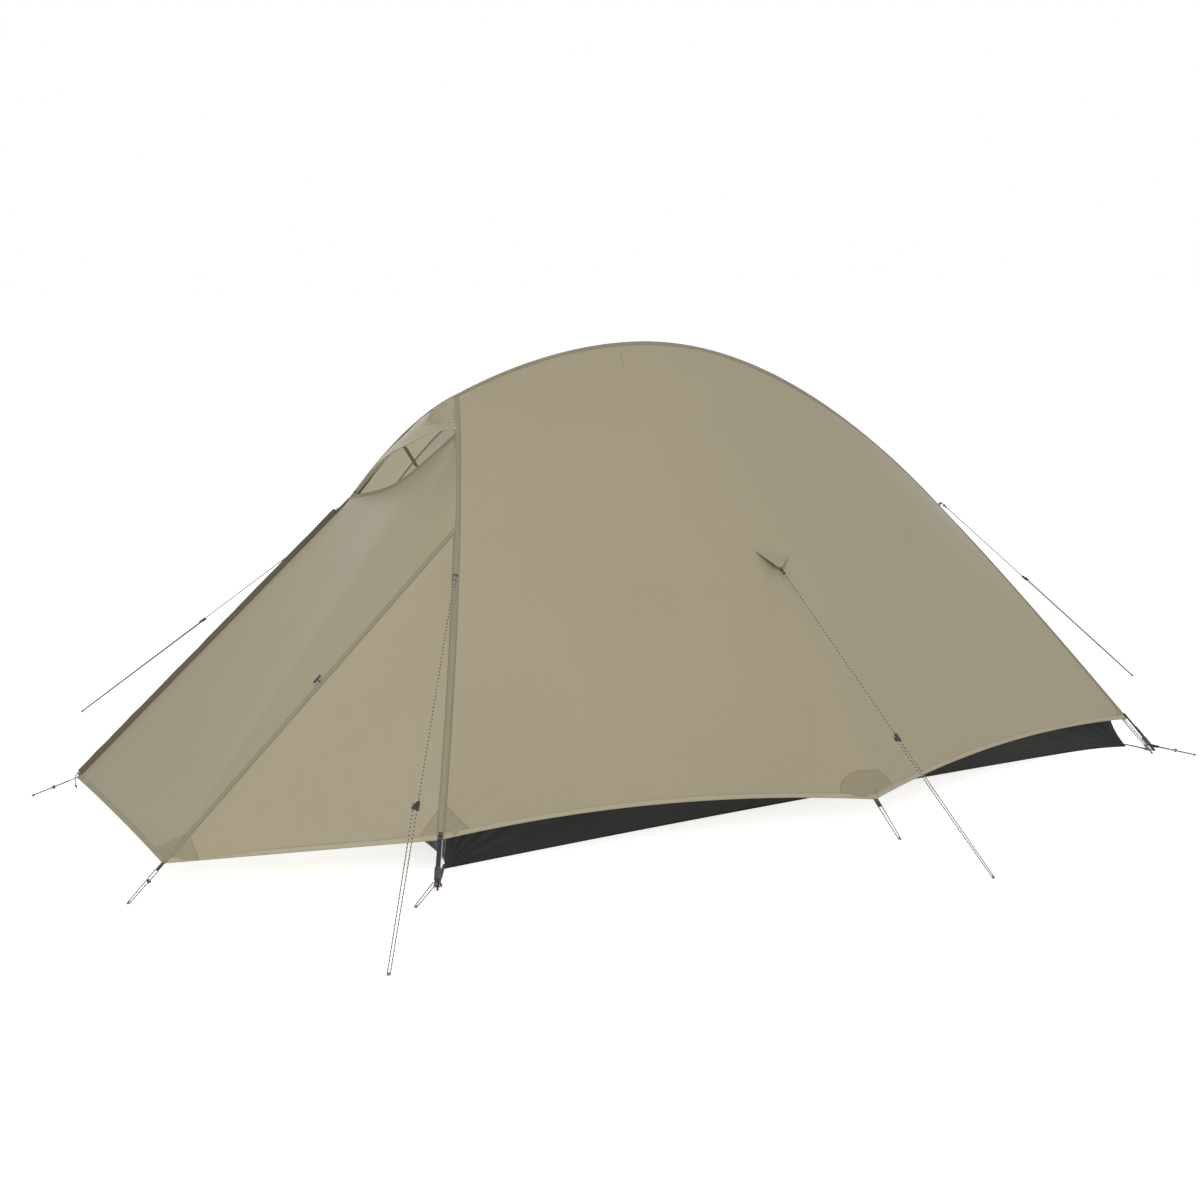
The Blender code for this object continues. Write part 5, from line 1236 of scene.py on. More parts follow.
def hood_lip():
    """Front edge of the vent hood, from the near leg to the far leg, propped out by the stay."""
    points = [hood_end("near")[-1]] + [np.array(point) for point in HOOD_LIP] + [hood_end("far")[-1]]
    return smooth_through(points, LIP_RUNS * FINE + 1)


def door_axes():
    """Direction up the door's fold line, into the door from the fold, and out of the tent."""
    low, top, far_low = vestibule_corner(NEAR), seam_top("far"), vestibule_corner(FAR)
    along = unit(top - low)
    across = far_low - low
    across = unit(across - along * np.dot(across, along))
    return along, across, np.cross(along, across)


def grid_surface(grid):
    """A surface read from a grid of points: bilinear between the four points round each place."""
    rows, columns = grid.shape[:2]

    def surface(u, v):
        u, v = np.broadcast_arrays(np.asarray(u, dtype=float), np.asarray(v, dtype=float))
        x, y = np.clip(u, 0, 1) * (columns - 1), np.clip(v, 0, 1) * (rows - 1)
        i, j = np.minimum(x.astype(int), columns - 2), np.minimum(y.astype(int), rows - 2)
        a, b = (x - i)[..., None], (y - j)[..., None]
        return ((1 - a) * (1 - b) * grid[j, i] + a * (1 - b) * grid[j, i + 1]
                + (1 - a) * b * grid[j + 1, i] + a * b * grid[j + 1, i + 1])
    return surface


def front_cloth():
    """The vestibule's front as one cloth, from the zip over the door's fold to the near seam. Inside its
    edges its height over the door's plane is relaxed: each point takes the mean of its four neighbours."""
    low, top, far_low = vestibule_corner(NEAR), seam_top("far"), vestibule_corner(FAR)
    leg = FLY_LEGS["front", "near"]
    upper = np.concatenate((vent_sill(), leg[HOOD_RUNS * FINE + 1:(HOOD_RUNS + VENT_RUNS) * FINE + 1]))
    hem = arched(low, far_low, DOOR_HEM_ARCH, (0, 0, 0), 9)
    door = taut_patch(point_path(top), hem, np.array([top, low]), np.array([top, far_low]))
    fan = taut_patch(upper, point_path(low), np.array([top, low]), np.array([upper[-1], low]))
    rows = np.linspace(0, 1, FRONT_ROWS + 1)[:, None]
    grid = np.concatenate((door(np.linspace(1, 0, DOOR_COLUMNS + 1)[None, :-1], rows),
                           fan(np.linspace(0, 1, PANEL_COLUMNS + 1)[None, :], rows)), axis=1)
    out = door_axes()[2]
    height = (grid - low) @ out
    flat = grid - height[..., None] * out
    for _ in range(900):
        height[1:-1, 1:-1] = (height[:-2, 1:-1] + height[2:, 1:-1] + height[1:-1, :-2] + height[1:-1, 2:]) / 4
    return grid_surface(flat + height[..., None] * out)


def vestibule_side(name):
    corner = vestibule_corner(SIDES[name])
    leg, top = FLY_LEGS["front", name], seam_top(name)
    hem = arched(corner, leg[-1], 0.0, (0, 0, 0), 9)
    return taut_patch(point_path(top), hem, np.array([top, corner]), leg[(HOOD_RUNS + VENT_RUNS) * FINE:])


def rear_panel():
    near, far = FLY_LEGS["rear", "near"], FLY_LEGS["rear", "far"]
    hem = arched(near[-1], far[-1], REAR_HEM_ARCH, (0, 0, 0), 13)
    return taut_patch(point_path(FLY_HUB["rear"]), hem, near, far)


def hood():
    return taut_patch(point_path(FLY_HUB["front"]), hood_lip(), hood_end("near"), hood_end("far"))


FRONT = front_cloth()
HOOD = hood()
REAR = rear_panel()
SIDE_PANELS = {name: side_panel(name) for name in SIDES}
VESTIBULE_SIDES = {name: vestibule_side(name) for name in SIDES}


def edge_rate(surface, u, v, from_side):
    """Metres square to an edge for each unit of u, or of v: the patch's area rate over the edge's."""
    _, by_u, by_v = slopes_of(surface, u, v)
    area = np.linalg.norm(np.cross(by_u, by_v), axis=-1)
    edge = np.linalg.norm(by_v if from_side else by_u, axis=-1)
    plain = np.linalg.norm(by_u if from_side else by_v, axis=-1)
    return np.where(edge > 1e-4, area / np.maximum(edge, 1e-4), plain)


def edge_strip(surface, edge, distances, stations, most=0.5):
    """Points of a surface at distances square to one of its edges, for stations along that edge."""
    place = np.asarray(stations, dtype=float)[:, None]
    away = np.asarray(distances, dtype=float)[None, :]
    low_side = edge in ("left", "top")
    base = 0.0 if low_side else 1.0
    from_side = edge in ("left", "right")
    rate = edge_rate(surface, np.full_like(place, base) if from_side else place,
                     place if from_side else np.full_like(place, base), from_side)
    share = np.minimum(away / np.maximum(rate, 1e-6), most)
    share = share if low_side else 1 - share
    place = np.broadcast_to(place, share.shape)
    return surface(share, place) if from_side else surface(place, share)


def smoothed(ways, width=9):
    """Unit vectors averaged with their neighbours along a line."""
    padded = np.pad(ways, ((width // 2, width // 2), (0, 0)), mode="edge")
    kernel = np.ones(width) / width
    return unit(np.stack([np.convolve(padded[:, axis], kernel, mode="valid") for axis in range(3)], axis=1))


def way_in(surface, edge, stations, reach=0.012):
    """Unit way from an edge into a panel, square to the edge as near as the panel lets it be."""
    strip = edge_strip(surface, edge, (0.0, reach), stations)
    return unit(strip[:, 1] - strip[:, 0])


def seam_tape(line, left, right, width, out, rise=0.0010, clear=TAPE_CLEAR, columns=9, wider=0.0):
    """Tape over a seam: straight down both panels from the line, lifted between them by a parabola, and
    wider on its left by a share of its width."""
    across = np.linspace(-1, 1, columns)[None, :, None]
    along = unit(np.gradient(line, axis=0))
    normal = unit(unit(np.cross(along, right)) + unit(np.cross(left, along)))
    normal = normal * np.sign(normal @ out + 1e-9)[:, None]
    way = np.where(across < 0, left[:, None], right[:, None])
    reach = width / 2 * (1 + (across < 0) * np.broadcast_to(wider, len(line))[:, None, None])
    points = (line[:, None] + np.abs(across) * reach * way
              + (clear + rise * (1 - across ** 2)) * normal[:, None])
    return grid_shape(points, uv_of(arc_lengths(line), np.linspace(-width / 2, width / 2, columns)))


def hem_tape(surface, edge, stations, width, columns=6, most=0.5):
    """Folded hem: a strip of the panel as wide as the hem, its UV across from the stitched side."""
    points = edge_strip(surface, edge, np.linspace(0.0, width, columns), stations, most)
    return grid_shape(points, uv_of(arc_lengths(points[:, 0]), np.linspace(width / 2, -width / 2, columns)))


def radial_folds(points, centre, out, count, reach, seed):
    """Folds that run out from a pulled point: a wave round it, growing over 4 cm and fading with distance."""
    side = unit(np.cross(out, UP))
    rise = np.cross(side, out)
    away = points - centre
    radius = np.linalg.norm(away, axis=-1)
    angle = np.arctan2(away @ rise, away @ side)
    phase = np.random.default_rng(seed).uniform(0, 2 * math.pi, 3)
    wave = (np.cos(count * angle + phase[0]) + 0.6 * np.cos(1.7 * count * angle + phase[1])
            + 0.4 * np.cos(0.6 * count * angle + phase[2]))
    return wave * radius / (radius + 0.04) * np.exp(-radius / reach)


def panel_points(surface, columns, rows, out, folds=None, fade=0.035, hem_fade=0.012):
    """A panel's grid and its normals, moved along them by its folds, which die out near seams and hem."""
    u, v = np.meshgrid(np.linspace(0, 1, columns + 1), np.linspace(0, 1, rows + 1))
    points, by_u, by_v = slopes_of(surface, u, v)
    normal = normals_of(surface, u, v, out)
    if folds is not None:
        wide, tall = np.linalg.norm(by_u, axis=-1), np.linalg.norm(by_v, axis=-1)
        keep = (smooth_step(0, fade, u * wide) * smooth_step(0, fade, (1 - u) * wide)
                * smooth_step(0, fade, v * tall) * smooth_step(0, hem_fade, (1 - v) * tall))
        points = points + (folds(points, u, v) * keep)[..., None] * normal
    return points, normal


def panel_shape(*plan, **fades):
    """A panel as a shape: the UV is the point's place in metres along the panel's mean plane."""
    points, normal = panel_points(*plan, **fades)
    mean_out = unit(normal.reshape(-1, 3).mean(axis=0))
    level = unit(np.cross(UP, mean_out))
    uv = np.stack((points @ level, points @ np.cross(mean_out, level)), axis=-1)
    return grid_shape(points, uv)


def flat_measures(surface, columns=60, rows=60):
    """Cut size of a panel: its area, and a width and length that enclose it in its mean plane."""
    u, v = np.meshgrid(np.linspace(0, 1, columns), np.linspace(0, 1, rows))
    points = surface(u, v)
    square = np.cross(points[1:, :-1] - points[:-1, :-1], points[:-1, 1:] - points[:-1, :-1])
    area = float(np.linalg.norm(square, axis=-1).sum())
    flat = points.reshape(-1, 3) - points.reshape(-1, 3).mean(axis=0)
    _, _, axes = np.linalg.svd(flat, full_matrices=False)
    width, length = (float(np.ptp(flat @ axis)) for axis in axes[:2])
    scale = max(1.0, area / (width * length * 0.999))
    return (width * scale, length), area


def declare_sheet(made, surface, rests_on):
    """Says that a piece is a taut sheet, with its cut size. Its area is at least 0.301 of that rectangle."""
    flat, area = flat_measures(surface)
    stretched(made, flat, rests_on, max(area, LEAST_AREA * flat[0] * flat[1]))


def stretched(made, flat, rests_on, area):
    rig.sheet(made, flat=flat, held="stretched", rests_on=[rests_on], area=area)


def side_folds(name):
    """Folds of a side panel: out of its corners, side stake and guy tab, over a broad unevenness."""
    out = unit(OUT_WAYS[name])
    tab = tab_corners(name)
    roots = ((SIDE_STAKE * np.array([1, SIDES[name], 1]), 0.9, 13, 0.16),
             (FLY_LEGS["front", name][-1], 0.8, 17, 0.14), (FLY_LEGS["rear", name][-1], 0.8, 15, 0.16),
             ((tab[0] + tab[1]) / 2, 0.8, 7, 0.14))
    height = size("fold_height")

    def folds(points, u, v):
        total = 0.0
        for seed, (root, share, count, reach) in enumerate(roots, 11):
            total += share * radial_folds(points, root, out, count, reach, seed)
        total += 1.0 * soft_noise(points * np.array([1.0, 1.0, 0.45]), 0.55, 15)
        total += 0.22 * soft_noise(points * np.array([1.0, 1.0, 0.5]), 0.13, 16)
        return total * height
    return folds


def plain_folds(centres, out, seed, amount=1.0):
    """Folds out of a panel's pulled corners over a broad unevenness."""
    height = size("fold_height") * amount

    def folds(points, u, v):
        total = 0.7 * soft_noise(points, 0.40, seed) + 0.2 * soft_noise(points, 0.11, seed + 1)
        for count, centre in enumerate(centres):
            total = total + 0.8 * radial_folds(points, centre, out, 13 + 2 * count, 0.13, seed + 2 + count)
        return total * height
    return folds


def creases(points, root, first, last, shares, sharp, reach, grow=0.010):
    """Creases that run out from a root between two ways: ridges that fall off by exp(-angle) on both sides,
    grow over a centimetre and die out with distance from the root."""
    away = points - root
    radius = np.linalg.norm(away, axis=-1)
    first, last = unit(first), unit(last)
    turn = np.arccos(np.clip((away / np.maximum(radius, 1e-6)[..., None]) @ first, -1, 1))
    turn = turn / math.acos(float(np.clip(first @ last, -1, 1)))
    ridges = np.exp(-np.abs(turn[..., None] - np.array(shares)) / sharp).sum(axis=-1)
    return ridges * radius / (radius + grow) * np.exp(-radius / reach)


def hood_folds(points, u, v):
    """Gathers of the hood: creases that spread from its middle to the near leg's seam, over soft waves."""
    root, high, low = HOOD(np.array([0.38, 0.02, 0.02]), np.array([0.62, 0.35, 1.0]))
    gathers = creases(points, root, high - root, low - root, np.linspace(0.06, 1.0, 8), 0.035, 0.5, grow=0.05)
    return 0.0075 * gathers + 0.0016 * soft_noise(points, 0.16, 31)


def panel_plan(key):
    """Surface, columns, rows, way out and folds of one panel of the fly."""
    kind, _, name = key.partition("_")
    if kind == "side":
        return SIDE_PANELS[name], 230, 150, OUT_WAYS[name], side_folds(name)
    if kind == "vestibule":
        out = unit(OUT_WAYS[name] + OUT_WAYS["front"])
        folds = plain_folds((vestibule_corner(SIDES[name]), FLY_LEGS["front", name][-1]), out, 21)
        return VESTIBULE_SIDES[name], 60, 100, out, folds
    if kind == "rear":
        corners = [FLY_LEGS["rear", name][-1] for name in SIDES]
        return REAR, 80, 70, OUT_WAYS["rear"], plain_folds(corners, unit(OUT_WAYS["rear"]), 41, 1.4)
    corners = (vestibule_corner(NEAR), vestibule_corner(FAR), seam_top("far"), seam_top("near"))
    return FRONT, 150, 120, OUT_WAYS["front"], plain_folds(corners, door_axes()[2], 51, 0.5)


def lay_on(key, u, v, lift, uv):
    """A second layer on a panel: the panel's own folded cloth, raised along its normals."""
    plan = panel_plan(key)
    cloth = grid_surface(panel_points(*plan)[0])
    return grid_shape(cloth(u, v) + lift[..., None] * normals_of(plan[0], u, v, plan[3]), uv)


# Places on the near panel, as share along and down, of two short dark marks beside the ridge, drawn as raised rows in
# the thread's colour
RIDGE_MARKS = (((0.280, 0.030), (0.280, 0.073)), ((0.430, 0.030), (0.426, 0.050)))
# Ways round the side stake, in degrees from the foot end, at which its patch is pleated
PLEATS = (168.0, 160.0, 151.0, 98.0, 84.0, 70.0, 56.0)
STAKE_SHARE, PLEAT_HUB = (0.4965, 1.0), 0.012


def fan_patch(key, place, reach, angles, lift=0.0007, chord=False, bulge=0.0, pleats=(), hub=0.0, rings=16,
              spokes=61):
    """Patch round a point of a panel: polar in metres along the panel, its rim an arc or a straight chord.
    Pleats are ridges like spokes round a hub beside its middle, each falling off by exp(-angle)."""
    surface = panel_plan(key)[0]
    cu, cv = place
    _, by_u, by_v = slopes_of(surface, *(np.clip([share], 0.002, 0.998) for share in place))
    wide, tall = length_of(by_u), length_of(by_v)
    angle = np.radians(np.linspace(*angles, spokes))[None, :]
    share = np.linspace(0.0, 1.0, rings)[:, None]
    x, y = np.cos(angle) / reach[0], np.sin(angle) / reach[1]
    rim = (1 + bulge * np.sin(2 * angle)) / (np.abs(x) + np.abs(y) if chord else np.hypot(x, y))
    x, y = share * rim * np.cos(angle), share * rim * np.sin(angle)
    u, v = np.clip(cu + x / wide, 0, 1), np.clip(cv - y / tall, 0, 1)
    uv = np.stack((x, y), axis=-1)
    height = np.full(u.shape, lift)
    if pleats:
        turn = np.degrees(np.arctan2(uv[..., 1], uv[..., 0] - hub))[..., None]
        ridges = np.exp(-np.abs(turn - np.array(pleats)) / 3.0).sum(axis=-1)
        height += 0.0034 * ridges * smooth_step(0, 0.25, share) * (1 - 0.6 * share)
    return lay_on(key, u, v, height, uv)


def pleat_strip(key, place, reach, turn, hub=PLEAT_HUB, half=1.3, lift=0.0016):
    """Folded edge of one pleat of a fan patch: a narrow wedge from near its hub out to its rim."""
    surface = panel_plan(key)[0]
    cu, cv = place
    _, by_u, by_v = slopes_of(surface, np.array([cu]), np.array([0.998]))
    wide, tall = length_of(by_u), length_of(by_v)
    angle = np.radians(turn + np.linspace(-half, half, 3))[None, :]
    share = np.linspace(0.10, 0.98, 16)[:, None]
    rim = 1 / np.hypot(np.cos(angle) / reach[0], np.sin(angle) / reach[1]) - hub * np.cos(angle)
    x, y = hub + share * rim * np.cos(angle), share * rim * np.sin(angle)
    return lay_on(key, cu + x / wide, cv - y / tall, np.full(x.shape, lift), np.stack((x, y), axis=-1))


def door_corner_patch(seam_reach=0.092, hem_reach=0.105):
    """Patch over the front's near corner: rays from the corner, cut off by the straight line between a
    point on the seam and one on the hem. Over the fixed panel a ray is a line of constant u."""
    low = vestibule_corner(NEAR)
    u = np.linspace(1.0, FOLD_SHARE, 33)
    rays = FRONT(u, 0.0) - low
    lengths = np.linalg.norm(rays, axis=1)
    hem = FRONT(0.0, 1.0) - low
    chord = unit(hem) * hem_reach - unit(rays[0]) * seam_reach
    reach = (np.linalg.norm(np.cross(unit(rays[0]) * seam_reach, chord))
             / np.linalg.norm(np.cross(unit(rays), chord), axis=1))
    steps = np.linspace(0, 1, 15)[:, None]
    turn = np.linspace(0, 1, 17)[None, 1:]
    down = reach / lengths
    u_all = np.concatenate((np.broadcast_to(u, (15, 33)),
                            FOLD_SHARE - steps * turn * FOLD_SHARE * hem_reach / np.linalg.norm(hem)), axis=1)
    v_all = np.concatenate((1 - steps * down, 1 - steps * (1 - turn) * down[-1]), axis=1)
    uv = np.stack((u_all * 1.5, v_all * 1.2), axis=-1)
    return lay_on("front", u_all, v_all, np.full(u_all.shape, 0.0007), uv)


class TENT_OT_fly(Operator):
    """Side, rear and vestibule panels of the rainfly, each one taut sheet."""
    bl_idname = "tent.fly"
    bl_label = "Fly panels"

    def execute(self, context):
        cloths = [("fly_rear_cloth", "rear", "fly_rear", "hub_rear")]
        for name in SIDES:
            leg = f"pole_leg_front_{name}"
            cloths += [(f"fly_{name}_cloth", f"side_{name}", f"fly_side_{name}", "pole_spine"),
                       (f"vestibule_{name}_cloth", f"vestibule_{name}", f"vestibule_side_{name}", leg)]
        for name, key, node, rest in cloths:
            plan = panel_plan(key)
            made = piece(name, panel_shape(*plan), "fly", replaces=[node], out=plan[3],
                         wall=size("cloth_wall"), lining="inside")
            declare_sheet(made, plan[0], rest)
        return {"FINISHED"}


def follow_fold(made):
    """Bends a piece of the front between the pitched tent and the opening door, over 6 cm at the fold."""
    low = vestibule_corner(NEAR)
    across = door_axes()[1]
    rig.blend(made, "tent", "outer_door", tuple(low - FOLD_BLEND * across), tuple(low + FOLD_BLEND * across))


class TENT_OT_front(Operator):
    """Vestibule's front: fixed panel and door as one cloth that bends at the door's fold, and the hood."""
    bl_idname = "tent.front"
    bl_label = "Front, door and hood"

    def execute(self, context):
        cloth = dict(out=OUT_WAYS["front"], wall=size("cloth_wall"), lining="inside")
        made = piece("front_cloth", panel_shape(*panel_plan("front")), "fly", body=None,
                     replaces=["front_panel_fixed", "outer_door"], **cloth)
        follow_fold(made)
        declare_sheet(made, FRONT, "pole_leg_front_near")
        shape = panel_shape(HOOD, 150, 110, OUT_WAYS["front"], hood_folds, fade=0.004, hem_fade=0.004)
        made = piece("vent_hood_cloth", shape, "fly", replaces=["vent_hood"], **cloth)
        declare_sheet(made, HOOD, "hub_front")
        return {"FINISHED"}


def stations(start=0.0, end=1.0, count=161):
    return np.linspace(start, end, count)


def front_leg_ways(name, places):
    """Ways from a front leg's seam into the hood, the front panel and the vestibule's side in turn, and how
    much wider the tape is there."""
    hood_share = len(hood_end(name)) / len(FLY_LEGS["front", name])
    vent_share = (HOOD_RUNS + VENT_RUNS) / (HOOD_RUNS + VENT_RUNS + VESTIBULE_RUNS)
    front = way_in(HOOD, "left" if name == "near" else "right", np.clip(places / hood_share, 0.02, 1.0))
    beside = np.clip((places - vent_share) / (1 - vent_share), 0.1, 1)
    beside = way_in(VESTIBULE_SIDES[name], "right", beside)
    wider = 0.0
    if name == "near":
        line = by_run(FLY_LEGS["front", name], places)
        over_front = unit(FRONT(0.93, np.full(len(places), 0.06)) - line[int(vent_share * 150)])
        share = smooth_step(hood_share - 0.02, hood_share + 0.02, places)[:, None]
        front = unit((1 - share) * front + share * over_front)
    else:
        wider = 0.55 * (1 - smooth_step(hood_share - 0.02, hood_share + 0.01, places))
    share = smooth_step(vent_share - 0.03, vent_share + 0.06, places)[:, None]
    return smoothed((1 - share) * front + share * beside, 13), wider


def leg_tapes():
    """Tape over each leg, the ridge and the vestibule's near seam, as (name, shape, finish)."""
    places = stations()
    tapes = []
    for name in SIDES:
        front, wider = front_leg_ways(name, places)
        side = smoothed(way_in(SIDE_PANELS[name], "left", places))
        tape = seam_tape(by_run(FLY_LEGS["front", name], places), front, side, size("leg_band"),
                         OUT_WAYS[name] + OUT_WAYS["front"], wider=wider)
        tapes.append((f"tape_leg_front_{name}", tape, "leg_band"))
        side = smoothed(way_in(SIDE_PANELS[name], "right", places))
        rear = smoothed(way_in(REAR, "left" if name == "near" else "right", np.clip(places, 0.05, 1.0)))
        tape = seam_tape(by_run(FLY_LEGS["rear", name], places), rear, side, size("leg_band"),
                         OUT_WAYS[name] + OUT_WAYS["rear"])
        tapes.append((f"tape_leg_rear_{name}", tape, "leg_band"))
    ways = [smoothed(way_in(SIDE_PANELS[name], "top", places)) for name in ("near", "far")]
    tape = seam_tape(by_run(FLY_RIDGE, places), *ways, size("ridge_band"), UP)
    tapes.append(("tape_ridge", tape, "ridge_band"))
    line = between(seam_top("near"), vestibule_corner(NEAR), 121)
    places = np.clip(stations(count=121), 0.05, 0.97)
    left, right = way_in(FRONT, "right", places), way_in(VESTIBULE_SIDES["near"], "left", places)
    tape = seam_tape(line, smoothed(left), smoothed(right), size("seam_band"),
                     OUT_WAYS["near"] + OUT_WAYS["front"], clear=0.0014)
    return tapes + [("tape_vestibule_near", tape, "seam_band")]


def bar_tack(centre, along, out, width, length=0.003):
    """Row of zigzag stitches across a strap: a tube along a triangle wave."""
    side = unit(np.cross(out, along))
    t = np.linspace(-0.5, 0.5, 29)[:, None]
    zigzag = (2 * np.abs(2 * ((t * 7) % 1) - 1) - 1) * length / 2
    return tube(centre + t * width * side + zigzag * along, 0.00035, ref=out, sides=5)


def guy_loop_shape(name):
    """Loop of narrow webbing: out of the seam, round and back, along an ellipse cut off at the seam."""
    place, out = guy_loop_place(name)
    side = unit(np.cross(out, UP)) if name != "rear" else ACROSS
    turn = np.linspace(-0.62 * math.pi, 0.62 * math.pi, 33)[:, None]
    reach = GUY_LOOP[2] * 0.56
    path = place + out * (reach * (np.cos(turn) + 0.62) * 0.98) + side * (0.0042 * np.sin(turn))
    return strap(path, np.cross(side, out), 0.0060, 0.0010)


def tab_loop_shape(name):
    """Short strap sewn under the tip of a side panel's tab and folded back on itself."""
    tip = tab_corners(name)[2]
    along = unit(mirrored(GUY_PEGS["near_side"], SIDES[name]) - tip)
    side = unit(np.cross(along, UP))
    turn = np.linspace(-math.pi / 2, math.pi / 2, 17)[:, None]
    bend = tip + along * (0.016 + 0.0018 * np.cos(turn)) + np.cross(side, along) * 0.0018 * np.sin(turn)
    path = np.concatenate((bend[:1] - along * 0.020, bend, bend[-1:] - along * 0.020))
    return strap(path, np.cross(side, along), 0.0070, 0.0010)


class TENT_OT_seams(Operator):
    """Tapes over the poles, folded hems, corner patches, guy tabs, loops and the webbing at the stakes."""
    bl_idname = "tent.seams"
    bl_label = "Seams, hems and patches"

    def execute(self, context):
        for count, (name, shape, look) in enumerate(leg_tapes()):
            piece(name, shape, look, out=UP, wall=0.0008, replaces=["fly_seams"] if count == 0 else ())
        self.hems()
        self.patches()
        self.tabs()
        self.loops()
        self.marks()
        return {"FINISHED"}

    def hems(self):
        """Folded hems round the fly, on the vent's sill and on the hood's lip."""
        hems = [("hem_rear", REAR, "bottom", stations(count=121), "hem", "rear"),
                ("hem_hood", HOOD, "bottom", stations(0.03, 0.985, 121), "hem", "front"),
                ("hem_door", FRONT, "bottom", stations(0.0, FOLD_SHARE, 121), "door_hem", "front"),
                ("hem_vent_sill", FRONT, "top", stations(FOLD_SHARE + 0.002, SILL_SHARE, 121), "seam_band",
                 "front")]
        for name in SIDES:
            hems += [(f"hem_side_{name}", SIDE_PANELS[name], "bottom", stations(count=241), "hem", name),
                     (f"hem_vestibule_{name}", VESTIBULE_SIDES[name], "bottom", stations(count=81), "hem",
                      name)]
        for name, surface, edge, places, look, way in hems:
            hem = hem_tape(surface, edge, places, size("hem_width"), most=0.10 if surface is HOOD else 0.5)
            at_door = name == "hem_door"
            made = piece(name, hem, look, None if at_door else "tent", "fly_fabric", out=OUT_WAYS[way],
                         wall=0.0028)
            if at_door:
                follow_fold(made)

    def patches(self):
        """Second layers of cloth at the stakes and corners, and the folded pleats at the side stakes, whose strips are
        drawn in a darker cloth as painted shade in the folds.
        """
        reach, fan = size("patch_reach"), size("fan_reach")
        left, right, front = (0, 90), (90, 180), OUT_WAYS["front"]

        def corner(key, at_right, wide, tall, bulge=0.0):
            place, turn = ((1.0, 1.0), right) if at_right else ((0.0, 1.0), left)
            return fan_patch(key, place, (reach * wide, reach * tall), turn, chord=True, bulge=bulge)
        for name in SIDES:
            stake = (f"side_{name}", STAKE_SHARE, (fan, fan * 0.86))
            shapes = [fan_patch(*stake, (0, 180), pleats=PLEATS, hub=PLEAT_HUB),
                      corner(f"side_{name}", False, 1.00, 1.08), corner(f"side_{name}", True, 0.55, 0.60)]
            piece(f"patches_side_{name}", joined(shapes), "patch", out=OUT_WAYS[name], wall=0.0005)
            shapes = [corner(f"vestibule_{name}", True, 0.72, 1.08),
                      corner(f"vestibule_{name}", False, 1.04, 1.10, bulge=0.02)]
            piece(f"patches_vestibule_{name}", joined(shapes), "patch", out=OUT_WAYS[name] + front,
                  wall=0.0005)
            # Strips in a darker cloth along the pleats: painted shade in the folds.
            folded = [pleat_strip(*stake, turn) for turn in PLEATS]
            piece(f"pleats_side_{name}", joined(folded), "pleat", out=OUT_WAYS[name], wall=0.0005)
        corners = [corner("rear", at_right, 0.6, 0.8) for at_right in (False, True)]
        piece("patches_rear", joined(corners), "patch", out=OUT_WAYS["rear"], wall=0.0005)
        far = fan_patch("front", (0.0, 1.0), (0.040, 0.016), left, chord=True)
        for name, shape, look in (("near", door_corner_patch(), "patch"), ("far", far, "lining")):
            follow_fold(piece(f"patch_door_{name}", shape, look, None, out=front, wall=0.0005))

    def tabs(self):
        """Pull-out tabs of the side panels, each a triangle of cloth that bellies a little."""
        for name in SIDES:
            left, right, tip = tab_corners(name)
            surface = taut_patch(np.array([left, right]), point_path(tip), np.array([left, tip]),
                                 np.array([right, tip]))
            out = tab_line(name)[2]

            def belly(points, u, v):
                return (0.0030 * np.sin(math.pi * u) * np.sin(math.pi * v)
                        - 0.0012 * np.cos(6 * math.pi * u) * v)
            shape = panel_shape(surface, 40, 40, out, belly, fade=0.006, hem_fade=0.006)
            made = piece(f"guy_tab_{name}", shape, "tab", replaces=[f"side_guy_tab_{name}"], out=out,
                         wall=0.0018)
            declare_sheet(made, surface, f"fly_{name}_cloth")

    def loops(self):
        """Guy loops, and the webbing that each stake loop is threaded through."""
        loops = [guy_loop_shape(name) for name in ("near", "far", "rear")]
        loops += [tab_loop_shape(name) for name in SIDES]
        piece("guy_loops", joined(loops), "webbing")
        tacks = []
        for name in ("near_vestibule", "far_vestibule", "near_hem", "far_hem"):
            start, end = stake_web_ends(name)
            along = unit(end - start)
            rise = unit(np.cross(np.cross(along, UP), along))
            at_hem = name.endswith("hem")
            width = WEBBING_WIDTH * (1.3 if at_hem else 1.0)
            web = strap(between(start - along * 0.004, end, 5), rise, width, WEBBING_THICKNESS)
            piece(f"stake_strap_{name}", web, "webbing",
                  replaces=[f"hem_stake_tab_{name.split('_')[0]}"] if at_hem else ())
            tacks.append(bar_tack(start + along * 0.004 + rise * 0.0009, along, rise, WEBBING_WIDTH * 0.8))
        piece("stake_strap_tacks", joined(tacks), "thread")
        for name in ("near_front_corner", "near_rear_corner"):
            side, end = name.split("_")[:2]
            root = loop_root(end, side)
            along = unit(np.array(LOOP_PEGS[name]) - root)
            path = between(root - along * 0.003, root + along * (LOOP_WEB_LENGTH[end] + 0.004), 5)
            web = strap(path, np.cross(along, UP), WEBBING_WIDTH * 0.8, WEBBING_THICKNESS * 1.8)
            piece(f"stake_strap_{name}", web, "webbing")

    def marks(self):
        """Two short dark marks that show beside the ridge on the near panel, drawn as thin raised rows in the thread's
        colour.
        """
        panel, out = SIDE_PANELS["near"], OUT_WAYS["near"]
        rows = []
        for low, high in RIDGE_MARKS:
            u, v = (np.linspace(low[axis], high[axis], 12) for axis in (0, 1))
            rows.append(tube(panel(u, v) + 0.0006 * normals_of(panel, u, v, out), 0.0010, ref=out, sides=6))
        piece("ridge_stitches", joined(rows), "thread")


# Door hardware: zip, rain flap, stay and toggle

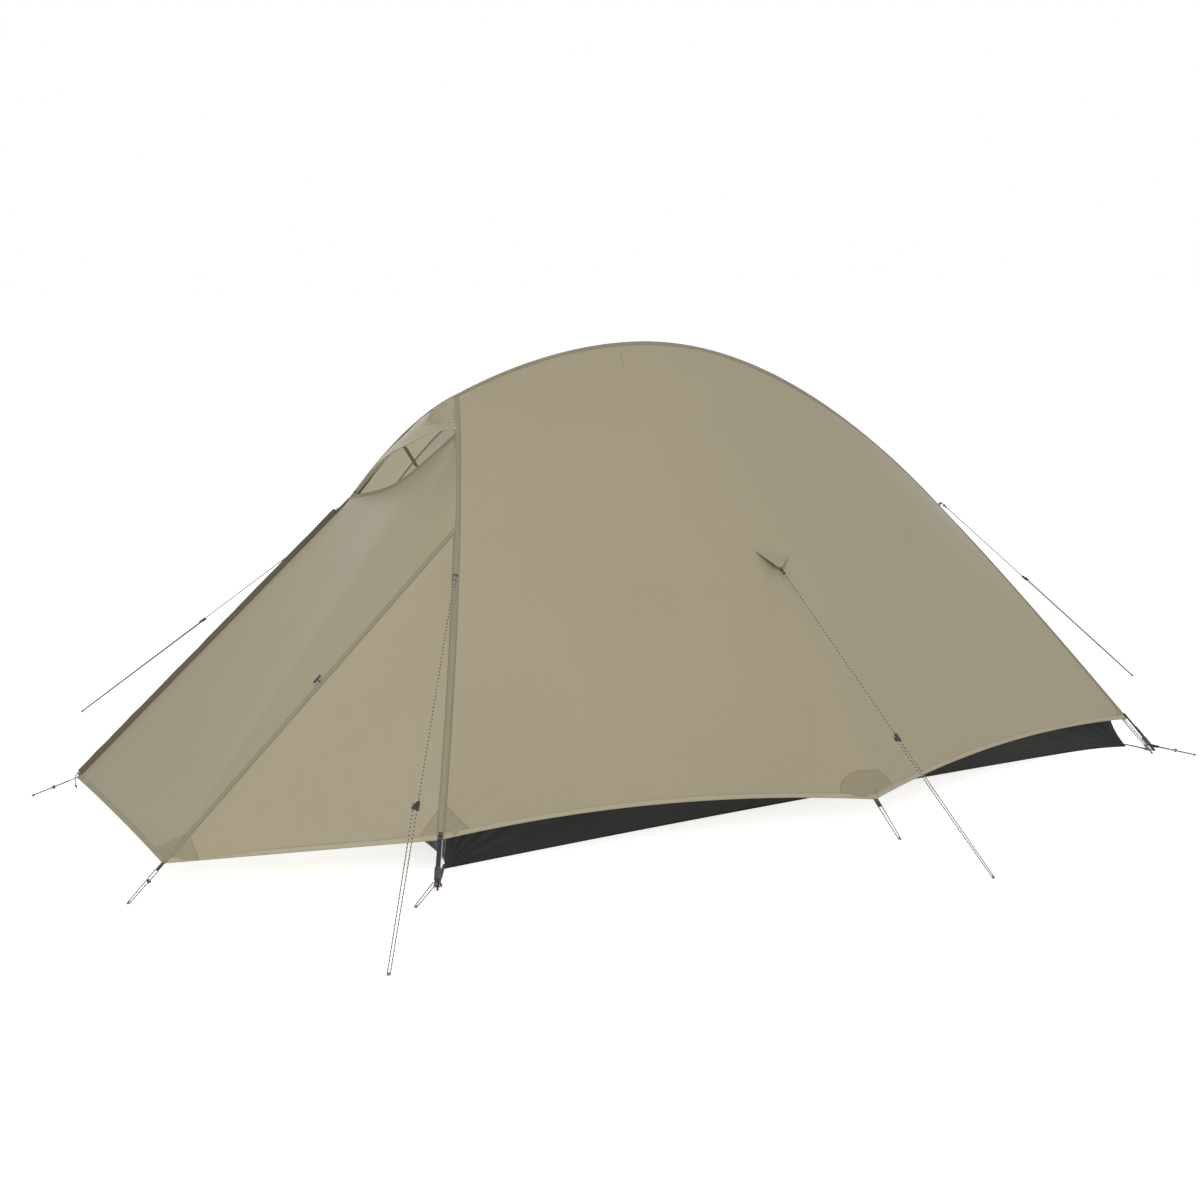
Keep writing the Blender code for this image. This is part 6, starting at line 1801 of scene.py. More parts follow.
ZIP_D = 0.0040
ZIP_SLIDER, ZIP_PULL, ZIP_PULL_LAP = (0.012, 0.009, 0.003), (0.034, 0.006, 0.0012), 0.002
ZIP_TOP_CLEAR, ZIP_END_CLEAR = 0.006, 0.055
FLAP_PROFILE = ((0.013, 0.0013), (0.009, 0.0045), (0.003, 0.0085), (-0.004, 0.0095), (-0.010, 0.0080))
FLAP_TOP_CUT, FLAP_LOW_CUT = 0.060, 0.015
STRUT_WIDTH, STRUT_THICKNESS, STRUT_CORNER = 0.010, 0.0020, 0.0045
STRUT_FOOT_CLEAR, STRUT_HEAD_CLEAR = 0.0012, 0.0020
TOGGLE_D, TOGGLE_LENGTH, TOGGLE_REACH, TOGGLE_PLACE = 0.005, 0.024, 0.012, 0.48
COIL_PITCH = 0.0020
PULL_CORD_D = 0.0018
TENSIONER_HOLE_D = 0.0042
HUB_ARM_D, HUB_ARM_LENGTH, HUB_SOCKET_DEPTH, BORE_GAP = 0.013, 0.045, 0.030, 0.0005
TIP_LENGTH = 0.030
POLE_SECTION = 0.43
SLEEVE_WAY = unit([0.40, -0.85, -0.30])


def coil_shape(path, ref, radius, wire):
    """Zip coil: a wire wound round the line as a helix, twice as wide as it is high, one turn a tooth."""
    length = arc_lengths(path)[-1]
    turns = int(length / COIL_PITCH)
    share = np.linspace(0, 1, turns * 7 + 1)
    line = at(path, share)
    _, side, rise = across_path(line, ref)
    turn = (2 * math.pi * turns * share)[:, None]
    wound = line + radius * (np.cos(turn) * side + 0.5 * np.sin(turn) * rise)
    return tube(wound, wire, ref=ref + 1e-3, sides=5)


def slider_shape(place, along, out, size, pull):
    """Zip slider: two tapered plates with a post between them, an arched bridge on top, and a pull that is a
    long ring with a flat leaf."""
    side = np.cross(out, along)
    length, width, depth = size
    ways = side, out, along
    back = place - along * length / 2
    plates = [block(width, depth * 0.30, length, depth * 0.14, depth * 0.10,
                    (back + out * level, *ways), (0.60, 0.72, 0.90, 1.0, 1.0))
              for level in (-depth * 0.34, depth * 0.34)]
    post = block(width * 0.3, depth * 0.7, length * 0.3, depth * 0.1, depth * 0.05,
                 (place + along * length * 0.15, *ways))
    turn = np.linspace(0, math.pi, 13)[:, None]
    top = place + out * depth * 0.45
    arch = top - along * np.cos(turn) * length * 0.36 + out * np.sin(turn) * 0.0022
    start = place + along * (length / 2 - ZIP_PULL_LAP)
    turn = np.linspace(0, 2 * math.pi, 25)[:, None]
    oval = start + along * 0.0045 + along * np.cos(turn) * 0.0050 + side * np.sin(turn) * pull[1] * 0.36
    leaf = block(pull[1], pull[2], pull[0] - 0.009, 0.0005, 0.0004,
                 (start + along * 0.009, *ways), (0.7, 0.85, 1.0, 1.0, 0.8))
    return joined(plates + [post, tube(arch, 0.00055, side, 6), ring_tube(oval[:-1], 0.0006, out), leaf])


class TENT_OT_door(Operator):
    """Zip with its two sliders, the rain flap over it, the hood's stay and the door's toggle."""
    bl_idname = "tent.door"
    bl_label = "Door hardware"

    def execute(self, context):
        top, low = seam_top("far"), vestibule_corner(FAR)
        along = unit(low - top)
        out = door_axes()[2]
        line = part_of(np.array([top + along * ZIP_TOP_CLEAR, low]), 0, 1, 121)
        places = np.linspace(0.02, 0.98, 121)
        into_door = smoothed(way_in(FRONT, "left", places))
        into_side = smoothed(way_in(VESTIBULE_SIDES["far"], "left", places))
        tape = seam_tape(line, into_door, into_side, 0.026, OUT_WAYS["front"], rise=0.0, clear=-0.0012)
        piece("door_zip_tape", tape, "coil", out=OUT_WAYS["front"], wall=0.0005)
        piece("door_zip_coil", coil_shape(line, out, ZIP_D / 2 - 0.0004, 0.00042), "coil",
              replaces=["door_zip"])
        rise = out * (ZIP_D / 2 + GAP + ZIP_SLIDER[2] / 2)
        for name, place in (("top", top + along * ZIP_END_CLEAR), ("bottom", low - along * ZIP_END_CLEAR)):
            body = f"door_zip_slider_{name}"
            piece(body + "_cast", slider_shape(place + rise, along, out, ZIP_SLIDER, ZIP_PULL), "zinc",
                  body=body, replaces=[body], sharp=40)
        back = ZIP_END_CLEAR + 0.002 - ZIP_SLIDER[0] / 2 - ZIP_PULL[0]
        self.pull_cord(low - along * back + rise, low, along, out)
        self.flap(top, low, along, out)
        self.stay()
        self.garage(top, out)
        self.toggle(out)
        return {"FINISHED"}

    def pull_cord(self, end, low, along, out):
        """Cord loop through the bottom slider's pull, hanging over the hem, with two knots."""
        over = low + out * 0.0085 - ACROSS * 0.0130 + along * 0.002
        hang = over - UP * 0.026 - ACROSS * 0.004
        down = smooth_through((end, (end + over) / 2 + out * 0.0015, over, hang), 25)
        side = unit(np.cross(out, along)) * 0.0016
        turn = np.linspace(0, math.pi, 7)[1:-1, None]
        bend = hang - UP * 0.0016 - 0.0016 * np.sin(turn) * UP + np.cos(turn) * side
        path = np.concatenate((down + side, bend, down[::-1] - side))
        shape = tube(path, PULL_CORD_D / 2, ref=unit(np.cross(side, UP) + 0.01), sides=8)
        knots = [(place, along, 0.0030) for place in (down[5], down[-2])]
        tied_cord("door_pull_cord", shape, path, "door_pull_knots", knots,
                  diameter=PULL_CORD_D, lay="loose", body="door_zip_slider_bottom")

    def flap(self, top, low, along, out):
        """Rain flap: its profile drawn smooth and carried down the zip, with shallow waves. Its dark colour near the
        top is partly the lining's own and partly painted shade between the flap and the door; further down it fades to
        a lighter shade.
        """
        into_door = np.cross(along, out)
        into_door = into_door * np.sign(into_door @ (vestibule_corner(NEAR) - low))
        rows = np.linspace(FLAP_TOP_CUT, length_of(low - top) - FLAP_LOW_CUT, 241)
        profile = smooth_through(np.array([(x, y, 0.0) for x, y in FLAP_PROFILE]), 21)
        points = (top + rows[:, None, None] * along + profile[:, :1] * into_door + profile[:, 1:2] * out)
        wave = soft_noise(points, 0.07, 71) * np.linspace(0, 1, 21)[None, :] ** 2 * 0.0008
        uv = uv_of(rows, np.linspace(0.0130, -0.0130, 21))
        made = piece("rain_flap_cloth", grid_shape(points + wave[..., None] * out, uv), "flap",
                     body="outer_door", replaces=["rain_flap"], out=out, wall=0.0010)
        width, length = float(arc_lengths(profile)[-1]), float(rows[-1] - rows[0])
        stretched(made, (width, length), "door_zip", width * length)

    def garage(self, top, out):
        """Dark facing over the zip's top end, the edge of the far leg's sleeve beside the hood, and between them a
        dark strip of painted shadow in the lining's colour, for the shade in the gap under the hood's lip."""
        length = length_of(vestibule_corner(FAR) - top)
        places = np.linspace(0.008 / length, (FLAP_TOP_CUT + 0.012) / length, 25)
        reach = np.linspace(0.0, 0.014, 6)
        strip = edge_strip(FRONT, "left", reach, places, 0.3) + 0.0022 * out
        strip = grid_shape(strip, uv_of(places * length, reach))
        follow_fold(piece("zip_garage_facing", strip, "lining", body=None, out=out, wall=0.0008))
        share = np.linspace(0.38, 1.0, 41)
        line = at(hood_lip(), share)
        steps = np.linspace(0, 1, 6)[None, :]
        sleeve = 0.013 * smooth_step(0.38, 0.56, share)[:, None]
        shadow_width = 0.006 * smooth_step(0.50, 0.85, share)[:, None]
        # The second strip is painted shadow: a dark sheet in the lining's colour where the gap under the hood's lip
        # lies in shade.
        for name, low, wide, look in (("hood_sleeve_edge", 0.0, sleeve, "fly"),
                                      ("zip_garage_wedge", sleeve - 0.001, shadow_width, "lining")):
            reach = low + steps * wide
            points = line[:, None] + reach[..., None] * SLEEVE_WAY
            uv = np.stack((np.broadcast_to(arc_lengths(line)[:, None], reach.shape), reach), axis=-1)
            piece(name, grid_shape(points, uv), look, out=out, slot="dark_trim_fabric", wall=0.0008)

    def stay(self):
        """Stay of stiffened webbing, its ends cut round."""
        foot, head = np.array(VENT_SILL[1]), np.array(HOOD_LIP[1])
        along = unit(head - foot)
        start, end = foot + along * (PANEL_EDGE + STRUT_FOOT_CLEAR), head - along * STRUT_HEAD_CLEAR
        lip = hood_lip()
        place = int(np.argmin(np.linalg.norm(lip - head, axis=1)))
        across = lip[place + 1] - lip[place - 1]
        across = unit(across - along * np.dot(across, along))
        half = float(np.linalg.norm(end - start)) / 2
        place = half * np.sin(np.linspace(-math.pi / 2, math.pi / 2, 41))
        cut = np.clip((np.abs(place) - half + STRUT_CORNER) / STRUT_CORNER, 0, 1)
        widths = STRUT_WIDTH / 2 - STRUT_CORNER * (1 - np.sqrt(1 - cut ** 2))
        outline = rounded_outline(2.0, 1.0, 0.2, steps=4)
        rings = ((start + end) / 2 + place[:, None, None] * along
                 + (outline[None, :, :1] * widths[:, None, None]) * across
                 + outline[None, :, 1:] * STRUT_THICKNESS * np.cross(along, across))
        piece("vent_strut_webbing", loft(rings, along=place), "stay", body="vent_strut",
              replaces=["vent_strut"], sharp=50)

    def toggle(self, out):
        """Bar toggle, waisted in the middle, on a loop of elastic cord."""
        top, low = seam_top("near"), vestibule_corner(NEAR)
        along = unit(low - top)
        root = top + TOGGLE_PLACE * (low - top) + out * (SEAM_D / 2 + GAP)
        half, r = TOGGLE_LENGTH / 2, TOGGLE_D / 2
        profile = [(0.0003, -half), (r * 0.7, -half + 0.0004), (r, -half + 0.0016), (r, -half * 0.35),
                   (r * 0.72, -half * 0.22)]
        profile += [(radius, -height) for radius, height in profile[::-1]]
        bar = turned(profile, root + out * TOGGLE_REACH, along, 20)
        turn = np.linspace(-0.5 * math.pi, 1.5 * math.pi, 33)[:-1, None]
        oval = (root + out * (TOGGLE_REACH / 2 + 0.0012) + np.cross(out, along) * 0.0029 * np.cos(turn)
                + out * (TOGGLE_REACH / 2 + 0.0010) * np.sin(turn))
        piece("door_toggle_bar", bar, "plastic", body="door_toggle", replaces=["door_toggle"], sharp=40)
        piece("door_toggle_elastic", ring_tube(oval, 0.0009, along), "webbing", "door_toggle", slot="cord")


# Pole frame and tensioners

def pole_shape(path, start_cut, end_cut):
    """Pole tube in sections: beside each joint it is swaged 4 percent wider over 2 cm, with a groove where
    the sections meet."""
    length = float(arc_lengths(path)[-1])
    joints = np.arange(POLE_SECTION * 0.7, length - 0.08, POLE_SECTION)
    offsets = np.array([-0.021, -0.019, -0.0012, -0.0005, 0.0005, 0.0012, 0.004, 0.006])
    fixed = np.linspace(start_cut, length - end_cut, int(length / 0.010))
    places = np.unique(np.concatenate([fixed] + [joint + offsets for joint in joints]))
    places = places[(places >= start_cut) & (places <= length - end_cut)]
    nearest = places - joints[np.argmin(np.abs(places[:, None] - joints[None, :]), axis=1)]
    swage = ((nearest > -0.020) & (nearest < 0.005)) * 0.04 - (np.abs(nearest) < 0.0009) * 0.10
    return tube(at(path, places / length), POLE_D / 2 * (1 + swage), ref=ACROSS + 0.01, sides=20)


def hub_shape(centre, ways):
    """Moulded hub: a puck with a rivet, and a ribbed socket for each pole, its mouth open."""
    r, length = HUB_ARM_D / 2, HUB_ARM_LENGTH
    bore, bottom = POLE_D / 2 + BORE_GAP, HUB_ARM_LENGTH - HUB_SOCKET_DEPTH
    profile = [(0.0003, 0.0), (r * 0.86, 0.0), (r * 0.86, 0.012)]
    for rib in (0.016, 0.023, 0.030):
        profile += [(r * 0.86, rib), (r * 0.95, rib + 0.0006)]
        profile += [(r * 0.95, rib + 0.0020), (r * 0.86, rib + 0.0026)]
    profile += [(r * 0.88, 0.038), (r, 0.0395), (r, length - 0.0006), (r - 0.0006, length),
                (bore + 0.0004, length), (bore, length - 0.0006), (bore, bottom), (0.0003, bottom)]
    shapes = [turned(profile, centre, way) for way in ways]
    axis = unit(np.cross(ways[1] - ways[0], ways[2] - ways[0]))
    puck = [(0.0003, 0.0), (0.0030, 0.0), (0.0036, -0.0006), (0.0038, -0.0012), (0.0064, -0.0014),
            (0.0074, -0.0030), (0.0074, -0.0100), (0.0064, -0.0120), (0.0003, -0.0122)]
    shapes.append(turned(puck, centre + axis * 0.0065, axis))
    return joined(shapes)


def tip_shape(nose, way):
    """Turned pole tip: ball nose, waisted pin, a flange with a groove and the sleeve on the pole's end."""
    r, top = POLE_D / 2, TIP_LENGTH
    turn = np.linspace(-math.pi / 2, 0.25 * math.pi, 9)
    profile = [(max(0.0002, TIP_NOSE_R * math.cos(a)), TIP_NOSE_R * math.sin(a)) for a in turn]
    profile += [(0.0021, 0.0032), (0.0021, 0.0115), (0.0026, 0.0135), (r - 0.0004, 0.0139), (r, 0.0145),
                (r, 0.0172), (r - 0.0006, 0.0176), (r - 0.0006, 0.0186), (r, 0.0190), (r, top - 0.0005),
                (r - 0.0004, top), (0.0003, top)]
    return turned(profile, nose, way)


def round_corners(corners, cut, steps=5):
    """Closed outline whose corners are each a quadratic curve between points a cut away along both sides."""
    before, after = (unit(np.roll(corners, way, axis=0) - corners) * cut for way in (1, -1))
    t = np.linspace(0, 1, steps)[None, :, None]
    start, middle, end = (corners + before)[:, None], corners[:, None], (corners + after)[:, None]
    return ((1 - t) ** 2 * start + 2 * t * (1 - t) * middle + t ** 2 * end).reshape(-1, 2)


def plate(outline, levels, insets, origin, side, along, face):
    """Plate with soft edges: its outline is carried through its thickness, drawn in to its middle by an
    inset at each level."""
    middle = outline.mean(axis=0)
    reach = np.linalg.norm(outline - middle, axis=1, keepdims=True)
    rings = [middle + (outline - middle) * (1 - inset / reach) for inset in insets]
    flat = np.stack(rings)
    points = (origin + flat[..., :1] * side + flat[..., 1:] * along
              + np.array(levels)[:, None, None] * face)
    return loft(points, along=np.array(levels) - levels[0])


TENSIONER_OUTLINE = np.array([(-0.0080, -0.0120), (-0.0020, -0.0120), (0.0090, 0.0048), (0.0088, 0.0090),
                              (-0.0086, 0.0120)])


def tensioner_shape(centre, along, across):
    """Line tensioner: a three-cornered plate that hangs on the main strand, with a raised rim, ribs to grip
    it by, and a collar at each mouth of its bores."""
    _, depth, length = TENSIONER_SIZE
    face = np.cross(along, across)
    half, deep = length / 2, depth / 2
    outline = round_corners(TENSIONER_OUTLINE, 0.0016)
    shapes = [plate(outline, np.array([-1, -0.8, -0.5, 0.5, 0.8, 1]) * deep * 0.8,
                    (0.0011, 0.0003, 0.0, 0.0, 0.0003, 0.0011), centre, across, along, face)]
    shapes.append(plate(outline * 0.62 + [0.0, 0.0012], np.array([-1, -0.92, 0.92, 1]) * deep,
                        (0.0006, 0.0, 0.0, 0.0006), centre, across, along, face))
    inner, rim = TENSIONER_HOLE_D / 2 - 0.0004, deep - 0.0002
    collar = [(inner, -0.0012), (rim - 0.0004, -0.0014), (rim, -0.0008), (rim, 0.0008),
              (rim - 0.0004, 0.0014), (inner, 0.0012)]
    for side, place in ((-1, -half + 0.0012), (-1, half - 0.0014), (1, half - 0.0035)):
        mouth = centre + side * across * STRAND_SPACING / 2 + along * place
        shapes.append(turned(collar, mouth, along, 20, ring=True))
    for rib in (-0.0030, 0.0005, 0.0040):
        shapes.append(block(0.0070, depth * 1.0, 0.0012, 0.0004, 0.0003,
                            (centre - across * 0.0012 + along * rib, across, face, along)))
    return joined(shapes)


class TENT_OT_frame(Operator):
    """Poles, hubs and tips, and the tensioners on the guylines."""
    bl_idname = "tent.frame"
    bl_label = "Pole frame"

    def execute(self, context):
        seat = HUB_ARM_LENGTH - HUB_SOCKET_DEPTH + GAP
        piece("pole_spine_tube", pole_shape(SPINE, seat, seat), "pole",
              replaces=["pole_spine"], sharp=40)
        for (end, name), line in LEGS.items():
            key = f"{end}_{name}"
            piece(f"pole_leg_{key}_tube", pole_shape(line, seat, TIP_LENGTH + GAP), "pole",
                  replaces=[f"pole_leg_{key}"], sharp=40)
            nose, up_pole = tip_axis(end, name)
            look = "tip" if end == "front" else "rear_tip"
            piece(f"pole_tip_{key}_turned", tip_shape(nose, up_pole), look,
                  replaces=[f"pole_tip_{key}"], sharp=40)
        for end, centre in (("front", FRONT_HUB), ("rear", REAR_HUB)):
            spine = part_of(SPINE, 0, 1, 33) if end == "front" else part_of(SPINE, 1, 0, 33)
            lines = [spine] + [part_of(LEGS[end, name], 0, 1, 21) for name in SIDES]
            piece(f"hub_{end}_moulded", hub_shape(centre, [unit(line[1] - line[0]) for line in lines]),
                  "hub", replaces=[f"hub_{end}"], sharp=35)
        for name, (face, face_out) in guyline_starts().items():
            _, along, across, centre = guyline_route(name, face, face_out)
            piece(f"tensioner_{name}_moulded", tensioner_shape(centre, along, across), "plastic",
                  body=f"tensioner_{name}", replaces=[f"guyline_tensioner_{name}"], sharp=35)
        return {"FINISHED"}


# Inner tent and tub

INNER_DROP, INNER_HUB_DROP, INNER_SEAM_D = 0.045, 0.052, 0.0024
RIM = TUB_HEIGHT + GAP + INNER_SEAM_D / 2
INNER_DOOR_SILL, INNER_DOOR_SILL_GAP, INNER_DOOR_HEIGHT = 0.030, 0.002, 0.600
INNER_DOOR_FOOT, INNER_DOOR_HEAD, INNER_DOOR_CORNER = 0.400, 0.215, 0.160
INNER_ZIP_D, INNER_SLIDER = 0.0024, (0.011, 0.008, 0.0025)
CLIP_WALL, CLIP_LENGTH, CLIP_STEM = 0.0015, 0.010, 0.0030
BINDING = 0.012
SPINE_CLIPS, FRONT_CLIPS, REAR_CLIPS = (5, 12, 19, 26), (7, 11, 15), (6, 12)
TUB_STATIONS, TUB_ACROSS, TUB_ROWS = 221, 61, 21
TUB_DRAWN = {"front": 0.045, "rear": 0.030}


MESH_WALL = 0.0004


def inner_hub(end):
    return (FRONT_HUB if end == "front" else REAR_HUB) - UP * INNER_HUB_DROP


def inner_leg_line(end, name):
    """Edge of the inner tent below a leg: in the plane of the end wall, from the hub to the tub."""
    leg = LEGS[end, name]
    line = leg - INNER_DROP * outward(leg)
    top, bottom = inner_hub(end), tub_corner(end, SIDES[name], RIM)
    line = pull_ends(part_of(line, 0.0, share_at_height(line, bottom[2]), 25), top, bottom, 0.5)
    line[:, 0] = bottom[0] + (line[:, 2] - bottom[2]) / (top[2] - bottom[2]) * (top[0] - bottom[0])
    return part_of(line, 0, 1, 49)


INNER_LEGS = {key: inner_leg_line(*key) for key in LEGS}
INNER_RIDGE = pull_ends(SPINE - INNER_DROP * outward(SPINE), inner_hub("front"), inner_hub("rear"), 0.3)
INNER_RIDGE = part_of(INNER_RIDGE, 0, 1, 113)


def closer_at_ends(count):
    """Shares from 0 to 1 that lie closer together near both ends, by a cosine."""
    return 0.5 - 0.5 * np.cos(np.linspace(0, math.pi, count))


def drawn(points):
    """Tub as its pegs pull it: the end walls are drawn in between the corners by 1 - exp(-distance), the
    rear one bellies in, and the rear corners' feet are pulled out towards their tabs."""
    x, y, z = points[..., 0], points[..., 1], points[..., 2]
    height = np.clip(z / TUB_HEIGHT, 0, 1)
    inward = (1 - np.exp(-np.maximum(TUB_Y - np.abs(y), 0) / 0.07)) * (1 - height ** 3)
    front = 1 - smooth_step(-TUB_FRONT_X, -TUB_FRONT_X + 0.35, x)
    rear = smooth_step(TUB_REAR_X - 0.35, TUB_REAR_X, x)
    at_rear = TUB_DRAWN["rear"] * inward + 0.010 * np.sin(math.pi * height)
    shift = TUB_DRAWN["front"] * inward * front - at_rear * rear
    foot = np.exp(-np.hypot(x - TUB_REAR_X, np.abs(y) - TUB_Y) / 0.05) * (1 - height)
    return np.stack((x + shift + 0.024 * foot, y + 0.032 * foot * np.sign(y), z), axis=-1)


def tub_edge(name, height, count=113, shares=None):
    """Long side of the tub at a height, drawn in between its corners by a parabola."""
    share = (np.linspace(0, 1, count) if shares is None else shares)[:, None]
    front, rear = tub_corner("front", SIDES[name], height), tub_corner("rear", SIDES[name], height)
    return front + share * (rear - front) - SIDES[name] * TUB_SCALLOP * 4 * share * (1 - share) * ACROSS


INNER_SIDES = {name: taut_patch(INNER_RIDGE, tub_edge(name, RIM),
                                INNER_LEGS["front", name], INNER_LEGS["rear", name]) for name in SIDES}


def wall_axes(end):
    """Middle of an end wall's foot, the way up the wall, and the way out of the tent."""
    base = tub_corner(end, NEAR, TUB_HEIGHT + GAP + CLOTH) * np.array([1, 0, 1])
    up_wall = unit(inner_hub(end) - base)
    return base, up_wall, np.cross(up_wall, ACROSS) * (1 if end == "front" else -1)


def wall_outline(end):
    """Outline of an end wall as across and up in its own plane, closed along its foot."""
    base, up_wall, _ = wall_axes(end)
    near = INNER_LEGS[end, "near"]
    flat = np.stack((near[:, 1], (near - base) @ up_wall), axis=1)
    return np.concatenate((flat, flat[::-1] * [-1, 1]))


def door_outline(grow, drop=0.0):
    """Arched door in the front wall's plane, grown by a distance, its sill lowered by another."""
    sill, corner = INNER_DOOR_SILL, INNER_DOOR_CORNER
    lean = math.atan2(INNER_DOOR_FOOT - INNER_DOOR_HEAD, INNER_DOOR_HEIGHT)
    turn = np.linspace(math.pi / 2, lean, 25)
    arc = np.stack((INNER_DOOR_HEAD - corner + (corner + grow) * np.cos(turn),
                    sill + INNER_DOOR_HEIGHT - corner + (corner + grow) * np.sin(turn)), axis=1)
    slope = (INNER_DOOR_FOOT - arc[-1, 0] + grow) / (arc[-1, 1] - sill)
    foot = (INNER_DOOR_FOOT + grow * math.hypot(1, slope) + drop * slope, sill - drop)
    right = np.concatenate((arc, [foot]))
    return np.concatenate((right, right[::-1] * [-1, 1]))


def rays_to(outline, centre, angles):
    """Distance from a centre to a closed outline along each angle, by cutting each ray with each side."""
    start = outline - centre
    side = np.roll(start, -1, axis=0) - start
    ray = np.stack((np.cos(angles), np.sin(angles)), axis=1)
    bottom = ray[:, :1] * side[None, :, 1] - ray[:, 1:] * side[None, :, 0]
    bottom = np.where(np.abs(bottom) < 1e-12, 1e-12, bottom)
    reach = (start[None, :, 0] * side[None, :, 1] - start[None, :, 1] * side[None, :, 0]) / bottom
    share = (start[None, :, 0] * ray[:, 1:] - start[None, :, 1] * ray[:, :1]) / bottom
    hit = (share >= -1e-9) & (share <= 1 + 1e-9) & (reach > 0)
    return np.where(hit, reach, np.inf).min(axis=1)


def flat_ring(outer, inner, place, rows=2, centre=(0.0, 0.32), spokes=240):
    """Flat sheet between two outlines, or from a centre where inner is None, cut as a grid of rays. place
    turns the plane's across and up into points."""
    centre = np.array(centre)
    corners = [np.arctan2(*(line - centre).T[::-1]) for line in (outer, inner) if line is not None]
    spread = np.linspace(-math.pi, math.pi, spokes, endpoint=False)
    angles = np.unique(np.round(np.concatenate([spread] + corners), 6))
    far = rays_to(outer, centre, angles)
    close = rays_to(inner, centre, angles) if inner is not None else far * 0.001
    share = np.linspace(0, 1, rows)[:, None]
    reach = close + share * (far - close)
    flat = centre + reach[..., None] * np.stack((np.cos(angles), np.sin(angles)), axis=1)
    uv = np.concatenate((flat, flat[:, :1]), axis=1)
    return grid_shape(place(flat), uv, wrap=True)


def clip_shape(place, along, seat):
    """Clip round a pole: a hook of most of a circle, and a stem down to the inner tent's seam."""
    to_seat = seat - place
    down = unit(to_seat - along * np.dot(to_seat, along))
    side = np.cross(along, down)
    radius = POLE_D / 2 + GAP + CLIP_WALL / 2
    turn = np.linspace(0.12, 2 * math.pi - math.radians(40), 33)[:, None]
    hook = place + radius * (np.cos(turn) * down + np.sin(turn) * side)
    stem = part_of(np.array([place + down * radius, seat - down * INNER_SEAM_D / 5]), 0, 1, 5)
    return joined([ribbon(hook, along, CLIP_LENGTH, CLIP_WALL), ribbon(stem, along, CLIP_LENGTH, CLIP_STEM)])


# Creases that run out of each wall's two corners: end of the wall, their reach, and their slopes
TUB_CREASES = ((0, 0.13, (0.13, 0.27, 0.42, 0.60, 0.78)), (-1, 0.24, (0.08, 0.17, 0.27, 0.38, 0.50)))


def tub_shape():
    """Bathtub floor: a floor grid and four walls that share its edges. The walls lean in a little, belly
    outwards as half a sine wave, and carry folds that run out from the corner tabs."""
    share = closer_at_ends(TUB_ACROSS)[:, None, None]
    along = closer_at_ends(TUB_STATIONS)
    near, far = (tub_edge(name, CLOTH / 2, shares=along) for name in ("near", "far"))
    floor = drawn((1 - share) * near + share * far)
    edge = np.minimum(share[..., 0], 1 - share[..., 0]) * np.minimum(along, 1 - along)
    bumps = 0.0015 * np.clip(soft_noise(floor, 0.30, 81), 0, 1) * np.clip(edge * 60, 0, 1)
    floor = floor + bumps[..., None] * UP
    shapes = [grid_shape(floor, floor[..., :2])]
    heights = np.linspace(CLOTH / 2, TUB_HEIGHT, TUB_ROWS)
    across = closer_at_ends(TUB_ACROSS)[:, None]
    for name in SIDES:
        rows = np.stack([drawn(tub_edge(name, height, shares=along)) for height in heights])
        shapes.append(tub_wall(rows, np.array([0.0, SIDES[name], 0.0]), 82))
    for end, way in (("front", -1), ("rear", 1)):
        ends = [(tub_corner(end, NEAR, height), tub_corner(end, FAR, height)) for height in heights]
        rows = np.stack([drawn((1 - across) * near + across * far) for near, far in ends])
        shapes.append(tub_wall(rows, np.array([way, 0.0, 0.0]), 83))
    return joined(shapes)


def tub_wall(rows, out, seed):
    height = np.linspace(0, 1, rows.shape[0])[:, None]
    run = arc_lengths(rows[0])[None, :]
    from_end = np.minimum(run, run[:, -1:] - run)
    keep = smooth_step(0.0, 0.03, from_end) * smooth_step(0.0, 0.10, height)
    keep = keep * (1 - 0.6 * smooth_step(0.7, 1, height))
    push = 0.004 * np.sin(math.pi * height) + 0.0018 * soft_noise(rows, 0.10, seed)
    for place, reach, shares in TUB_CREASES:
        level = unit(rows[0, rows.shape[1] // 2] - rows[0, place])
        push = push - 0.0220 * creases(rows, rows[0, place], level, UP, shares, 0.030, reach, grow=0.03)
    uv = np.stack(np.broadcast_arrays(run, height * TUB_HEIGHT), axis=-1)
    return grid_shape(rows + (push * keep)[..., None] * out, uv)


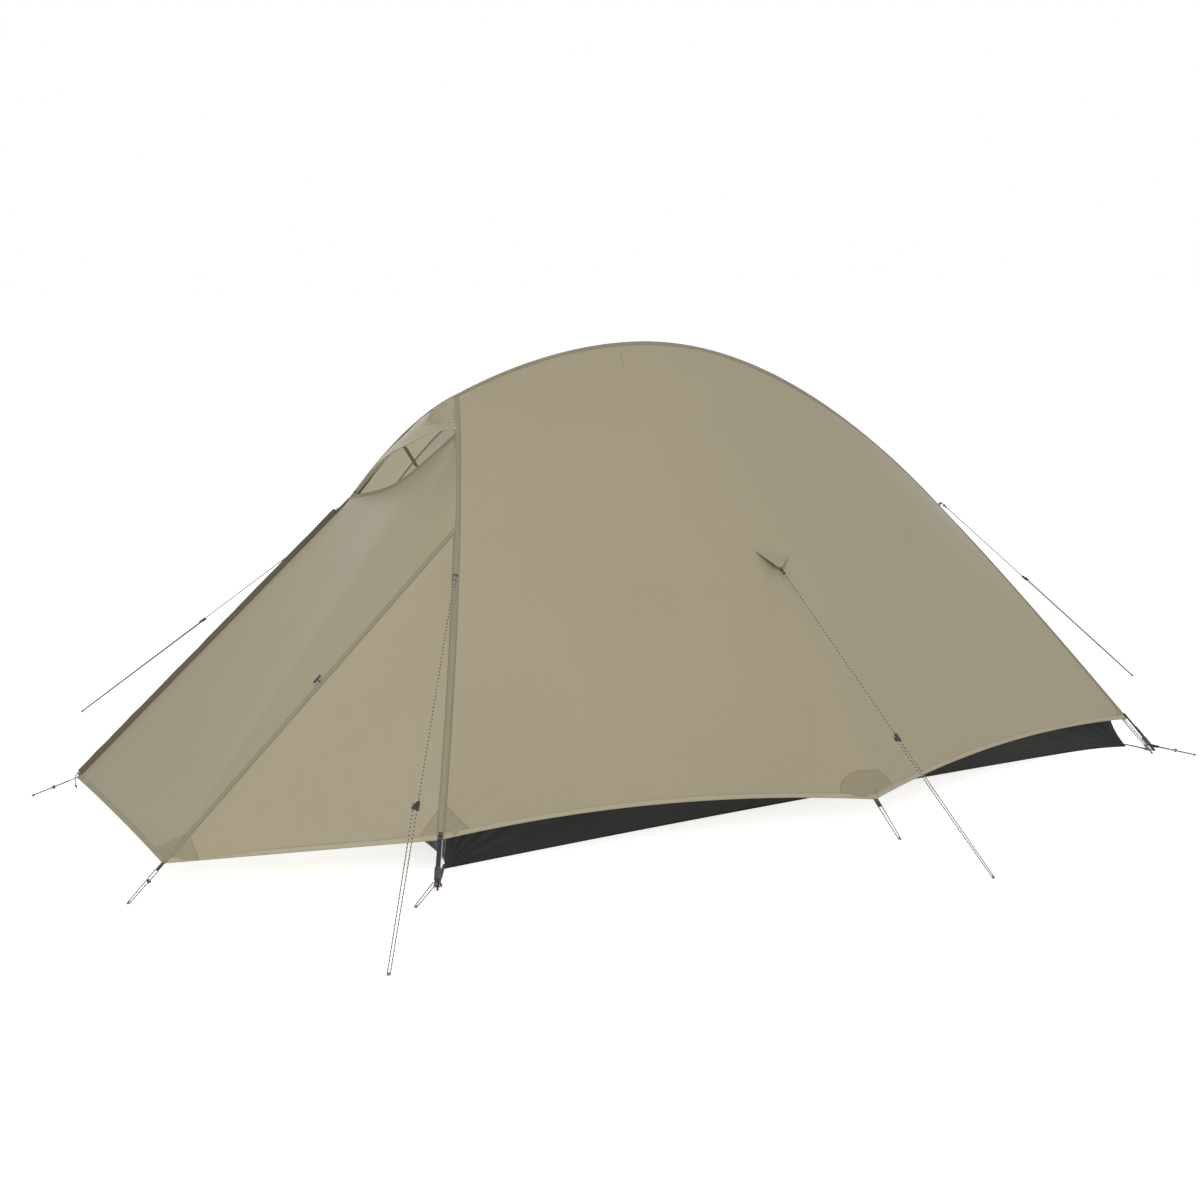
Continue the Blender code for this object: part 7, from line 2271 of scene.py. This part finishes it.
class TENT_OT_inner(Operator):
    """Mesh walls and door of the inner tent, its zip, bound seams and clips, and the tub floor."""
    bl_idname = "tent.inner"
    bl_label = "Inner tent"

    def execute(self, context):
        def sag(points, u, v):
            return 0.004 * np.sin(math.pi * u) * np.sin(math.pi * v) + 0.0012 * soft_noise(points, 0.3, 61)
        for name in SIDES:
            shape = panel_shape(INNER_SIDES[name], 100, 60, OUT_WAYS[name], sag)
            made = piece(f"inner_{name}_mesh", shape, "mesh", out=OUT_WAYS[name],
                         replaces=[f"inner_wall_{name}"], wall=MESH_WALL)
            declare_sheet(made, INNER_SIDES[name], "inner_seams")
        self.end_walls()
        tub = piece("tub_floor_sheet", tub_shape(), "tub", out=UP, wall=0.0008, replaces=["tub_floor"])
        long_way, wide_way = TUB_FRONT_X + TUB_REAR_X, 2 * TUB_Y
        area = long_way * wide_way + 2 * (long_way + wide_way) * TUB_HEIGHT
        stretched(tub, (wide_way + 2 * TUB_HEIGHT, long_way + 2 * TUB_HEIGHT), "corner_anchor_front_near",
                  area * 0.985)
        self.seams()
        return {"FINISHED"}

    def end_walls(self):
        """Flat mesh walls at both ends, and the door with its zip in the front one."""
        zip_gap = INNER_ZIP_D / 2 + GAP
        hole = door_outline(zip_gap, INNER_DOOR_SILL_GAP)
        seams, coil = "inner_seams", "inner_door_zip"
        walls = (("rear", "inner_rear_mesh", "inner_wall_rear", wall_outline("rear"), None, seams, 0.55),
                 ("front", "inner_front_mesh", "inner_wall_front", wall_outline("front"), hole, seams, 0.31),
                 ("front", "inner_door_mesh", "inner_door", door_outline(-zip_gap), None, coil, 0.8))
        for end, name, node, outline, opening, rest, share in walls:
            base, up_wall, out = wall_axes(end)

            def on_wall(flat, base=base, up_wall=up_wall):
                return base + flat[..., :1] * ACROSS + flat[..., 1:] * up_wall
            made = piece(name, flat_ring(outline, opening, on_wall, rows=12), "mesh", out=out,
                         replaces=[node], body="inner_door" if node == "inner_door" else "tent",
                         wall=MESH_WALL)
            wide, tall = (float(extent) for extent in np.ptp(outline, axis=0))
            stretched(made, (wide, tall), rest, share * wide * tall)
        arch = door_outline(0.0)
        line = on_wall(np.concatenate((arch[len(arch) // 2:], arch[:len(arch) // 2])))
        coil = coil_shape(line, out, INNER_ZIP_D / 2 - 0.0003, 0.0003)
        piece("inner_zip_coil", coil, "coil", replaces=["inner_door_zip"])
        along = unit(line[1] - line[0])
        place = line[0] + along * 0.030 + out * (INNER_ZIP_D / 2 + GAP + INNER_SLIDER[2] / 2)
        piece("inner_zip_slider_cast", slider_shape(place, along, out, INNER_SLIDER, (0.016, 0.005, 0.0010)),
              "zinc", body="inner_zip_slider", replaces=["inner_zip_slider"], sharp=40)

    def seams(self):
        places = stations(count=121)
        shapes = []
        for (end, name), line in INNER_LEGS.items():
            edge = "left" if end == "front" else "right"
            side = smoothed(way_in(INNER_SIDES[name], edge, np.clip(places, 0.04, 1)))
            wall = np.broadcast_to(-SIDES[name] * ACROSS, side.shape)
            shapes.append(seam_tape(by_run(line, places), wall, side, BINDING, OUT_WAYS[name], rise=0.0006))
        ways = [smoothed(way_in(INNER_SIDES[name], "top", places)) for name in ("near", "far")]
        shapes.append(seam_tape(by_run(INNER_RIDGE, places), *ways, BINDING, UP, rise=0.0006))
        piece("inner_bindings", joined(shapes), "binding", replaces=["inner_seams"], wall=0.0006, out=UP)
        rims = [tub_edge(name, RIM, 161) for name in ("near", "far")]
        rims += [between(tub_corner(end, NEAR, RIM), tub_corner(end, FAR, RIM), 41)
                 for end in ("front", "rear")]
        piece("tub_rim_binding", joined([ribbon(rim, UP, 0.0090, 0.0022) for rim in rims]), "webbing")
        carried = [(SPINE, INNER_RIDGE, SPINE_CLIPS, 33)]
        for end, runs in (("front", FRONT_CLIPS), ("rear", REAR_CLIPS)):
            carried += [(LEGS[end, name], INNER_LEGS[end, name], runs, 21) for name in SIDES]
        clips = []
        for pole_path, edge_path, runs, count in carried:
            line = part_of(pole_path, 0, 1, count)
            fine = at(edge_path, np.linspace(0, 1, 801))
            for run in runs:
                place, along = (line[run] + line[run + 1]) / 2, unit(line[run + 1] - line[run])
                clips.append(clip_shape(place, along, fine[np.argmin(np.abs((fine - place) @ along))]))
        piece("inner_clips", joined(clips), "clip", sharp=40)


# Corner hardware

BUCKLE_FOOT, SOCKET_SIZE, SOCKET_WALL = 0.020, (0.015, 0.006, 0.022), 0.0012
PLUG_DEPTH, PLUG_HEAD = 0.012, 0.008
STRAP_STANDOFF = FLY_LIFT + SEAM_D / 2 + GAP + WEBBING_THICKNESS / 2
CORNER_TAB_THICKNESS, GROMMET_HOLE_D, LINK_WIDTH, LINK_THICKNESS = 0.0015, 0.0120, 0.012, 0.002
PRONG_WIDTH, ANCHOR_LAP = 0.003, 0.002


def buckle_frame(end, name):
    """Foot of a corner's buckle, the way up its strap, out of the tent, across, and the strap's reach."""
    nose, up_pole = tip_axis(end, name)
    out = unit(UP - up_pole * up_pole[2])
    base = nose + out * STRAP_STANDOFF + up_pole * BUCKLE_FOOT
    line = FLY_LEGS[end, name]
    up_fly = unit(line[-1 - FINE] - line[-1])
    fly_out = unit(UP - up_fly * up_fly[2])
    corner = line[-1] + fly_out * (SEAM_D / 2 + 2 * GAP + WEBBING_THICKNESS / 2)
    up_strap = unit(corner - base)
    strap_out = unit(UP - up_strap * up_strap[2])
    return base, up_strap, strap_out, np.cross(up_strap, strap_out), float(np.linalg.norm(corner - base))


def tab_plate(end, name):
    """Webbing tab between the tub's corner and the foot: a plate with the grommet's hole."""
    level, hole, corner = corner_level(end, name)
    run = np.linalg.norm((hole - drawn(corner))[:2]) - CLOTH
    half, cut = CORNER_TAB_WIDTH / 2, CORNER_TAB_CUT
    outline = np.array([(-run, -0.003), (-half - 0.010, -0.0042), (-cut, -half), (cut, -half), (half, -cut),
                        (half, cut), (cut, half), (-cut, half), (-half - 0.010, 0.0042), (-run, 0.003)])
    turn = np.linspace(0, 2 * math.pi, 48, endpoint=False)
    circle = GROMMET_HOLE_D / 2 * np.stack((np.cos(turn), np.sin(turn)), axis=1)
    side = np.cross(UP, level)
    angles = np.unique(np.round(np.concatenate((turn - math.pi, np.arctan2(*outline.T[::-1]))), 6))
    far, close = (rays_to(line, np.zeros(2), angles) for line in (outline, circle))
    ray = np.stack((np.cos(angles), np.sin(angles)), axis=1)
    half_wall = CORNER_TAB_THICKNESS / 2
    flat = np.stack([reach[:, None] * ray for reach in (close, close, far, far, close)])
    rise = np.array([-half_wall, half_wall, half_wall, -half_wall, -half_wall])[:, None, None]
    points = hole + flat[..., :1] * level + flat[..., 1:] * side + rise * UP
    return grid_shape(points, np.concatenate((flat, flat[:, :1]), axis=1), wrap=True)


def socket_shape(base, up, out, across):
    """Buckle socket: a shell with a drawn-in waist and round edges, hollow from its mouth down."""
    width, depth, length = SOCKET_SIZE
    outer = [(0.0, 0.62, 0.50), (0.0005, 0.78, 0.80), (0.0015, 0.88, 1.0), (0.006, 0.98, 1.0),
             (0.012, 0.92, 1.0), (0.017, 0.97, 1.0), (0.0205, 1.0, 1.0), (0.0214, 1.0, 0.96),
             (0.022, 0.95, 0.88)]
    rings = [(place, width * wide, depth * deep, 0.0016) for place, wide, deep in outer]
    for place, more in ((0.0217, 0.0002), (0.021, 0.0), (length - PLUG_DEPTH, 0.0)):
        rings.append((place, width * 0.93 - 2 * SOCKET_WALL + more, depth - 2 * SOCKET_WALL + more, 0.0008))
    skin = []
    for place, wide, deep, corner in rings:
        outline = rounded_outline(wide, deep, corner)
        skin.append(base + place * up + outline[:, :1] * across + outline[:, 1:] * out)
    return loft(np.stack(skin), along=arc_lengths(np.array([(ring[0], ring[1], 0.0) for ring in rings])))


def plug_shape(base, up, out, across):
    """Buckle plug: a head with curved shoulders and a slot bar, two barbed prongs and a guide between."""
    width, depth, length = SOCKET_SIZE
    low = length + GAP
    shapes = [block(width, depth, PLUG_HEAD, 0.0014, 0.0008, (base + up * low, across, out, up),
                    (1.0, 1.0, 0.93, 0.90, 0.92))]
    prong_depth = depth - 2 * SOCKET_WALL - 2 * GAP
    bottom = length - PLUG_DEPTH + GAP
    reach = low + ANCHOR_LAP - bottom
    place = 0.93 * width / 2 - SOCKET_WALL - 2 * GAP - PRONG_WIDTH / 2
    for side in (-1, 1):
        foot = base + side * across * place + up * bottom
        shapes.append(block(PRONG_WIDTH, prong_depth, reach, 0.0006, 0.0005,
                            (foot, across, out, up), (0.75, 1.0, 0.62, 0.7, 0.9)))
    shapes.append(block(0.0024, prong_depth * 0.6, reach - 0.001, 0.0005, 0.0005,
                        (base + up * (bottom + 0.001), across, out, up)))
    return joined(shapes)


class TENT_OT_corners(Operator):
    """Corner tabs with grommets, buckle sockets, plugs and their straps."""
    bl_idname = "tent.corners"
    bl_label = "Corner hardware"

    def execute(self, context):
        for end, name in LEGS:
            key = f"{end}_{name}"
            base, up, out, across, reach = buckle_frame(end, name)
            level, hole, _ = corner_level(end, name)
            foot = base - up * (base[2] - CORNER_TAB_HEIGHT) / up[2]
            link = between(foot, base + up * 0.003, 9)
            tabs = joined([tab_plate(end, name), ribbon(link, across, LINK_WIDTH, LINK_THICKNESS),
                           bar_tack(hole - level * 0.024 + UP * 0.0010, level, UP, 0.0070)])
            piece(f"corner_{key}_tab", tabs, "webbing", replaces=[f"corner_anchor_{key}"], sharp=40)
            inner, rim = GROMMET_HOLE_D / 2, 0.0088
            eyelet = [(inner, -0.0010), (inner + 0.0006, -0.0015), (rim - 0.0006, -0.0012), (rim, -0.0008),
                      (rim, 0.0008), (rim - 0.0006, 0.0012), (inner + 0.0006, 0.0015), (inner, 0.0010)]
            piece(f"corner_{key}_grommet", turned(eyelet, hole, UP, ring=True), "zinc", sharp=40)
            piece(f"corner_{key}_socket", socket_shape(base, up, out, across), "plastic", sharp=40)
            body = f"buckle_plug_{key}"
            piece(body + "_moulded", plug_shape(base, up, out, across), "plastic", body=body,
                  replaces=[body], sharp=40)
            head = SOCKET_SIZE[2] + GAP + PLUG_HEAD
            strap_line = between(base + up * (head - ANCHOR_LAP), base + up * (reach + WEBBING_LAP), 25)
            tail = part_of(strap_line, 0.0, 0.45, 13) + 0.0014 * out + (
                0.0012 * np.sin(np.linspace(0, math.pi, 13)))[:, None] * out
            straps = [ribbon(strap_line, across, WEBBING_WIDTH, WEBBING_THICKNESS),
                      ribbon(tail, across, WEBBING_WIDTH, WEBBING_THICKNESS)]
            piece(body + "_strap", joined(straps), "webbing", body=body)
            tack = [bar_tack(base + up * (reach + step) + out * 0.0009, up, out, WEBBING_WIDTH * 0.8)
                    for step in (0.004, 0.014)]
            piece(body + "_tacks", joined(tack), "thread", body=body)
        return {"FINISHED"}


# Stage

CAMERA_PLACE = (-2.706, -4.198, 1.397)
CAMERA_YAW, CAMERA_PITCH = 29.97, 10.89
CAMERA_LENS, CAMERA_SENSOR = 53.28, 36.0
FLOOR_HALF = 60.0


def area_lamp(name, place, aim, power, width):
    light = bpy.data.lights.new(name, "AREA")
    light.energy = power
    light.shape = "SQUARE"
    light.size = width
    lamp = bpy.data.objects.new(name, light)
    bpy.context.scene.collection.objects.link(lamp)
    away = Vector(place) - Vector(aim)
    lamp.matrix_world = Matrix.Translation(place) @ away.to_track_quat("Z", "Y").to_matrix().to_4x4()


def seen_directly(tree):
    """One for the rays that show a surface to the camera, straight or through gloss and glass."""
    rays = add(tree, "LightPath").node.outputs
    seen = add(tree, "Math", {0: rays["Is Camera Ray"], 1: rays["Is Glossy Ray"]}, operation="MAXIMUM")
    return add(tree, "Math", {0: seen, 1: rays["Is Transmission Ray"]}, operation="MAXIMUM")


class TENT_OT_stage(Operator):
    """White floor, even light and the camera at the photograph's viewing angle."""
    bl_idname = "tent.stage"
    bl_label = "Stage"

    def execute(self, context):
        stage = context.scene.tent_stage
        self.floor(stage)
        self.world(context.scene, stage)
        area_lamp("key_lamp", (-3.1, -3.9, 3.5), (-0.1, 0.0, 0.5), stage.key_power, 3.4)
        area_lamp("fill_lamp", (3.4, -2.4, 2.6), (0.3, 0.0, 0.4), stage.fill_power, 3.0)
        area_lamp("back_lamp", (0.6, 5.4, 3.2), (0.0, 0.0, 0.5), stage.back_power, 4.0)
        lens = bpy.data.cameras.new("view")
        lens.lens, lens.sensor_width, lens.clip_end = CAMERA_LENS, CAMERA_SENSOR, 200.0
        camera = bpy.data.objects.new("view", lens)
        camera.location = CAMERA_PLACE
        camera.rotation_euler = (math.radians(90 - CAMERA_PITCH), 0.0, math.radians(-CAMERA_YAW))
        context.scene.collection.objects.link(camera)
        context.scene.camera = camera
        context.scene.view_settings.view_transform = "Standard"
        return {"FINISHED"}

    def floor(self, stage):
        """Matt white sheet of paper, which shows plain white to the camera but for the tent's shadow."""
        material, tree = blank("studio_floor", Roughness=0.9, Base_Color=(0.66, 0.66, 0.68, 1.0),
                               Specular_IOR_Level=0.1, Emission_Color=(1.0, 1.0, 1.0, 1.0))
        glow = add(tree, "Math", {0: seen_directly(tree), 1: stage.floor_glow}, operation="MULTIPLY")
        tree.links.new(glow, tree.nodes["Principled BSDF"].inputs["Emission Strength"])
        edge = np.array([-FLOOR_HALF, FLOOR_HALF])
        corners = np.stack((*np.meshgrid(edge, edge), np.full((2, 2), -FLOOR_DROP)), axis=-1)
        floor = put_mesh("studio_floor", grid_shape(corners, corners[..., :2]), out=UP)
        floor.data.materials.append(material)
        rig.stage(floor)

    def world(self, scene, stage):
        """Even light from all round, plain white where the camera sees it."""
        world = bpy.data.worlds.new("studio")
        scene.world = world
        world.use_nodes = True
        tree = world.node_tree
        background = tree.nodes["Background"].inputs
        strength = add(tree, "Mix", {0: seen_directly(tree), 2: stage.sky, 3: 1.0})
        tree.links.new(strength, background["Strength"])
        background["Color"].default_value = (1.0, 1.0, 1.0, 1.0)


OPERATORS = (TENT_OT_cords, TENT_OT_fly, TENT_OT_front, TENT_OT_seams, TENT_OT_door, TENT_OT_frame,
             TENT_OT_inner, TENT_OT_corners, TENT_OT_stage)


class TENT_PT_panel(Panel):
    """Lists the operators that make the tent, in their order."""
    bl_idname = "TENT_PT_panel"
    bl_label = "Backpacking Tent"
    bl_space_type = "VIEW_3D"
    bl_region_type = "UI"
    bl_category = "Tent"

    def draw(self, context):
        for operator in OPERATORS:
            self.layout.operator(operator.bl_idname)
        for group in (context.scene.tent_sizes, context.scene.tent_colours, context.scene.tent_stage):
            box = self.layout.box()
            for key in group.__annotations__:
                box.prop(group, key)


CLASSES = (TentColours, TentSizes, TentStage, *OPERATORS, TENT_PT_panel)


def register():
    for item in CLASSES:
        bpy.utils.register_class(item)
    bpy.types.Scene.tent_colours = PointerProperty(type=TentColours)
    bpy.types.Scene.tent_sizes = PointerProperty(type=TentSizes)
    bpy.types.Scene.tent_stage = PointerProperty(type=TentStage)


def unregister():
    del bpy.types.Scene.tent_stage
    del bpy.types.Scene.tent_sizes
    del bpy.types.Scene.tent_colours
    for item in reversed(CLASSES):
        bpy.utils.unregister_class(item)


def main():
    register()
    for operator in OPERATORS:
        group, action = operator.bl_idname.split(".")
        getattr(getattr(bpy.ops, group), action)()
    visual_box = [list(corner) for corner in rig.bounds()]
    with open("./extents.json", "w") as report:
        json.dump({"cad": CAD_BOX, "visual": visual_box}, report)


if __name__ == "__main__":
    main()
